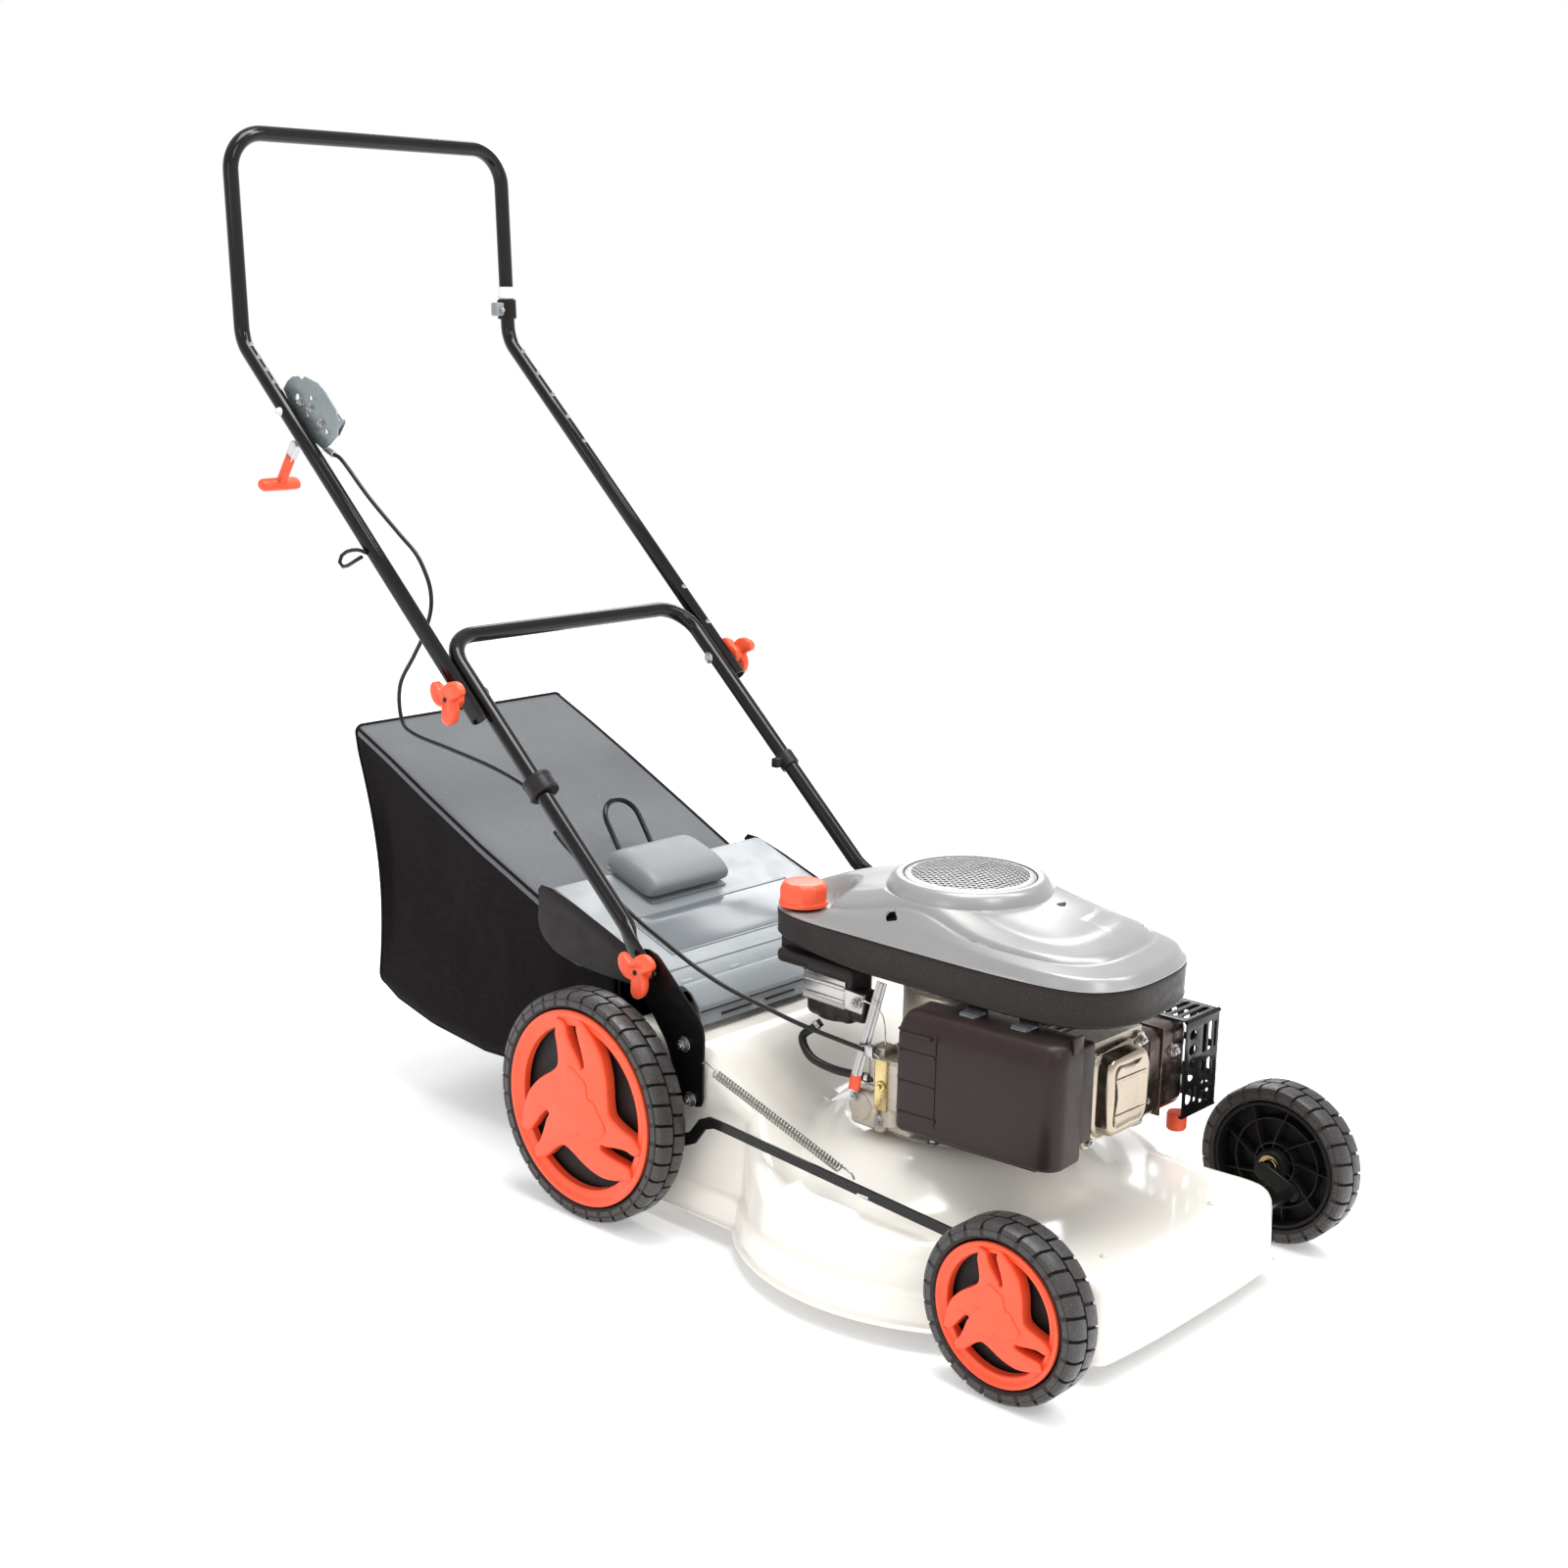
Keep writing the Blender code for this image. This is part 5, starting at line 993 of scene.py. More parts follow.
def cad_reach(a):
    """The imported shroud's own outline, straight between its 30 corners."""
    k = (a / math.tau * 30 - 0.5) % 30
    i = int(k)
    a0, a1 = coarse[i], coarse[(i + 1) % 30]
    p0 = (coarse_reach[i] * math.cos(a0), coarse_reach[i] * math.sin(a0))
    p1 = (coarse_reach[(i + 1) % 30] * math.cos(a1), coarse_reach[(i + 1) % 30] * math.sin(a1))
    ex, ey = p1[0] - p0[0], p1[1] - p0[1]
    dx, dy = math.cos(a), math.sin(a)
    cross = dx * ey - dy * ex
    return (p0[0] * ey - p0[1] * ex) / cross if abs(cross) > 1e-12 else coarse_reach[i]


spokes = [math.tau * k / N_S for k in range(N_S)]
s_reach = [cad_reach(a) for a in spokes]
for _ in range(10):
    s_reach = [(s_reach[k - 1] + 2 * s_reach[k] + s_reach[(k + 1) % N_S]) / 4 for k in range(N_S)]


def s_ring(radius_of, height_of):
    ring = []
    for a, reach in zip(spokes, s_reach):
        r = radius_of(reach) if callable(radius_of) else radius_of
        x, y = ENG_X + r * math.cos(a), ENG_Y + r * math.sin(a)
        ring.append((x, y, height_of(x, y, a, r, reach) if callable(height_of) else height_of))
    return ring


FLAT = 0.3640


def top_height(x, y, a, r, reach):
    """The shroud's silver surface: sloped band, a groove, then a dome up to the collar; a flat round the filler."""
    t = max(0.0, min(1.0, (reach - r) / (reach - COLLAR)))
    band = 0.3613 + 0.0077 * ease(min(1.0, (reach - r) / 0.0105))
    rise = 0.0360 * t ** 0.88 * (1.0 + 0.10 * math.sin(math.pi * t))
    z = band + rise
    d = math.degrees(a) % 360
    # Groove between the outer band and the dome; the band widens toward the front.
    front = ease((-y - 0.40) / 0.16)
    at_r = reach - (0.020 + 0.020 * front)
    groove = math.exp(-((r - at_r) / 0.0016) ** 2)
    z -= 0.0022 * groove
    z += 0.0016 * ease((at_r - r) / 0.006) * (1 - ease((at_r - 0.030 - r) / 0.02))
    away = math.hypot(x - CAP_AT[0], y - CAP_AT[1])
    flat_z = FLAT + 0.004 * ease((t - 0.5) / 0.3)
    z = z + (min(z, flat_z) - z) * ease((0.062 - away) / 0.016)
    return min(z, 0.4052)


def between(t):
    return lambda r: (r - 0.0105) * (1 - t) + COLLAR * t


rings = [s_ring(lambda r: r - 0.0004, 0.3613), s_ring(lambda r: r - 0.0002, 0.3622),
         s_ring(lambda r: r - 0.0012, lambda *p: min(top_height(*p), 0.3645)),
         s_ring(lambda r: r - 0.0035, lambda *p: top_height(*p)), s_ring(lambda r: r - 0.0065, top_height),
         s_ring(lambda r: r - 0.0090, top_height)]
for k in range(36):
    rings.append(s_ring(between(k / 36), top_height))
rings += [s_ring(COLLAR, 0.4050), s_ring(0.0862, 0.4075), s_ring(0.0842, 0.4118), s_ring(0.0822, 0.4152),
          s_ring(0.0800, 0.4178), s_ring(0.0775, 0.4194), s_ring(0.0750, 0.4199), s_ring(0.0715, 0.4197),
          s_ring(0.0700, 0.4190), s_ring(0.0698, 0.4168), s_ring(0.0755, 0.4166), s_ring(0.0790, 0.4140), s_ring(0.0840, 0.4030)]
for k in range(12, -1, -1):
    rings.append(s_ring(lambda r, k=k: between(k / 13)(r) - 0.0012, lambda x, y, a, r, q: top_height(x, y, a, r, q) - 0.0032))
rings.append(s_ring(lambda r: r - 0.0030, 0.3613))
top = loft("shroud_top_shell", rings, "silver", smooth=50, wrap=True)
filler = rod("cut_filler", (*CAP_AT, 0.33), (*CAP_AT, 0.43), 0.0195, "silver", sides=40)
holes = []
for a_deg, r0 in ((166, 0.1010), (-78, 0.1030)):
    a = math.radians(a_deg)
    px, py = ENG_X + r0 * math.cos(a), ENG_Y + r0 * math.sin(a)
    drop = []
    for k in range(20):
        q = math.tau * k / 20
        wob = 0.0058 if math.cos(q) < 0 else 0.0058 + 0.0052 * math.cos(q) ** 2
        drop.append((wob * math.cos(q), 0.0046 * math.sin(q) * (1 - 0.35 * max(0, math.cos(q)))))
    holes.append(flat("cut_drop", drop, 0.06, "silver",
                      place=at(px, py, 0.398) @ Matrix.Rotation(a + math.radians(90), 4, "Z")))
cut(top, filler, *holes)
finish(top, "silver", 50)
put(top, "chassis", "shroud_top", slot="silver_plastic")
# Raised panel on the front slope, left plain.
bm = bmesh.new()
grid = []
for i in range(13):
    row = []
    for j in range(9):
        a = math.radians(-74 + (i / 12 - 0.5) * 26)
        reach = min((cad_reach(a % math.tau)), 0.30)
        r = 0.130 + 0.052 * j / 8
        x, y = ENG_X + r * math.cos(a), ENG_Y + r * math.sin(a)
        edge_in = min(i, 12 - i, j, 8 - j)
        row.append(bm.verts.new((x, y, top_height(x, y, a % math.tau, r, reach) + (0.0007 if edge_in else -0.0006))))
    grid.append(row)
for i in range(12):
    for j in range(8):
        bm.faces.new((grid[i][j], grid[i + 1][j], grid[i + 1][j + 1], grid[i][j + 1]))
M["panel"] = mat("shroud_panel", (0.36, 0.365, 0.365), 0.20, metal=0.35, vary=0.04, scale=8, bump=0.05, coat=0.4)
put(from_bm("shroud_panel", bm, "panel", 40), "chassis", slot="silver_plastic")

# Skirt of the shroud, with a rolled lower edge.
def skirt_bottom(x, y, *_):
    return 0.3240 + 0.0100 * ease((y + 0.30) / 0.14)


def up(dz):
    return lambda x, y, *_: skirt_bottom(x, y) + dz


skirt = loft("shroud_skirt", [s_ring(lambda r: r - 0.0012, 0.3609), s_ring(lambda r: r - 0.0002, 0.3600), s_ring(lambda r: r - 0.0003, 0.3560),
                              s_ring(lambda r: r - 0.0009, up(0.0150)), s_ring(lambda r: r - 0.0013, up(0.0045)),
                              s_ring(lambda r: r - 0.0006, up(0.0030)), s_ring(lambda r: r - 0.0008, up(0.0008)),
                              s_ring(lambda r: r - 0.0018, skirt_bottom), s_ring(lambda r: r - 0.0040, up(0.0002)),
                              s_ring(lambda r: r - 0.0044, up(0.0020)), s_ring(lambda r: r - 0.0036, 0.3570), s_ring(lambda r: r - 0.0036, 0.3609)],
             "skirt", smooth=50, wrap=True)
put(skirt, "chassis", "engine_shroud", slot="black_plastic")


# Hexagon-perforated screen.
bm = bmesh.new()


def screen_z(x, y):
    d = math.hypot(x - ENG_X, y - ENG_Y)
    return 0.4236 - 0.0051 * (d / 0.0685) ** 2


cell = 0.0064
made = {}


def vert(x, y):
    key = (round(x * 2e5), round(y * 2e5))
    if key not in made:
        made[key] = bm.verts.new((x, y, screen_z(x, y)))
    return made[key]


rows = int(0.07 / (cell * 0.866)) + 1
for j in range(-rows, rows + 1):
    for i in range(-rows, rows + 1):
        x = ENG_X + (i + (j % 2) * 0.5) * cell
        y = ENG_Y + j * cell * 0.866
        if math.hypot(x - ENG_X, y - ENG_Y) > 0.0640:
            continue
        ro, ri = cell / math.sqrt(3), cell / math.sqrt(3) * 0.76
        o_ring = [vert(x + ro * math.cos(math.radians(60 * k + 30)), y + ro * math.sin(math.radians(60 * k + 30))) for k in range(6)]
        i_ring = [bm.verts.new((x + ri * math.cos(math.radians(60 * k + 30)), y + ri * math.sin(math.radians(60 * k + 30)),
                                screen_z(x, y) - 0.0001)) for k in range(6)]
        for k in range(6):
            bm.faces.new((o_ring[k], o_ring[(k + 1) % 6], i_ring[(k + 1) % 6], i_ring[k]))
mesh_part = from_bm("screen_mesh", bm, "screen", 30)
mod = mesh_part.modifiers.new("thick", "SOLIDIFY")
mod.thickness = 0.0012
mod.offset = -1
bpy.context.view_layer.update()
mesh_part.data = bpy.data.meshes.new_from_object(mesh_part.evaluated_get(bpy.context.evaluated_depsgraph_get()))
mesh_part.modifiers.clear()
rim_part = lathe("screen_rim", [(0.0685, 0.4183), (0.0685, 0.4166), (0.0618, 0.4176), (0.0618, 0.4196), (0.0640, 0.4196)],
                 (ENG_X, ENG_Y, 0), "screen", "Z", 90)
# A dark disk under the screen: painted shade of the housing behind the holes.
under = lathe("screen_dark", [(0.0, 0.4085), (0.0672, 0.4085), (0.0672, 0.4075), (0.0, 0.4075)], (ENG_X, ENG_Y, 0), "dark", "Z", 48)
hub = rod("screen_hub", (ENG_X, ENG_Y, 0.4076), (ENG_X, ENG_Y, 0.4205), 0.0075, "dark", sides=24)
put(join("screen_look", [mesh_part, rim_part, under, hub]), "chassis", "starter_screen", slot="silver_plastic")

# Fuel cap: fluted, with a raised ribbed top.
bm = bmesh.new()
rings = []
cx, cy = CAP_AT
for z, k, flute in ((0.3673, 0.965, 0.0), (0.3678, 0.985, 0.0), (0.3712, 0.985, 0.0), (0.3718, 0.965, 1.0), (0.3850, 0.965, 1.0),
                    (0.3875, 0.955, 1.0), (0.3905, 0.875, 1.0), (0.3918, 0.80, 0.6), (0.3922, 0.70, 0.0), (0.3922, 0.30, 0.0)):
    ring = []
    for i in range(144):
        t = math.tau * i / 144
        part = (t % (math.tau / 10)) - math.tau / 20
        face = math.cos(math.tau / 20) / math.cos(part)
        r = 0.0266 * k * (1 + flute * 1.1 * (face - 1))
        ring.append(bm.verts.new((cx + r * math.cos(t), cy + r * math.sin(t), z)))
    rings.append(ring)
for p, q in zip(rings, rings[1:]):
    for i in range(144):
        bm.faces.new((p[i], p[(i + 1) % 144], q[(i + 1) % 144], q[i]))
bm.faces.new(rings[0])
bm.faces.new(rings[-1])
cap = [from_bm("cap_shell", bm, "orange", 32)]
put(join("fuel_cap_look", cap), "fuel_cap", "fuel_cap", slot="orange_plastic")
cap_neck = lathe("filler_ring", [(0.0172, 0.3652), (0.0192, 0.3652), (0.0192, 0.3672), (0.0172, 0.3672)], (*CAP_AT, 0), "skirt", "Z", 40)
put(cap_neck, "chassis", slot="black_plastic")


# ------------------------------------------------------------------ engine
dress("engine_block", "cast", 0.0012, slot="cast_alloy")
dress("carburettor", "cast", 0.0012, slot="cast_alloy")
dress("fuel_tank", "plastic", 0.0030, slot="black_plastic", segments=3)
dress("oil_dipstick", "plastic", 0.0020, slot="black_plastic")
dress("spark_plug", "hose", 0.0015, slot="black_plastic")
dress("crankshaft", "steel", 0.0004, slot="steel")
dress("flywheel", "cast", 0.0006, slot="cast_alloy")
dress("starter_pulley", "plastic", 0.0005, slot="black_plastic")
dress("blade", "blade", 0.0003, slot="steel")
dress("blade_bolt", "zinc", 0.0006, slot="steel")
dress("blade_adapter", "steel", 0.0006, slot="steel")
dress("muffler", "hot", 0.0, smooth=50, slot="muffler_steel")


def chassis(obj, *nodes, slot=None):
    return put(obj, "chassis", *nodes, slot=slot)


def bar(name, p0, p1, width, thick, normal, material, edge=0.0005):
    """A flat strip from p0 to p1, width across and thick along the normal."""
    p0, p1 = Vector(p0), Vector(p1)
    d = (p1 - p0).normalized()
    n = Vector(normal)
    n = (n - d * n.dot(d)).normalized()
    w = d.cross(n)
    bm = bmesh.new()
    bmesh.ops.create_cube(bm, size=1.0)
    length = (p1 - p0).length
    mid = (p0 + p1) / 2
    for v in bm.verts:
        v.co = mid + d * v.co.x * length + w * v.co.y * width + n * v.co.z * thick
    bmesh.ops.bevel(bm, geom=list(bm.edges), offset=min(edge, thick * 0.4), segments=2, affect="EDGES", profile=0.5)
    return from_bm(name, bm, material, 35)


# Cylinder head fins and crankcase ribs seen under the shroud.
fins = []
for k, y in enumerate((-0.4285, -0.4455, -0.4625, -0.4795)):
    fins.append(block("fin", (ENG_X - 0.054, y - 0.0011, 0.192), (ENG_X + 0.054, y + 0.0011, 0.289), "cast", 0.0006))
for k in range(14):
    a = math.tau * k / 14 + 0.1
    x, y = ENG_X + 0.0865 * math.cos(a), ENG_Y + 0.0865 * math.sin(a)
    if y > -0.42:
        fins.append(bar("rib", (ENG_X + 0.064 * math.cos(a), ENG_Y + 0.064 * math.sin(a), 0.214), (x, y, 0.1995), 0.003, 0.022,
                        (0, 0, 1), "cast", 0.0008))
for k, a in enumerate((2.5, 3.3, 4.2, 0.4, 1.3)):
    fins.append(hex_bolt("case_bolt", (ENG_X + 0.079 * math.cos(a), ENG_Y + 0.079 * math.sin(a), 0.2050), (0, 0, 1), 0.0045, 0.0045))
chassis(join("engine_ribs", fins), slot="cast_alloy")

# Air box: a shell with a rounded front corner, a sloped top, ribs, a lip and two clips.
AB = at(-0.1140, -0.4560, 0.0) @ Matrix.Rotation(math.radians(4.5), 4, "Z")


def plan_ring(inset, z, depth, half, r_front, r_rear, shift=0.0, n=8):
    pts = []
    x0, x1, y0, y1 = -depth + inset + shift, 0.0, -half + inset, half - inset
    for cx, cy, r, start in ((x1 - 0.0015, y1 - 0.0015, 0.0015, 0), (x0 + r_rear, y1 - r_rear, r_rear, 90),
                             (x0 + r_front, y0 + r_front, r_front, 180), (x1 - 0.0015, y0 + 0.0015, 0.0015, 270)):
        for k in range(n + 1):
            a = math.radians(start + 90 * k / n)
            pts.append(AB @ Vector((cx + r * math.cos(a), cy + r * math.sin(a), z)))
    return pts


shell = loft("airbox_shell", [plan_ring(0.0070, 0.1842, 0.0480, 0.0945, 0.0150, 0.0070), plan_ring(0.0030, 0.1850, 0.0480, 0.0945, 0.0180, 0.0080),
                              plan_ring(0.0008, 0.1875, 0.0480, 0.0945, 0.0200, 0.0090), plan_ring(0.0, 0.1910, 0.0480, 0.0945, 0.0205, 0.0095),
                              plan_ring(0.0, 0.2600, 0.0480, 0.0945, 0.0205, 0.0095), plan_ring(0.0003, 0.2860, 0.0480, 0.0945, 0.0205, 0.0095),
                              plan_ring(0.0010, 0.2950, 0.0480, 0.0945, 0.0200, 0.0090, 0.0010),
                              plan_ring(0.0030, 0.3025, 0.0480, 0.0945, 0.0190, 0.0085, 0.0030),
                              plan_ring(0.0052, 0.3072, 0.0480, 0.0945, 0.0170, 0.0080, 0.0050),
                              plan_ring(0.0085, 0.3098, 0.0480, 0.0945, 0.0140, 0.0070, 0.0060),
                              plan_ring(0.0125, 0.3104, 0.0480, 0.0945, 0.0110, 0.0060, 0.0070)], "airbox", 50)
def hollow_ring(z):
    back = AB.inverted()
    pts = [back @ p for p in plan_ring(0.0030, z, 0.0480, 0.0945, 0.0175, 0.0065)]
    return [AB @ Vector((0.02 if p.x > -0.004 else p.x, p.y, p.z)) for p in pts]


cut(shell, loft("airbox_hollow", [hollow_ring(0.1880), hollow_ring(0.2960)], "airbox"))
finish(shell, "airbox", 50)
bits = [shell]
for z, long in ((0.2900, 0.036), (0.2715, 0.041), (0.2390, 0.042), (0.2060, 0.044)):
    rib = bar("airbox_rib", AB @ Vector((-0.0482, 0.0870, z)), AB @ Vector((-0.0482, 0.0870 - long, z)), 0.0024, 0.0016, (-1, 0, 0), "airbox", 0.0006)
    bits.append(rib)
    rear = bar("airbox_rib_end", AB @ Vector((-0.0480, 0.0868, z)), AB @ Vector((-0.0400, 0.0946, z)), 0.0022, 0.0014, (-0.7, 0.7, 0), "airbox", 0.0005)
    bits.append(rear)
bits.append(bar("airbox_step", AB @ Vector((-0.0484, 0.045, 0.1975)), AB @ Vector((-0.0484, 0.045, 0.2965)), 0.0011, 0.0010, (-1, 0, 0), "airbox", 0.0004))
bits.append(block("airbox_lip", (-0.018, -0.0935, 0.2990), (0.0, -0.0905, 0.3165), "airbox", 0.0012))
bits[-1].data.transform(AB)
bits.append(block("airbox_skirt", (-0.040, -0.0700, 0.1805), (0.0, 0.0620, 0.1850), "airbox", 0.0012))
bits[-1].data.transform(AB)
chassis(join("airbox_look", bits), "air_filter_cover", slot="black_plastic")
for k, y in enumerate((0.030, -0.030)):
    clip = [block("clip_a", (-0.0150, y - 0.0105, 0.3098), (0.0040, y + 0.0105, 0.3128), "grey", 0.0008),
            block("clip_b", (-0.0185, y - 0.0090, 0.3085), (-0.0145, y + 0.0090, 0.3120), "grey", 0.0008),
            block("clip_c", (0.0000, y - 0.0110, 0.2985), (0.0055, y + 0.0110, 0.3150), "dark", 0.0010)]
    obj = join("airbox_clip_%d" % k, clip)
    obj.data.transform(AB)
    chassis(obj, slot="grey_plastic")
# Filter body behind the cover, running forward to the head.
chassis(block("filter_housing", (-0.1120, -0.5450, 0.1980), (-0.0780, -0.3780, 0.3020), "airbox", 0.0050, 3), slot="black_plastic")
chassis(block("filter_throat", (-0.1060, -0.3800, 0.2080), (-0.0860, -0.3560, 0.2480), "plastic", 0.0060, 3), slot="black_plastic")

# Valve cover.
flange = round_loop([(-0.0745, 0.2835), (-0.0640, 0.2850), (-0.0560, 0.2790), (0.0080, 0.2790), (0.0150, 0.2830), (0.0255, 0.2820), (0.0285, 0.2740),
                     (0.0230, 0.2640), (0.0225, 0.2000), (0.0280, 0.1920), (0.0250, 0.1830), (0.0160, 0.1810), (0.0080, 0.1870),
                     (-0.0560, 0.1870), (-0.0620, 0.1815), (-0.0710, 0.1815), (-0.0750, 0.1900), (-0.0690, 0.2000), (-0.0690, 0.2660), (-0.0748, 0.2740)], 4)
cover = [flat("valve_flange", flange, 0.0040, "cover", bevel=0.0010, place=at(0, -0.5290, 0) @ IN_XZ, smooth=40)]


def dome_ring(inset, y):
    base = [(-0.0585, 0.2680), (-0.0530, 0.2755), (-0.0440, 0.2775), (-0.0060, 0.2775), (0.0060, 0.2740), (0.0135, 0.2620),
            (0.0160, 0.2450), (0.0160, 0.2250), (0.0130, 0.2060), (0.0060, 0.1950), (-0.0060, 0.1925), (-0.0440, 0.1925),
            (-0.0530, 0.1945), (-0.0585, 0.2020), (-0.0600, 0.2200), (-0.0600, 0.2500)]
    cx, cz = -0.0220, 0.2350
    out = []
    for px, pz in round_loop(base, 5):
        dx, dz = px - cx, pz - cz
        d = math.hypot(dx, dz)
        out.append((cx + dx * (d - inset) / d, y, cz + dz * (d - inset) / d))
    return out


cover.append(loft("valve_dome", [dome_ring(-0.0040, -0.5300), dome_ring(-0.0034, -0.5322), dome_ring(-0.0008, -0.5334), dome_ring(0.0008, -0.5352), dome_ring(0.0014, -0.5440),
                                 dome_ring(0.0026, -0.5470), dome_ring(0.0052, -0.5492), dome_ring(0.0090, -0.5499),
                                 dome_ring(0.0120, -0.5496), dome_ring(0.0135, -0.5486), dome_ring(0.0200, -0.5484)], "cover", 50))
for z in (0.2520, 0.2140):
    cover.append(bar("valve_rib", (-0.0480, -0.5490, z), (0.0040, -0.5490, z - 0.001), 0.0034, 0.0022, (0, -1, 0), "cover", 0.0009))
obj = join("valve_cover_look", cover)
for v in obj.data.vertices:
    v.co.y = max(v.co.y, -0.5500)
chassis(obj, "valve_cover", slot="plated_cover")
for k, (x, z) in enumerate(((-0.0675, 0.2770), (0.0210, 0.2746), (-0.0660, 0.1890), (0.0200, 0.1880))):
    chassis(hex_bolt("valve_bolt_%d" % k, (x, -0.5308, z), (0, -1, 0), 0.0048, 0.0052, "zinc"), slot="zinc")

# Muffler seam, strap bolt, heat shield edge.
seam = [block("seam", (0.1050, -0.5042, 0.1600), (0.1082, -0.4185, 0.2580), "hot", 0.0010),
        block("seam2", (0.0830, -0.5032, 0.1700), (0.0850, -0.5010, 0.2480), "hot", 0.0006),
        rod("muffler_boss", (0.129, -0.5000, 0.228), (0.129, -0.5045, 0.228), 0.0095, "hot", r1=0.0080, bevel=0.0008),
        hex_bolt("muffler_bolt", (0.129, -0.5040, 0.228), (0, -1, 0), 0.0048, 0.0045, "steel"),
        hex_bolt("muffler_bolt2", (0.078, -0.5030, 0.185), (0, -1, 0), 0.0045, 0.0040, "steel")]
chassis(join("muffler_seam", seam), slot="muffler_steel")

# Perforated guard.
fh = []
for z in (0.2400, 0.2230):
    fh.append(slot_hole(0.1560, z, 0.0140, 0.0110))
fh += [slot_hole(0.1560, 0.1990, 0.0115, 0.0230), slot_hole(0.1535, 0.1700, 0.0110, 0.0170), slot_hole(0.1660, 0.1700, 0.0055, 0.0170)]
fh += [slot_hole(0.1790, 0.2310, 0.0075, 0.0330), slot_hole(0.1790, 0.1920, 0.0075, 0.0290), slot_hole(0.1790, 0.1640, 0.0075, 0.0140),
       slot_hole(0.1905, 0.2310, 0.0070, 0.0330), slot_hole(0.1905, 0.1920, 0.0070, 0.0290), slot_hole(0.1905, 0.1640, 0.0070, 0.0140)]
fh += [slot_hole(0.2000, 0.2310, 0.0050, 0.0300), slot_hole(0.2005, 0.1880, 0.0050, 0.0300)]
guard = [flat("guard_front", [(0.1420, 0.1485), (0.2066, 0.1485), (0.2066, 0.2545), (0.2030, 0.2575), (0.1455, 0.2575), (0.1420, 0.2540)], 0.0014,
              "enamel", holes=fh, bevel=0.0002, place=at(0, -0.5092, 0) @ IN_XZ)]
sh = [slot_hole(-0.5000 + 0.0155 * k, z, 0.0075, 0.0260) for k in range(5) for z in (0.2330, 0.1990)]
sh += [slot_hole(-0.4980 + 0.0190 * k, 0.1660, 0.0110, 0.0130) for k in range(4)]
guard.append(flat("guard_side", [(-0.5095, 0.1485), (-0.4305, 0.1485), (-0.4305, 0.2575), (-0.5095, 0.2575)], 0.0014, "enamel", holes=sh,
                  bevel=0.0002, place=at(0.2072, 0, 0) @ IN_YZ))
th = [slot_hole(0.1760, -0.4990 + 0.0122 * k, 0.0500, 0.0062) for k in range(6)]
guard.append(flat("guard_top", [(0.1420, -0.5095), (0.2078, -0.5095), (0.2078, -0.4305), (0.1420, -0.4305)], 0.0014, "enamel", holes=th,
                  bevel=0.0002, place=at(0, 0, 0.2571)))
guard.append(bar("guard_roll", (0.1420, -0.5090, 0.2566), (0.2070, -0.5090, 0.2566), 0.0026, 0.0026, (0, -1, 1), "enamel", 0.0009))
guard.append(bar("guard_fold", (0.1420, -0.5085, 0.1492), (0.2070, -0.5085, 0.1492), 0.0040, 0.0016, (0, 0, 1), "enamel", 0.0006))
chassis(join("muffler_guard_look", guard), "muffler_guard", slot="black_enamel")
chassis(lathe("drain_plug", [(0.0, 0.1275), (0.0095, 0.1275), (0.0112, 0.1300), (0.0112, 0.1450), (0.0098, 0.1475), (0.0, 0.1480)],
              (0.1600, -0.4930, 0.0), "orange", "Z", 32), slot="orange_plastic")

# Tank strap, bowl, governor lever, linkages and small castings on the visible side.
strap = [bar("strap", (-0.1358, -0.2120, 0.2960), (-0.1358, -0.2700, 0.2945), 0.0300, 0.0020, (-1, 0, 0), "zinc", 0.0008),
         bar("strap_lug", (-0.1352, -0.2680, 0.2915), (-0.1330, -0.2930, 0.2890), 0.0210, 0.0020, (-1, 0.1, 0), "zinc", 0.0008),
         bar("strap_rib", (-0.1368, -0.2140, 0.3030), (-0.1368, -0.2690, 0.3015), 0.0040, 0.0016, (-1, 0, 0), "zinc", 0.0006),
         bar("strap_rib2", (-0.1368, -0.2140, 0.2885), (-0.1368, -0.2690, 0.2870), 0.0040, 0.0016, (-1, 0, 0), "zinc", 0.0006),
         hex_bolt("strap_bolt", (-0.1345, -0.2835, 0.2895), (-1, 0.08, 0), 0.0048, 0.0048)]
chassis(join("tank_strap", strap), slot="zinc")
chassis(block("tank_bowl", (-0.1345, -0.2760, 0.2610), (-0.0950, -0.2120, 0.3240), "plastic", 0.0085, 4), slot="black_plastic")
chassis(block("tank_bowl_end", (-0.1330, -0.2940, 0.2660), (-0.1050, -0.2680, 0.3000), "plastic", 0.0075, 4), slot="black_plastic")
gov = [bar("gov", (-0.1310, -0.3150, 0.3180), (-0.1495, -0.2990, 0.2160), 0.0095, 0.0018, (-1, -0.4, 0), "zinc", 0.0007),
       bar("gov_rib", (-0.1322, -0.3152, 0.3170), (-0.1505, -0.2992, 0.2190), 0.0030, 0.0022, (-1, -0.4, 0), "zinc", 0.0008)]
chassis(join("governor_lever", gov), slot="zinc")
chassis(bar("governor_tip", (-0.1490, -0.2995, 0.2180), (-0.1510, -0.2982, 0.2040), 0.0100, 0.0028, (-1, -0.4, 0), "orange", 0.0009), slot="orange_plastic")
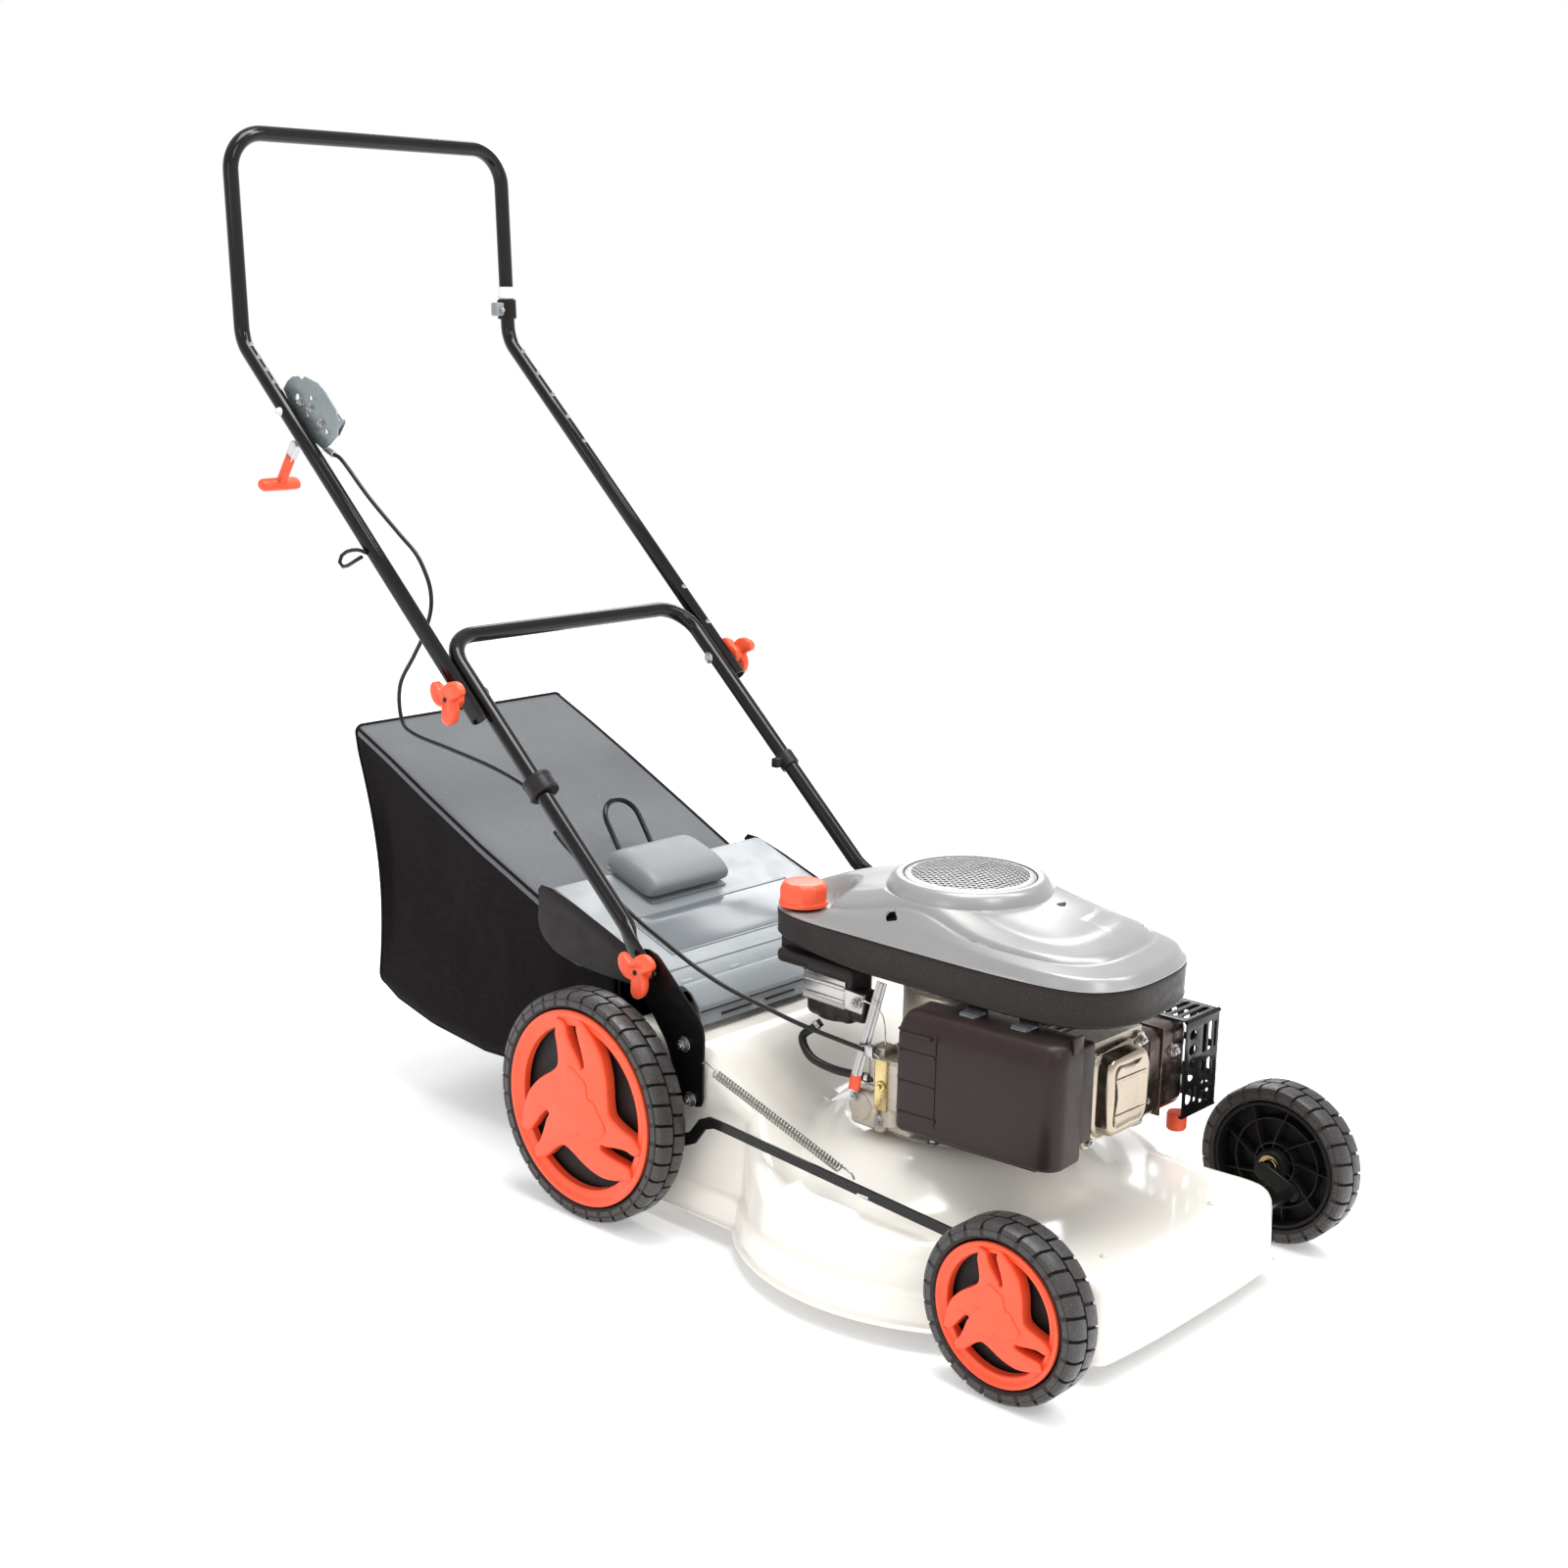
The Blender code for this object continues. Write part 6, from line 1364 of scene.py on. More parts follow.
cast = [block("cast_a", (-0.1480, -0.3260, 0.1640), (-0.1080, -0.2900, 0.2040), "cast", 0.0060, 3),
        rod("cast_lobe", (-0.1140, -0.3050, 0.1860), (-0.1500, -0.3050, 0.1860), 0.0150, "cast", bevel=0.0015, sides=32),
        rod("cast_lobe2", (-0.1100, -0.3270, 0.1720), (-0.1450, -0.3270, 0.1720), 0.0100, "cast", bevel=0.0015, sides=28),
        block("cast_b", (-0.1400, -0.3650, 0.1650), (-0.0960, -0.3200, 0.1800), "cast", 0.0030, 2),
        block("cast_c", (-0.1420, -0.3300, 0.2080), (-0.1180, -0.3080, 0.2520), "cast", 0.0040, 3),
        hex_bolt("cast_bolt", (-0.1500, -0.2990, 0.1960), (-1, 0, 0), 0.0046, 0.0050, "steel"),
        hex_bolt("cast_bolt2", (-0.1450, -0.3270, 0.1720), (-1, 0, 0), 0.0036, 0.0040, "steel"),
        hex_bolt("cast_bolt3", (-0.1425, -0.3190, 0.2420), (-1, 0, 0), 0.0036, 0.0040, "zinc")]
chassis(join("governor_casting", cast), slot="cast_alloy")
brass = [rod("jet", (-0.1480, -0.3330, 0.2160), (-0.1525, -0.3330, 0.2160), 0.0058, "brass", bevel=0.0008, sides=24),
         rod("jet2", (-0.1525, -0.3330, 0.2160), (-0.1550, -0.3330, 0.2160), 0.0030, "brass", bevel=0.0006, sides=6),
         bar("choke_plate", (-0.1492, -0.3330, 0.2440), (-0.1492, -0.3330, 0.1900), 0.0160, 0.0014, (-1, 0, 0), "brass", 0.0005)]
chassis(join("carb_brass", brass), slot="zinc")
for k, path in enumerate((((-0.1500, -0.3000, 0.2960), (-0.1490, -0.3080, 0.3010), (-0.1400, -0.3240, 0.2880), (-0.1400, -0.3300, 0.2560)),
                          ((-0.1505, -0.3000, 0.2520), (-0.1510, -0.3120, 0.2535), (-0.1500, -0.3200, 0.2500), (-0.1480, -0.3300, 0.2440)))):
    chassis(wire("linkage_%d" % k, smooth_path(path, 24), 0.0008, "steel", 8), slot="steel")
chassis(block("cable_stop", (-0.1530, -0.3230, 0.2440), (-0.1440, -0.3120, 0.2560), "zinc", 0.0012), slot="zinc")

# ------------------------------------------------------------------ cables and hose
def shifted(points):
    return [Vector((p[0], p[1] + SHIFT, p[2])) for p in points]


UPPER_ROUTE = [(-0.1955, 0.5215, 0.8060), (-0.1955, 0.508, 0.8020), (-0.1950, 0.4929, 0.7953), (-0.1927, 0.4466, 0.7560),
               (-0.1903, 0.3931, 0.7175), (-0.1880, 0.3657, 0.6972), (-0.1857, 0.3513, 0.6758), (-0.1833, 0.3449, 0.6543),
               (-0.1810, 0.3486, 0.6298), (-0.1785, 0.3658, 0.5994), (-0.1765, 0.3881, 0.5709), (-0.1755, 0.4174, 0.5313),
               (-0.1755, 0.4161, 0.4902), (-0.1755, 0.3926, 0.4754), (-0.1755, 0.3258, 0.4677), (-0.1755, 0.2520, 0.4590),
               (-0.1755, 0.1984, 0.4482), (-0.1755, 0.1620, 0.4350)]
LOWER_ROUTE = [(-0.1757, 0.1370, 0.4010), (-0.1757, 0.1209, 0.3893), (-0.1757, 0.0777, 0.3652), (-0.1757, 0.0376, 0.3442),
               (-0.1757, -0.0035, 0.3251), (-0.1757, -0.0436, 0.3101), (-0.1757, -0.0817, 0.2960), (-0.1706, -0.1158, 0.2826),
               (-0.1654, -0.1471, 0.2732), (-0.1603, -0.1807, 0.2657), (-0.1563, -0.2104, 0.2592), (-0.1535, -0.2424, 0.2548),
               (-0.1520, -0.2800, 0.2520), (-0.1510, -0.3110, 0.2500)]
HOSE_ROUTE = [(-0.1330, -0.2360, 0.2570), (-0.1400, -0.2310, 0.2510), (-0.1500, -0.2245, 0.2410), (-0.1550, -0.2411, 0.2253),
              (-0.1510, -0.2675, 0.2180), (-0.1440, -0.2950, 0.2165), (-0.1380, -0.3150, 0.2160)]
for name, route, count, a, b, start, end in (
        ("throttle_cable_upper", UPPER_ROUTE, 140, "upper_handle", "lower_handle", (-0.18, 0.345, 0.655), (-0.1755, 0.25, 0.459)),
        ("throttle_cable_lower", LOWER_ROUTE, 100, "lower_handle", "chassis", (-0.1757, 0.110, 0.385), (-0.165, -0.130, 0.275))):
    path = shifted(smooth_path(route, count))
    cable = wire(name + "_look", path, 0.0025, "hose", 14)
    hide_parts(name)
    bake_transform(cable)
path = shifted(smooth_path(HOSE_ROUTE, 60))
hose = wire("fuel_hose_look", path, 0.0045, "hose", 18)
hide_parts("fuel_hose")
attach(hose, "chassis")
hp = [Vector(p) for p in smooth_path(HOSE_ROUTE, 60)]
for k, i in enumerate((3, 55)):
    d = (hp[i + 1] - hp[i]).normalized()
    ring = lathe("hose_clamp_%d" % k, [(0.0046, -0.002), (0.0056, -0.002), (0.0056, 0.002), (0.0046, 0.002)], (0, 0, 0), "steel", "Z", 28)
    ring.data.transform(Matrix.Translation(hp[i]) @ d.to_track_quat("Z", "Y").to_matrix().to_4x4())
    chassis(ring, slot="steel")

# ------------------------------------------------------------------ spring, link, axles
s0, s1 = Vector((-0.2060, -0.1330, 0.2020)), Vector((-0.2060, -0.3480, 0.1360))
sd = (s1 - s0).normalized()
sa = sd.cross(Vector((1, 0, 0))).normalized()
sb = sd.cross(sa).normalized()
length = (s1 - s0).length
coil = []
turns, lead = 46, 0.020
for k in range(turns * 14 + 1):
    t = k / (turns * 14)
    a = math.tau * turns * t
    coil.append(s0 + sd * (lead + (length - 2 * lead) * t) + (sa * math.cos(a) + sb * math.sin(a)) * 0.0041)
front_hook = [s0 + sa * 0.0012, s0 + sd * 0.004 + sa * 0.0040, s0 + sd * 0.010 + sa * 0.0041]
rear_hook = [s1 - sd * 0.010 + sa * 0.0041, s1 - sd * 0.004 + sa * 0.0040, s1 + sa * 0.0012]
spring = wire("height_spring_look", [s0 - sd * 0.000, *front_hook, *coil, *rear_hook, s1], 0.0011, "spring", 7)
spring.data.transform(Matrix.Translation((0, SHIFT, 0)))
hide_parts("height_spring")
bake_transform(spring)

dress("height_link", "enamel", 0.0006, slot="black_enamel")
put(flat("link_slot", slot_hole(-0.3690, 0.1377 - 0.0100, 0.0150, 0.0022), 0.0004, "pale", place=at(-0.2167, 0, 0) @ IN_YZ), "height_link", slot="zinc")
dress("rear_axle", "enamel", 0.0006, slot="black_enamel")
dress("front_axle", "enamel", 0.0006, slot="black_enamel")
dress("height_lever", "enamel", 0.0008, slot="black_enamel")
dress("handle_bracket_right", "enamel", 0.0005, slot="black_enamel")
dress("handle_bracket_left", "enamel", 0.0005, slot="black_enamel")
dress("bag_frame", "gloss", slot="black_enamel", smooth=60)
dress("throttle_lever", "bracket", 0.0005, slot="zinc")
dress("throttle_knob", "orange", 0.0018, slot="orange_plastic", smooth=60)
dress("rope_guide", "gloss", slot="black_enamel", smooth=70)
dress("cable_clamp", "plastic", 0.0012, slot="black_plastic")
dress("flap_hinge_rod", "steel", 0.0004, slot="steel")
for side in (-1, 1):
    tag = "right" if side < 0 else "left"
    for k, (y, z) in enumerate(((-0.098, 0.213), (-0.108, 0.153))):
        b = hex_bolt("bracket_bolt_%s_%d" % (tag, k), (side * 0.1990, y, z), (side, 0, 0), 0.0058, 0.0062, "zinc")
        chassis(b, slot="zinc")

# ------------------------------------------------------------------ handles
TUBE_R, LOWER_X, UPPER_X = 0.0095, 0.1928, 0.2124
PIVOT_LOWER, PIVOT_UPPER = (-0.0430, 0.2855), (0.2484, 0.5459)
LOWER_CORNER, UPPER_BEND, UPPER_TOP = (0.3092, 0.6039), (0.669, 0.9313), (0.6833, 1.1799)


def rounded_path(points, radius, steps):
    points = [Vector(p) for p in points]
    out = [points[0]]
    for a, b, c in zip(points, points[1:], points[2:]):
        u, v = (a - b).normalized(), (c - b).normalized()
        angle = u.angle(v)
        reach = min(radius / math.tan(angle / 2), 0.48 * (a - b).length, 0.48 * (c - b).length)
        r = reach * math.tan(angle / 2)
        centre = b + (u + v).normalized() * (r / math.sin(angle / 2))
        start, end = b + u * reach - centre, b + v * reach - centre
        for k in range(steps + 1):
            t = k / steps
            w = start.angle(end)
            out.append(centre + (start * math.sin((1 - t) * w) + end * math.sin(t * w)) / math.sin(w))
    out.append(points[-1])
    return out


def on_handle(s):
    dy, dz = LOWER_CORNER[0] - PIVOT_LOWER[0], LOWER_CORNER[1] - PIVOT_LOWER[1]
    n = math.hypot(dy, dz)
    return (PIVOT_LOWER[0] + dy * s / n, PIVOT_LOWER[1] + dz * s / n)


uy, uz = UPPER_BEND[0] - PIVOT_UPPER[0], UPPER_BEND[1] - PIVOT_UPPER[1]
ul = math.hypot(uy, uz)
foot = (PIVOT_UPPER[0] - uy / ul * 0.034, PIVOT_UPPER[1] - uz / ul * 0.034)
leg = rounded_path([(-UPPER_X, *foot), (-UPPER_X, *UPPER_BEND), (-UPPER_X, *UPPER_TOP)], 0.045, 12)[:-1]
over = rounded_path([(-UPPER_X, UPPER_BEND[0] + 0.003, UPPER_BEND[1] + 0.05), (-UPPER_X, *UPPER_TOP), (UPPER_X, *UPPER_TOP),
                     (UPPER_X, UPPER_BEND[0] + 0.003, UPPER_BEND[1] + 0.05)], 0.047, 14)[1:-1]
full = leg + over + [Vector((-p.x, p.y, p.z)) for p in reversed(leg)]
upper = wire("upper_handle_look", full, TUBE_R - 0.00005, "gloss", 28, caps=False)
mod = upper.modifiers.new("wall", "SOLIDIFY")
mod.thickness = 0.0013
mod.offset = -1
put(upper, "upper_handle", "upper_handle", slot="black_enamel")

normal = Vector((0, -(LOWER_CORNER[1] - PIVOT_LOWER[1]), LOWER_CORNER[0] - PIVOT_LOWER[0])).normalized()
foot_leg = [((-0.2025, *on_handle(-0.0130)), 0.0028, 0.0080), ((-0.2025, *on_handle(-0.0100)), 0.0028, 0.0105), ((-0.2025, *on_handle(0.000)), 0.0028, 0.0120),
            ((-0.2025, *on_handle(0.0265)), 0.0028, 0.0120), ((-0.2008, *on_handle(0.034)), 0.0042, 0.0114), ((-0.1985, *on_handle(0.041)), 0.0060, 0.0106),
            ((-0.1950, *on_handle(0.049)), 0.0082, 0.0099), ((-LOWER_X, *on_handle(0.058)), TUBE_R, TUBE_R)]
bend = rounded_path([(-LOWER_X, *on_handle(0.064)), (-LOWER_X, *LOWER_CORNER), (LOWER_X, *LOWER_CORNER), (LOWER_X, *on_handle(0.064))], 0.042, 16)
stations = foot_leg + [(tuple(p), TUBE_R, TUBE_R) for p in bend[0:]] + [((-p[0], p[1], p[2]), a, b) for (p, a, b) in reversed(foot_leg)]
pts = [Vector(s[0]) for s in stations]
rings = []
for i, (p, across, along_n) in enumerate(stations):
    d = (pts[min(i + 1, len(pts) - 1)] - pts[max(i - 1, 0)]).normalized()
    side = d.cross(normal).normalized()
    rings.append([pts[i] + side * across * math.cos(math.tau * k / 28) + normal * along_n * math.sin(math.tau * k / 28) for k in range(28)])
put(loft("lower_handle_look", rings, "gloss", 180), "lower_handle", "lower_handle", slot="black_enamel")


# Knobs: three curled wings round a boss.
def knob(name, x0, y, z, side, depth):
    def ring(out, scale, wing, shrink=0.0):
        pts = []
        for k in range(96):
            t = math.tau * k / 96
            lobe = (0.5 + 0.5 * math.cos(3 * t)) ** 0.85
            r = (0.0118 + wing * 0.0182 * lobe) * scale - shrink
            twist = t + 0.50 * wing * lobe
            pts.append((x0 + side * (out - 0.0022 * wing * (r - 0.0115) / 0.02 * 0), y + r * math.cos(twist), z + r * math.sin(twist)))
        return pts
    boss = depth * 0.42
    body = loft(name + "_body", [ring(0.0003, 0.93, 0), ring(0.0010, 1.0, 0), ring(boss, 1.0, 0), ring(boss + 0.0010, 0.98, 0.93, 0.0006), ring(boss + 0.0022, 1.0, 1.0),
                                 ring(depth - 0.0036, 1.0, 1.0), ring(depth - 0.0018, 0.98, 1.0, 0.0004), ring(depth - 0.0006, 0.94, 1.0, 0.0012),
                                 ring(depth, 0.86, 1.0, 0.0022), ring(depth - 0.0004, 0.62, 0.8, 0.002), ring(depth - 0.0016, 0.50, 0.5, 0.001), ring(depth - 0.0018, 0.50, 0.0)],
                "orange", 60)
    # Dark disk on the face: painted shade of the bolt hole.
    dark = rod(name + "_hole", (x0 + side * (depth - 0.0030), y, z), (x0 + side * (depth - 0.0012), y, z), 0.0030, "dark", sides=20)
    return join(name + "_look", [body, dark])


for tag, side in (("right", -1), ("left", 1)):
    put(knob("upper_knob_" + tag, side * (UPPER_X + TUBE_R), *PIVOT_UPPER, side, 0.0215), "upper_knob_" + tag, "upper_knob_" + tag, slot="orange_plastic")
    put(knob("lower_knob_" + tag, side * 0.2053, *PIVOT_LOWER, side, 0.0172), "lower_knob_" + tag, "lower_knob_" + tag, slot="orange_plastic")
    # Round-headed bolts on the inner faces.
    for n, x, (y, z), body in (("upper", LOWER_X - TUBE_R, PIVOT_UPPER, "lower_handle"), ("lower", 0.1965, PIVOT_LOWER, "chassis")):
        head = rod("%s_carriage_bolt_%s" % (n, tag), (side * x, y, z), (side * (x - 0.0035), y, z), 0.0075, "zinc", r1=0.0046, bevel=0.0008, sides=28)
        put(head, body, slot="zinc")
# Stop rivets above the upper joint, on the near and far tubes.
def upper_side(s, x, up):
    """A point s along the upper handle from its pivot, raised on the tube's upper side."""
    d = Vector((0, uy, uz)).normalized()
    nrm = Vector((0, -uz, uy)).normalized()
    p = Vector((x, *PIVOT_UPPER)) + d * s
    return p + nrm * up, nrm, d


for k, (s, x) in enumerate(((0.5560, -UPPER_X), (0.5340, -UPPER_X), (0.5130, -UPPER_X), (0.4920, -UPPER_X), (0.5380, UPPER_X), (0.4960, UPPER_X),
                            (0.4560, UPPER_X), (0.4150, UPPER_X), (0.3700, UPPER_X), (0.1100, UPPER_X), (0.0500, UPPER_X))):
    if s > ul - 0.014:
        continue
    p, nrm, d = upper_side(s, x, TUBE_R - 0.0012)
    put(rod("handle_rivet_%d" % k, p, p + nrm * 0.0034, 0.0036, "zinc", r1=0.0022, bevel=0.0006, sides=18), "upper_handle", slot="zinc")
p, nrm, d = upper_side(0.4510, -UPPER_X, 0.0)
put(rod("throttle_bolt_cap", p + Vector((-0.0088, 0, 0)), p + Vector((-0.0150, 0, 0)), 0.0055, "pale", r1=0.0040, bevel=0.0010, sides=24), "upper_handle", slot="zinc")
# Clip that holds the starter rope, on the far upright.
up0 = Vector((UPPER_X, UPPER_BEND[0] + 0.0022, UPPER_BEND[1] + 0.0270))
up1 = Vector((UPPER_X, *UPPER_TOP))
ud = (up1 - up0).normalized()
holder = [rod("holder_band", up0, up0 + ud * 0.0260, 0.0128, "dull", bevel=0.0012, sides=32),
          block("holder_ear", (UPPER_X - 0.0240, up0.y - 0.0060, up0.z + 0.0040), (UPPER_X - 0.0090, up0.y + 0.0060, up0.z + 0.0220), "grey", 0.0020),
          rod("holder_cap", up0 + ud * 0.0260, up0 + ud * 0.0440, 0.0118, "pale", r1=0.0102, bevel=0.0020, sides=32),
          rod("holder_pin", up0 + Vector((-0.0160, -0.0120, 0.012)), up0 + Vector((-0.0160, 0.0120, 0.012)), 0.0030, "zinc", bevel=0.0006)]
put(join("upright_holder", holder), "upper_handle", slot="grey_plastic")
# Cable clamp on the far leg, and straps on both.
cy, cz = on_handle(0.2180)
ad = Vector((0, LOWER_CORNER[0] - PIVOT_LOWER[0], LOWER_CORNER[1] - PIVOT_LOWER[1])).normalized()
far = [rod("far_band", Vector((LOWER_X, cy, cz)) - ad * 0.0100, Vector((LOWER_X, cy, cz)) + ad * 0.0100, 0.0122, "plastic", bevel=0.0012, sides=32),
       block("far_tab", (LOWER_X - 0.0240, cy - 0.0050, cz - 0.0060), (LOWER_X - 0.0100, cy + 0.0050, cz + 0.0060), "plastic", 0.0016)]
put(join("far_clamp", far), "lower_handle", slot="black_plastic")
cy, cz = on_handle(0.2520)
near = []
for s in (-0.0085, 0.0085):
    q = Vector((-0.1900, cy, cz)) + ad * s
    near.append(rod("near_band", q - ad * 0.0020, q + ad * 0.0020, 0.0182, "plastic", bevel=0.0008, sides=36))
near.append(block("near_tab", (-0.1960, cy + 0.0060, cz - 0.0200), (-0.1880, cy + 0.0120, cz - 0.0130), "plastic", 0.0012))
put(join("near_clamp_bands", near), "lower_handle", slot="black_plastic")

# ------------------------------------------------------------------ throttle control
notch = [(0.601, 0.876), (0.592, 0.886), (0.581, 0.892), (0.570, 0.893), (0.562, 0.889), (0.556, 0.893), (0.545, 0.890), (0.530, 0.886), (0.517, 0.878),
         (0.494, 0.856), (0.491, 0.840), (0.493, 0.826), (0.508, 0.815), (0.522, 0.808), (0.540, 0.816), (0.556, 0.826), (0.580, 0.850)]
tb = [flat("throttle_plate", round_loop([(y, z, 1) for y, z in notch], 2), 0.0020, "bracket",
           holes=[ngon(0.572, 0.868, 0.0042, 16), slot_hole(0.545, 0.868, 0.0070, 0.0050), ngon(0.515, 0.830, 0.0035, 14)],
           bevel=0.0004, place=at(-0.2015, 0, 0) @ IN_YZ)]
tb.append(bar("channel_top", (-0.1960, 0.5480, 0.8790), (-0.1960, 0.4985, 0.8420), 0.0110, 0.0014, (0, -0.6, 0.8), "bracket", 0.0005))
tb.append(bar("channel_low", (-0.1955, 0.5480, 0.8620), (-0.1955, 0.5060, 0.8255), 0.0120, 0.0014, (0, -0.6, 0.8), "zinc", 0.0005))
tb.append(bar("channel_side", (-0.1895, 0.5500, 0.8720), (-0.1895, 0.5000, 0.8330), 0.0200, 0.0012, (1, 0, 0), "bracket", 0.0005))
tb.append(bar("end_tab", (-0.1960, 0.4930, 0.8440), (-0.1960, 0.5140, 0.8220), 0.0120, 0.0014, (0, 0.7, 0.7), "zinc", 0.0005))
for k, (y, z) in enumerate(((0.5440, 0.8560), (0.5230, 0.8390), (0.5640, 0.8620))):
    tb.append(hex_bolt("throttle_bolt", (-0.2026, y, z), (-1, 0, 0), 0.0040, 0.0040, "zinc"))
tb.append(rod("pivot_barrel", (-0.2045, 0.553, 0.848), (-0.1905, 0.553, 0.848), 0.0045, "zinc", bevel=0.0008))
tb.append(rod("cable_ferrule", (-0.1955, 0.5280, 0.8090), (-0.1955, 0.5090, 0.8022), 0.0042, "steel", bevel=0.0008))
tb.append(wire("control_wire", smooth_path([(-0.1955, 0.5240, 0.8075), (-0.1955, 0.5330, 0.8150), (-0.1955, 0.5480, 0.8310), (-0.1960, 0.5520, 0.8370)], 16), 0.0007, "steel", 8))
put(join("throttle_bracket_look", tb), "upper_handle", "throttle_bracket", slot="zinc")
lever_dir = Vector((0.6180 - 0.553, 0.7560 - 0.848)).normalized()
stem0 = Vector((-0.2015, 0.553 + lever_dir.x * 0.046, 0.848 + lever_dir.y * 0.046))
stem1 = Vector((-0.2015, 0.553 + lever_dir.x * 0.066, 0.848 + lever_dir.y * 0.066))
put(bar("throttle_stem", stem0, stem1, 0.0120, 0.0050, (-1, 0, 0), "pale", 0.0015), "throttle", slot="zinc")

# ------------------------------------------------------------------ flap, cowl
dress("rear_flap", "grey", 0.0008, slot="grey_plastic", smooth=30)
hy, hz = -0.050, 0.257
slope = math.atan2(0.071, 0.205)
fcs, fsn = math.cos(slope), math.sin(slope)


def flap_point(s, up_by, x=0.0):
    return Vector((x, hy + fcs * s - fsn * up_by, hz + fsn * s + fcs * up_by))


FLAP = Matrix(((1, 0, 0, 0), (0, fcs, -fsn, hy), (0, fsn, fcs, hz), (0, 0, 0, 1)))   # local (x, s, up)


def on_flap(obj, *nodes, slot="grey_plastic"):
    obj.data.transform(FLAP)
    return put(obj, "flap", *nodes, slot=slot)


grip_rings = []
for x, k in ((-0.0828, 0.30), (-0.0822, 0.55), (-0.0805, 0.76), (-0.0775, 0.90), (-0.0725, 0.975), (-0.0640, 1.0), (-0.020, 1.0), (0.026, 1.0), (0.0345, 0.975), (0.0395, 0.90),
             (0.0425, 0.76), (0.0442, 0.55), (0.0448, 0.30)):
    ring = []
    for n in range(40):
        t = math.tau * n / 40
        cs_, sn_ = math.cos(t), math.sin(t)
        px = math.copysign(abs(cs_) ** 0.62, cs_) * 0.0425 * (0.80 + 0.20 * k)
        pu = math.copysign(abs(sn_) ** 0.70, sn_) * 0.0148 * k
        ring.append((x, 0.1788 + px, 0.0078 + 0.0150 * (0.45 + 0.55 * k) + pu + 0.0022 * math.cos(px * 30) * k))
    grip_rings.append(ring)
grip = loft("grip_body", grip_rings, "grip", 60)
seam = block("grip_seam", (-0.0800, 0.1360, 0.0076), (0.0420, 0.2212, 0.0090), "grip", 0.0006)
on_flap(join("flap_grip_look", [grip, seam]), "flap_grip")
pane = []
for x0, x1, s0_, s1_ in ((-0.128, 0.128, 0.048, 0.118),):
    pane.append(flat("pane", [(x, y) for x, y in round_loop([(x0, s0_, 1), (x1, s0_, 1), (x1, s1_, 1), (x0, s1_, 1)], 3)], 0.0006, "window", bevel=0.0002,
                     place=at(0, 0, 0.0074)))
frame_bits = [block("pane_edge", (-0.1315, s - 0.0012, 0.0070), (0.1315, s + 0.0012, 0.0082), "grey", 0.0004) for s in (0.0455, 0.1205)]
frame_bits += [block("pane_edge", (x - 0.0012, 0.0455, 0.0070), (x + 0.0012, 0.1205, 0.0082), "grey", 0.0004) for x in (-0.1305, 0.1305)]
frame_bits.append(block("flap_step", (-0.1640, 0.0195, 0.0068), (0.1640, 0.0225, 0.0084), "grey", 0.0006))
on_flap(join("flap_pane", pane + frame_bits))
for side in (-1, 1):
    outline = round_loop([(0.006, 0.0060), (0.210, 0.0060), (0.2240, -0.024), (0.2060, -0.0560), (0.150, -0.0585), (0.020, -0.0150)], 4)
    cheek = flat("cheek_skin_%s" % ("right" if side < 0 else "left"), outline, 0.0008, "dull", bevel=0.0002, place=at(side * 0.1721, 0, 0) @ IN_YZ)
    on_flap(cheek)
bosses = []
for x in (-0.150, -0.075, 0.075, 0.150):
    bosses.append(rod("knuckle", (x - 0.009, 0.0, 0.0), (x + 0.009, 0.0, 0.0), 0.0068, "grey", bevel=0.0008, sides=28))
on_flap(join("flap_knuckles", bosses))
dress("hinge_cowl", "grey", 0.0010, slot="grey_plastic", smooth=40)
# Dark strips on the cowl face: painted shade of four slots and of a gap line.
slots = []
for x in (-0.110, -0.040, 0.030, 0.100):
    slots.append(block("cowl_slot", (x - 0.024, -0.0915, 0.2290), (x + 0.024, -0.0895, 0.2312), "dark", 0.0003))
slots.append(block("cowl_line", (-0.1640, -0.0892, 0.2375), (0.1640, -0.0872, 0.2385), "dark", 0.0003))
chassis(join("cowl_slots", slots), slot="black_plastic")
bow = [(-0.0265, 0.1770, 0.3240), (-0.0265, 0.1880, 0.3397), (-0.0265, 0.2000, 0.3567)]
for k in range(13):
    a = math.pi * k / 12
    bow.append((-0.0265 * math.cos(a), 0.2110 + 0.0153 * math.sin(a), 0.3723 + 0.0217 * math.sin(a)))
bow += [(-x, y, z) for x, y, z in reversed(bow[:3])]
put(wire("bag_handle_look", bow, 0.0032, "gloss", 16), "bag_handle", "bag_handle", slot="black_enamel")

# ------------------------------------------------------------------ grass bag
STATIONS = [(0.0560, 0.118, 0.262, 0.158), (0.110, 0.106, 0.284, 0.162), (0.180, 0.093, 0.314, 0.166),
            (0.280, 0.090, 0.358, 0.170), (0.380, 0.100, 0.404, 0.171), (0.452, 0.116, 0.437, 0.170)]
PER = 44


def bag_ring(lo, hi, half):
    """A rounded section with even steps along its four sides; (x, z, side) with side 0 bottom, 1 right, 2 top, 3 left."""
    pts = []
    rb, rt = 0.026, 0.010
    corners = [(-half, lo), (half, lo), (half, hi), (-half, hi)]
    radii = [rb, rb, rt, rt]
    for side in range(4):
        a, b = Vector(corners[side]), Vector(corners[(side + 1) % 4])
        d = (b - a).normalized()
        pa, pb = a + d * radii[side], b - d * radii[(side + 1) % 4]
        for k in range(PER - 8):
            t = k / (PER - 8)
            p = pa.lerp(pb, t)
            pts.append((p.x, p.y, side, t))
        nxt = (Vector(corners[(side + 2) % 4]) - b).normalized()
        r = radii[(side + 1) % 4]
        centre = b - d * r + nxt * r
        for k in range(8):
            t = math.radians(90 * k / 8)
            p = centre + d * r * math.sin(t) - nxt * r * math.cos(t)
            pts.append((p.x, p.y, side, 1.0))
    return pts


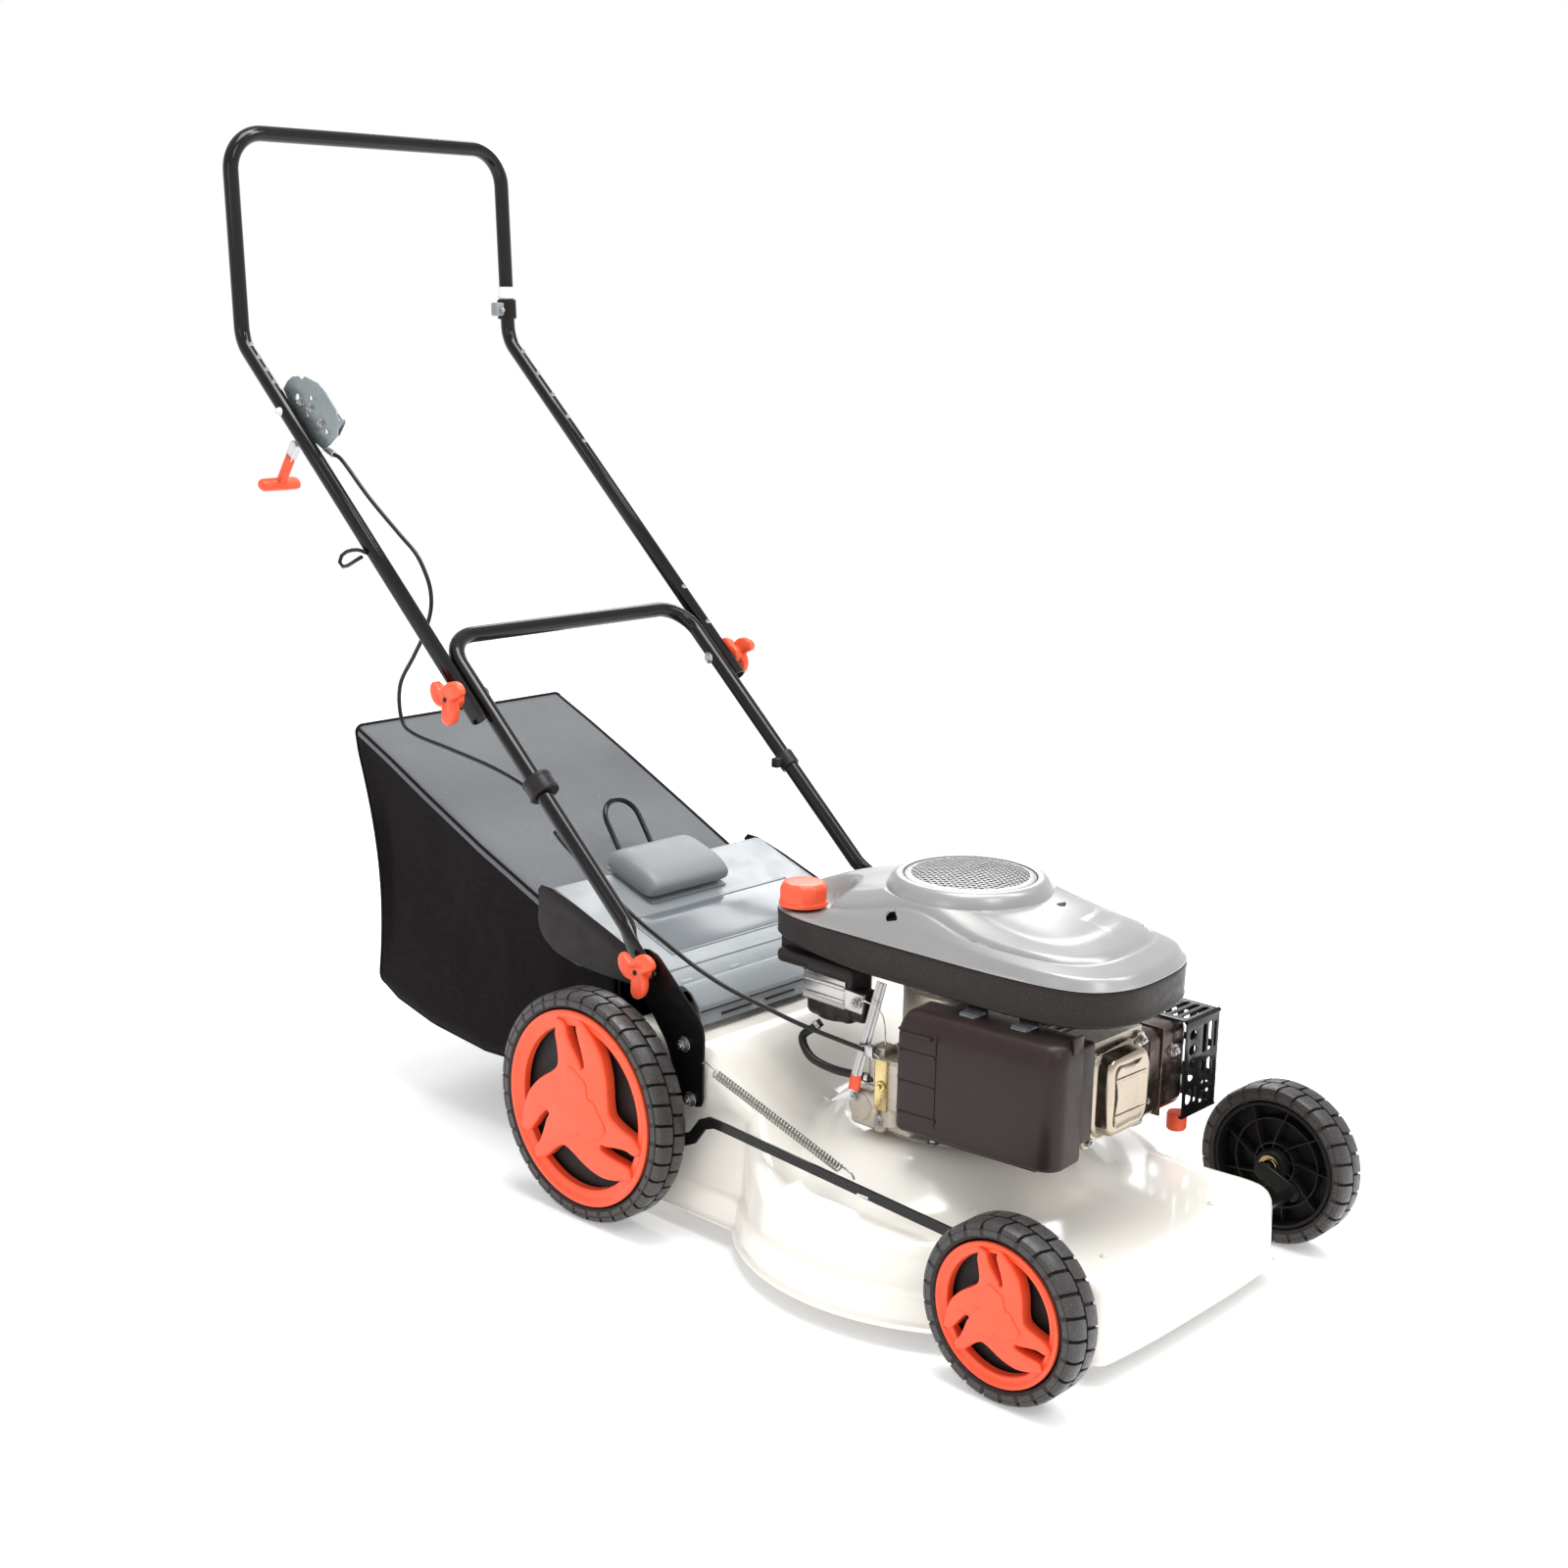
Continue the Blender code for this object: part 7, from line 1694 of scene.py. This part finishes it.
def lerp_station(y):
    for a, b in zip(STATIONS, STATIONS[1:]):
        if y <= b[0]:
            t = (y - a[0]) / (b[0] - a[0])
            return tuple(p + (q - p) * t for p, q in zip(a[1:], b[1:]))
    return STATIONS[-1][1:]


grid = []
rows_y = [0.0560 + (0.452 - 0.0560) * k / 60 for k in range(61)]
for y in rows_y:
    lo, hi, half = lerp_station(y)
    grid.append([Vector((x, y, z)) for x, z, _, _ in bag_ring(lo, hi, half)])
sides = [(s, t) for _, _, s, t in bag_ring(0.1, 0.4, 0.17)]
back_ring = []
for x, z, s, t in bag_ring(0.130, 0.465, 0.1695):
    u = (z - 0.130) / 0.335
    back_ring.append(Vector((x, 0.482 - 0.045 * math.sin(math.pi * min(1.0, u * 1.1)) * 0.35 + 0.036 * u * u, z)))
for k in range(1, 7):
    t = k / 6
    grid.append([a.lerp(b, t) for a, b in zip(grid[60], back_ring)])
centre = sum(back_ring, Vector()) / len(back_ring)
count_side = len(grid)
for k in range(1, 15):
    t = k / 15
    grid.append([p.lerp(Vector((centre.x + (p.x - centre.x) * 0.02, 0, centre.z + (p.z - centre.z) * 0.02)), 0) * 1.0 for p in back_ring])
    for i, p in enumerate(back_ring):
        q = Vector((centre.x + (p.x - centre.x) * (1 - t), 0, centre.z + (p.z - centre.z) * (1 - t)))
        u = (q.z - 0.130) / 0.335
        q.y = 0.482 - 0.045 * math.sin(math.pi * min(1.0, u * 1.1)) * 0.35 + 0.036 * u * u
        grid[-1][i] = q
# Slack: panels draw in between the seams, and soft folds run across them.
bm = bmesh.new()
made = []
for j, ring in enumerate(grid):
    row = []
    depth_t = min(1.0, j / 66)
    for i, p in enumerate(ring):
        s, t = sides[i]
        q = p.copy()
        if j < count_side - 1:
            hold = math.sin(math.pi * max(0.02, min(0.98, t))) if t < 1 else 0.0
            along_fade = ease(depth_t / 0.08) * ease((1.0 - depth_t) / 0.06)
            n1 = noise.noise(Vector((p.y * 9.0 + s * 7.3, p.z * 5.0, p.x * 5.0)))
            n2 = noise.noise(Vector((p.y * 24.0 + p.z * 30.0 + s * 3.1, p.z * 11.0 - p.y * 13.0, p.x * 12.0)))
            n3 = noise.noise(Vector((p.y * 60.0, p.z * 60.0, p.x * 60.0 + s)))
            fold = math.sin((p.y * 0.9 + p.z * 0.75) * 46.0 + 3.2 * n1) * 0.5 + 0.5
            amount = hold * along_fade * (0.0040 + 0.0060 * abs(n1)) + hold * along_fade * 0.0034 * fold * (0.4 + n2) + hold * 0.0007 * n3
            amount = max(0.0, amount)
            if s == 1:
                q.x -= amount * 1.15
            elif s == 3:
                q.x += amount * 1.15
            elif s == 2:
                q.z -= amount * 0.55
            else:
                q.z += amount * 0.5
        else:
            t_in = (j - count_side + 1) / 15
            n1 = noise.noise(Vector((p.x * 8.0, p.z * 8.0, 4.0)))
            n2 = noise.noise(Vector((p.x * 26.0, p.z * 20.0, 9.0)))
            q.y -= ease(t_in / 0.25) * (0.003 + 0.006 * abs(n1) + 0.002 * n2)
        row.append(bm.verts.new(q))
    made.append(row)
n = len(made[0])
for j in range(len(made) - 1):
    for i in range(n):
        k = (i + 1) % n
        f = bm.faces.new((made[j][i], made[j][k], made[j + 1][k], made[j + 1][i]))
        s, t = sides[i]
        f.material_index = 1 if (s == 2 and j < count_side) else 0
bm.faces.new(list(reversed(made[-1])))
bmesh.ops.recalc_face_normals(bm, faces=bm.faces)
which = [f.material_index for f in bm.faces]
bag = from_bm("bag_shell", bm, "cloth_side", 180, recalc=False)
# Second slot: the lighter top cloth, whose lightness is painted light on the top.
bag.data.materials.append(M["cloth_top_painted_light"])
for face, index in zip(bag.data.polygons, which):
    face.material_index = index
mod = bag.modifiers.new("cloth", "SOLIDIFY")
mod.thickness = 0.0012
mod.offset = -1
put(bag, "bag", "grass_bag", slot="bag_cloth")
# Bindings sewn over the seams, with a line of stitches beside them.
top_left = [i for i, (s, t) in enumerate(sides) if s == 2 and t == 1.0][4]
top_right = [i for i, (s, t) in enumerate(sides) if s == 1 and t == 1.0][4]
low_left = [i for i, (s, t) in enumerate(sides) if s == 3 and t == 1.0][4]
low_right = [i for i, (s, t) in enumerate(sides) if s == 0 and t == 1.0][4]
binds = []
for i in (top_left, top_right, low_left, low_right):
    pts_ = [grid[j][i] for j in range(0, count_side, 2)]
    mid = Vector((0, pts_[0].y, 0.28))
    binds.append(wire("bind", [p + (Vector((p.x, p.y, p.z)) - Vector((0, p.y, 0.26))).normalized() * -0.0006 for p in pts_], 0.0021, "binding", 8))
hem = [p for p in grid[count_side - 1]]
binds.append(wire("bind_back", hem, 0.0021, "binding", 8, cyclic=True))
mouth = [p + Vector((0, 0.0015, 0)) for p in grid[0]]
binds.append(wire("bind_mouth", mouth, 0.0024, "binding", 8, cyclic=True))
bind = join("bag_binding", binds)
for v in bind.data.vertices:
    v.co.x = max(-0.1712, min(0.1712, v.co.x))
put(bind, "bag", slot="bag_cloth")
# Stitches along the top seams, in the top cloth with its painted light.
bm = bmesh.new()
for i, off in ((top_left, 0.008), (top_right, 0.008)):
    pts_ = [grid[j][i] for j in range(0, count_side)]
    run = 0.0
    for a, b in zip(pts_, pts_[1:]):
        steps_ = max(1, int((b - a).length / 0.0038))
        for k in range(steps_):
            p = a.lerp(b, (k + 0.5) / steps_)
            c = p + Vector((-math.copysign(off, p.x), 0, 0.0001))
            d = (b - a).normalized() * 0.0012
            w = Vector((0.00035, 0, 0))
            vs = [bm.verts.new(c + o + Vector((0, 0, 0.0006))) for o in (-d - w, d - w, d + w, -d + w)]
            vs2 = [bm.verts.new(v.co - Vector((0, 0, 0.0008))) for v in vs]
            bm.faces.new(vs)
            for q in range(4):
                bm.faces.new((vs[q], vs[(q + 1) % 4], vs2[(q + 1) % 4], vs2[q]))
put(from_bm("bag_stitches", bm, "cloth_top_painted_light", 30), "bag", slot="bag_cloth")


# ------------------------------------------------------------------ finish
floor_data = bpy.data.meshes.new("floor")
floor_data.from_pydata([(-14, -14, 0), (14, -14, 0), (14, 14, 0), (-14, 14, 0)], [], [(0, 1, 2, 3)])
floor = bpy.data.objects.new("floor", floor_data)
scene.collection.objects.link(floor)
floor.location.z = -0.0006
fm = bpy.data.materials.new("pale_floor")
fm.use_nodes = True
fm.node_tree.nodes["Principled BSDF"].inputs["Base Color"].default_value = (0.93, 0.93, 0.93, 1)
fm.node_tree.nodes["Principled BSDF"].inputs["Roughness"].default_value = 0.8
fm.node_tree.nodes["Principled BSDF"].inputs["Emission Color"].default_value = (1, 1, 1, 1)
fm.node_tree.nodes["Principled BSDF"].inputs["Emission Strength"].default_value = 0.28
floor.data.materials.append(fm)
scene.view_settings.view_transform = "Standard"
bpy.context.view_layer.update()
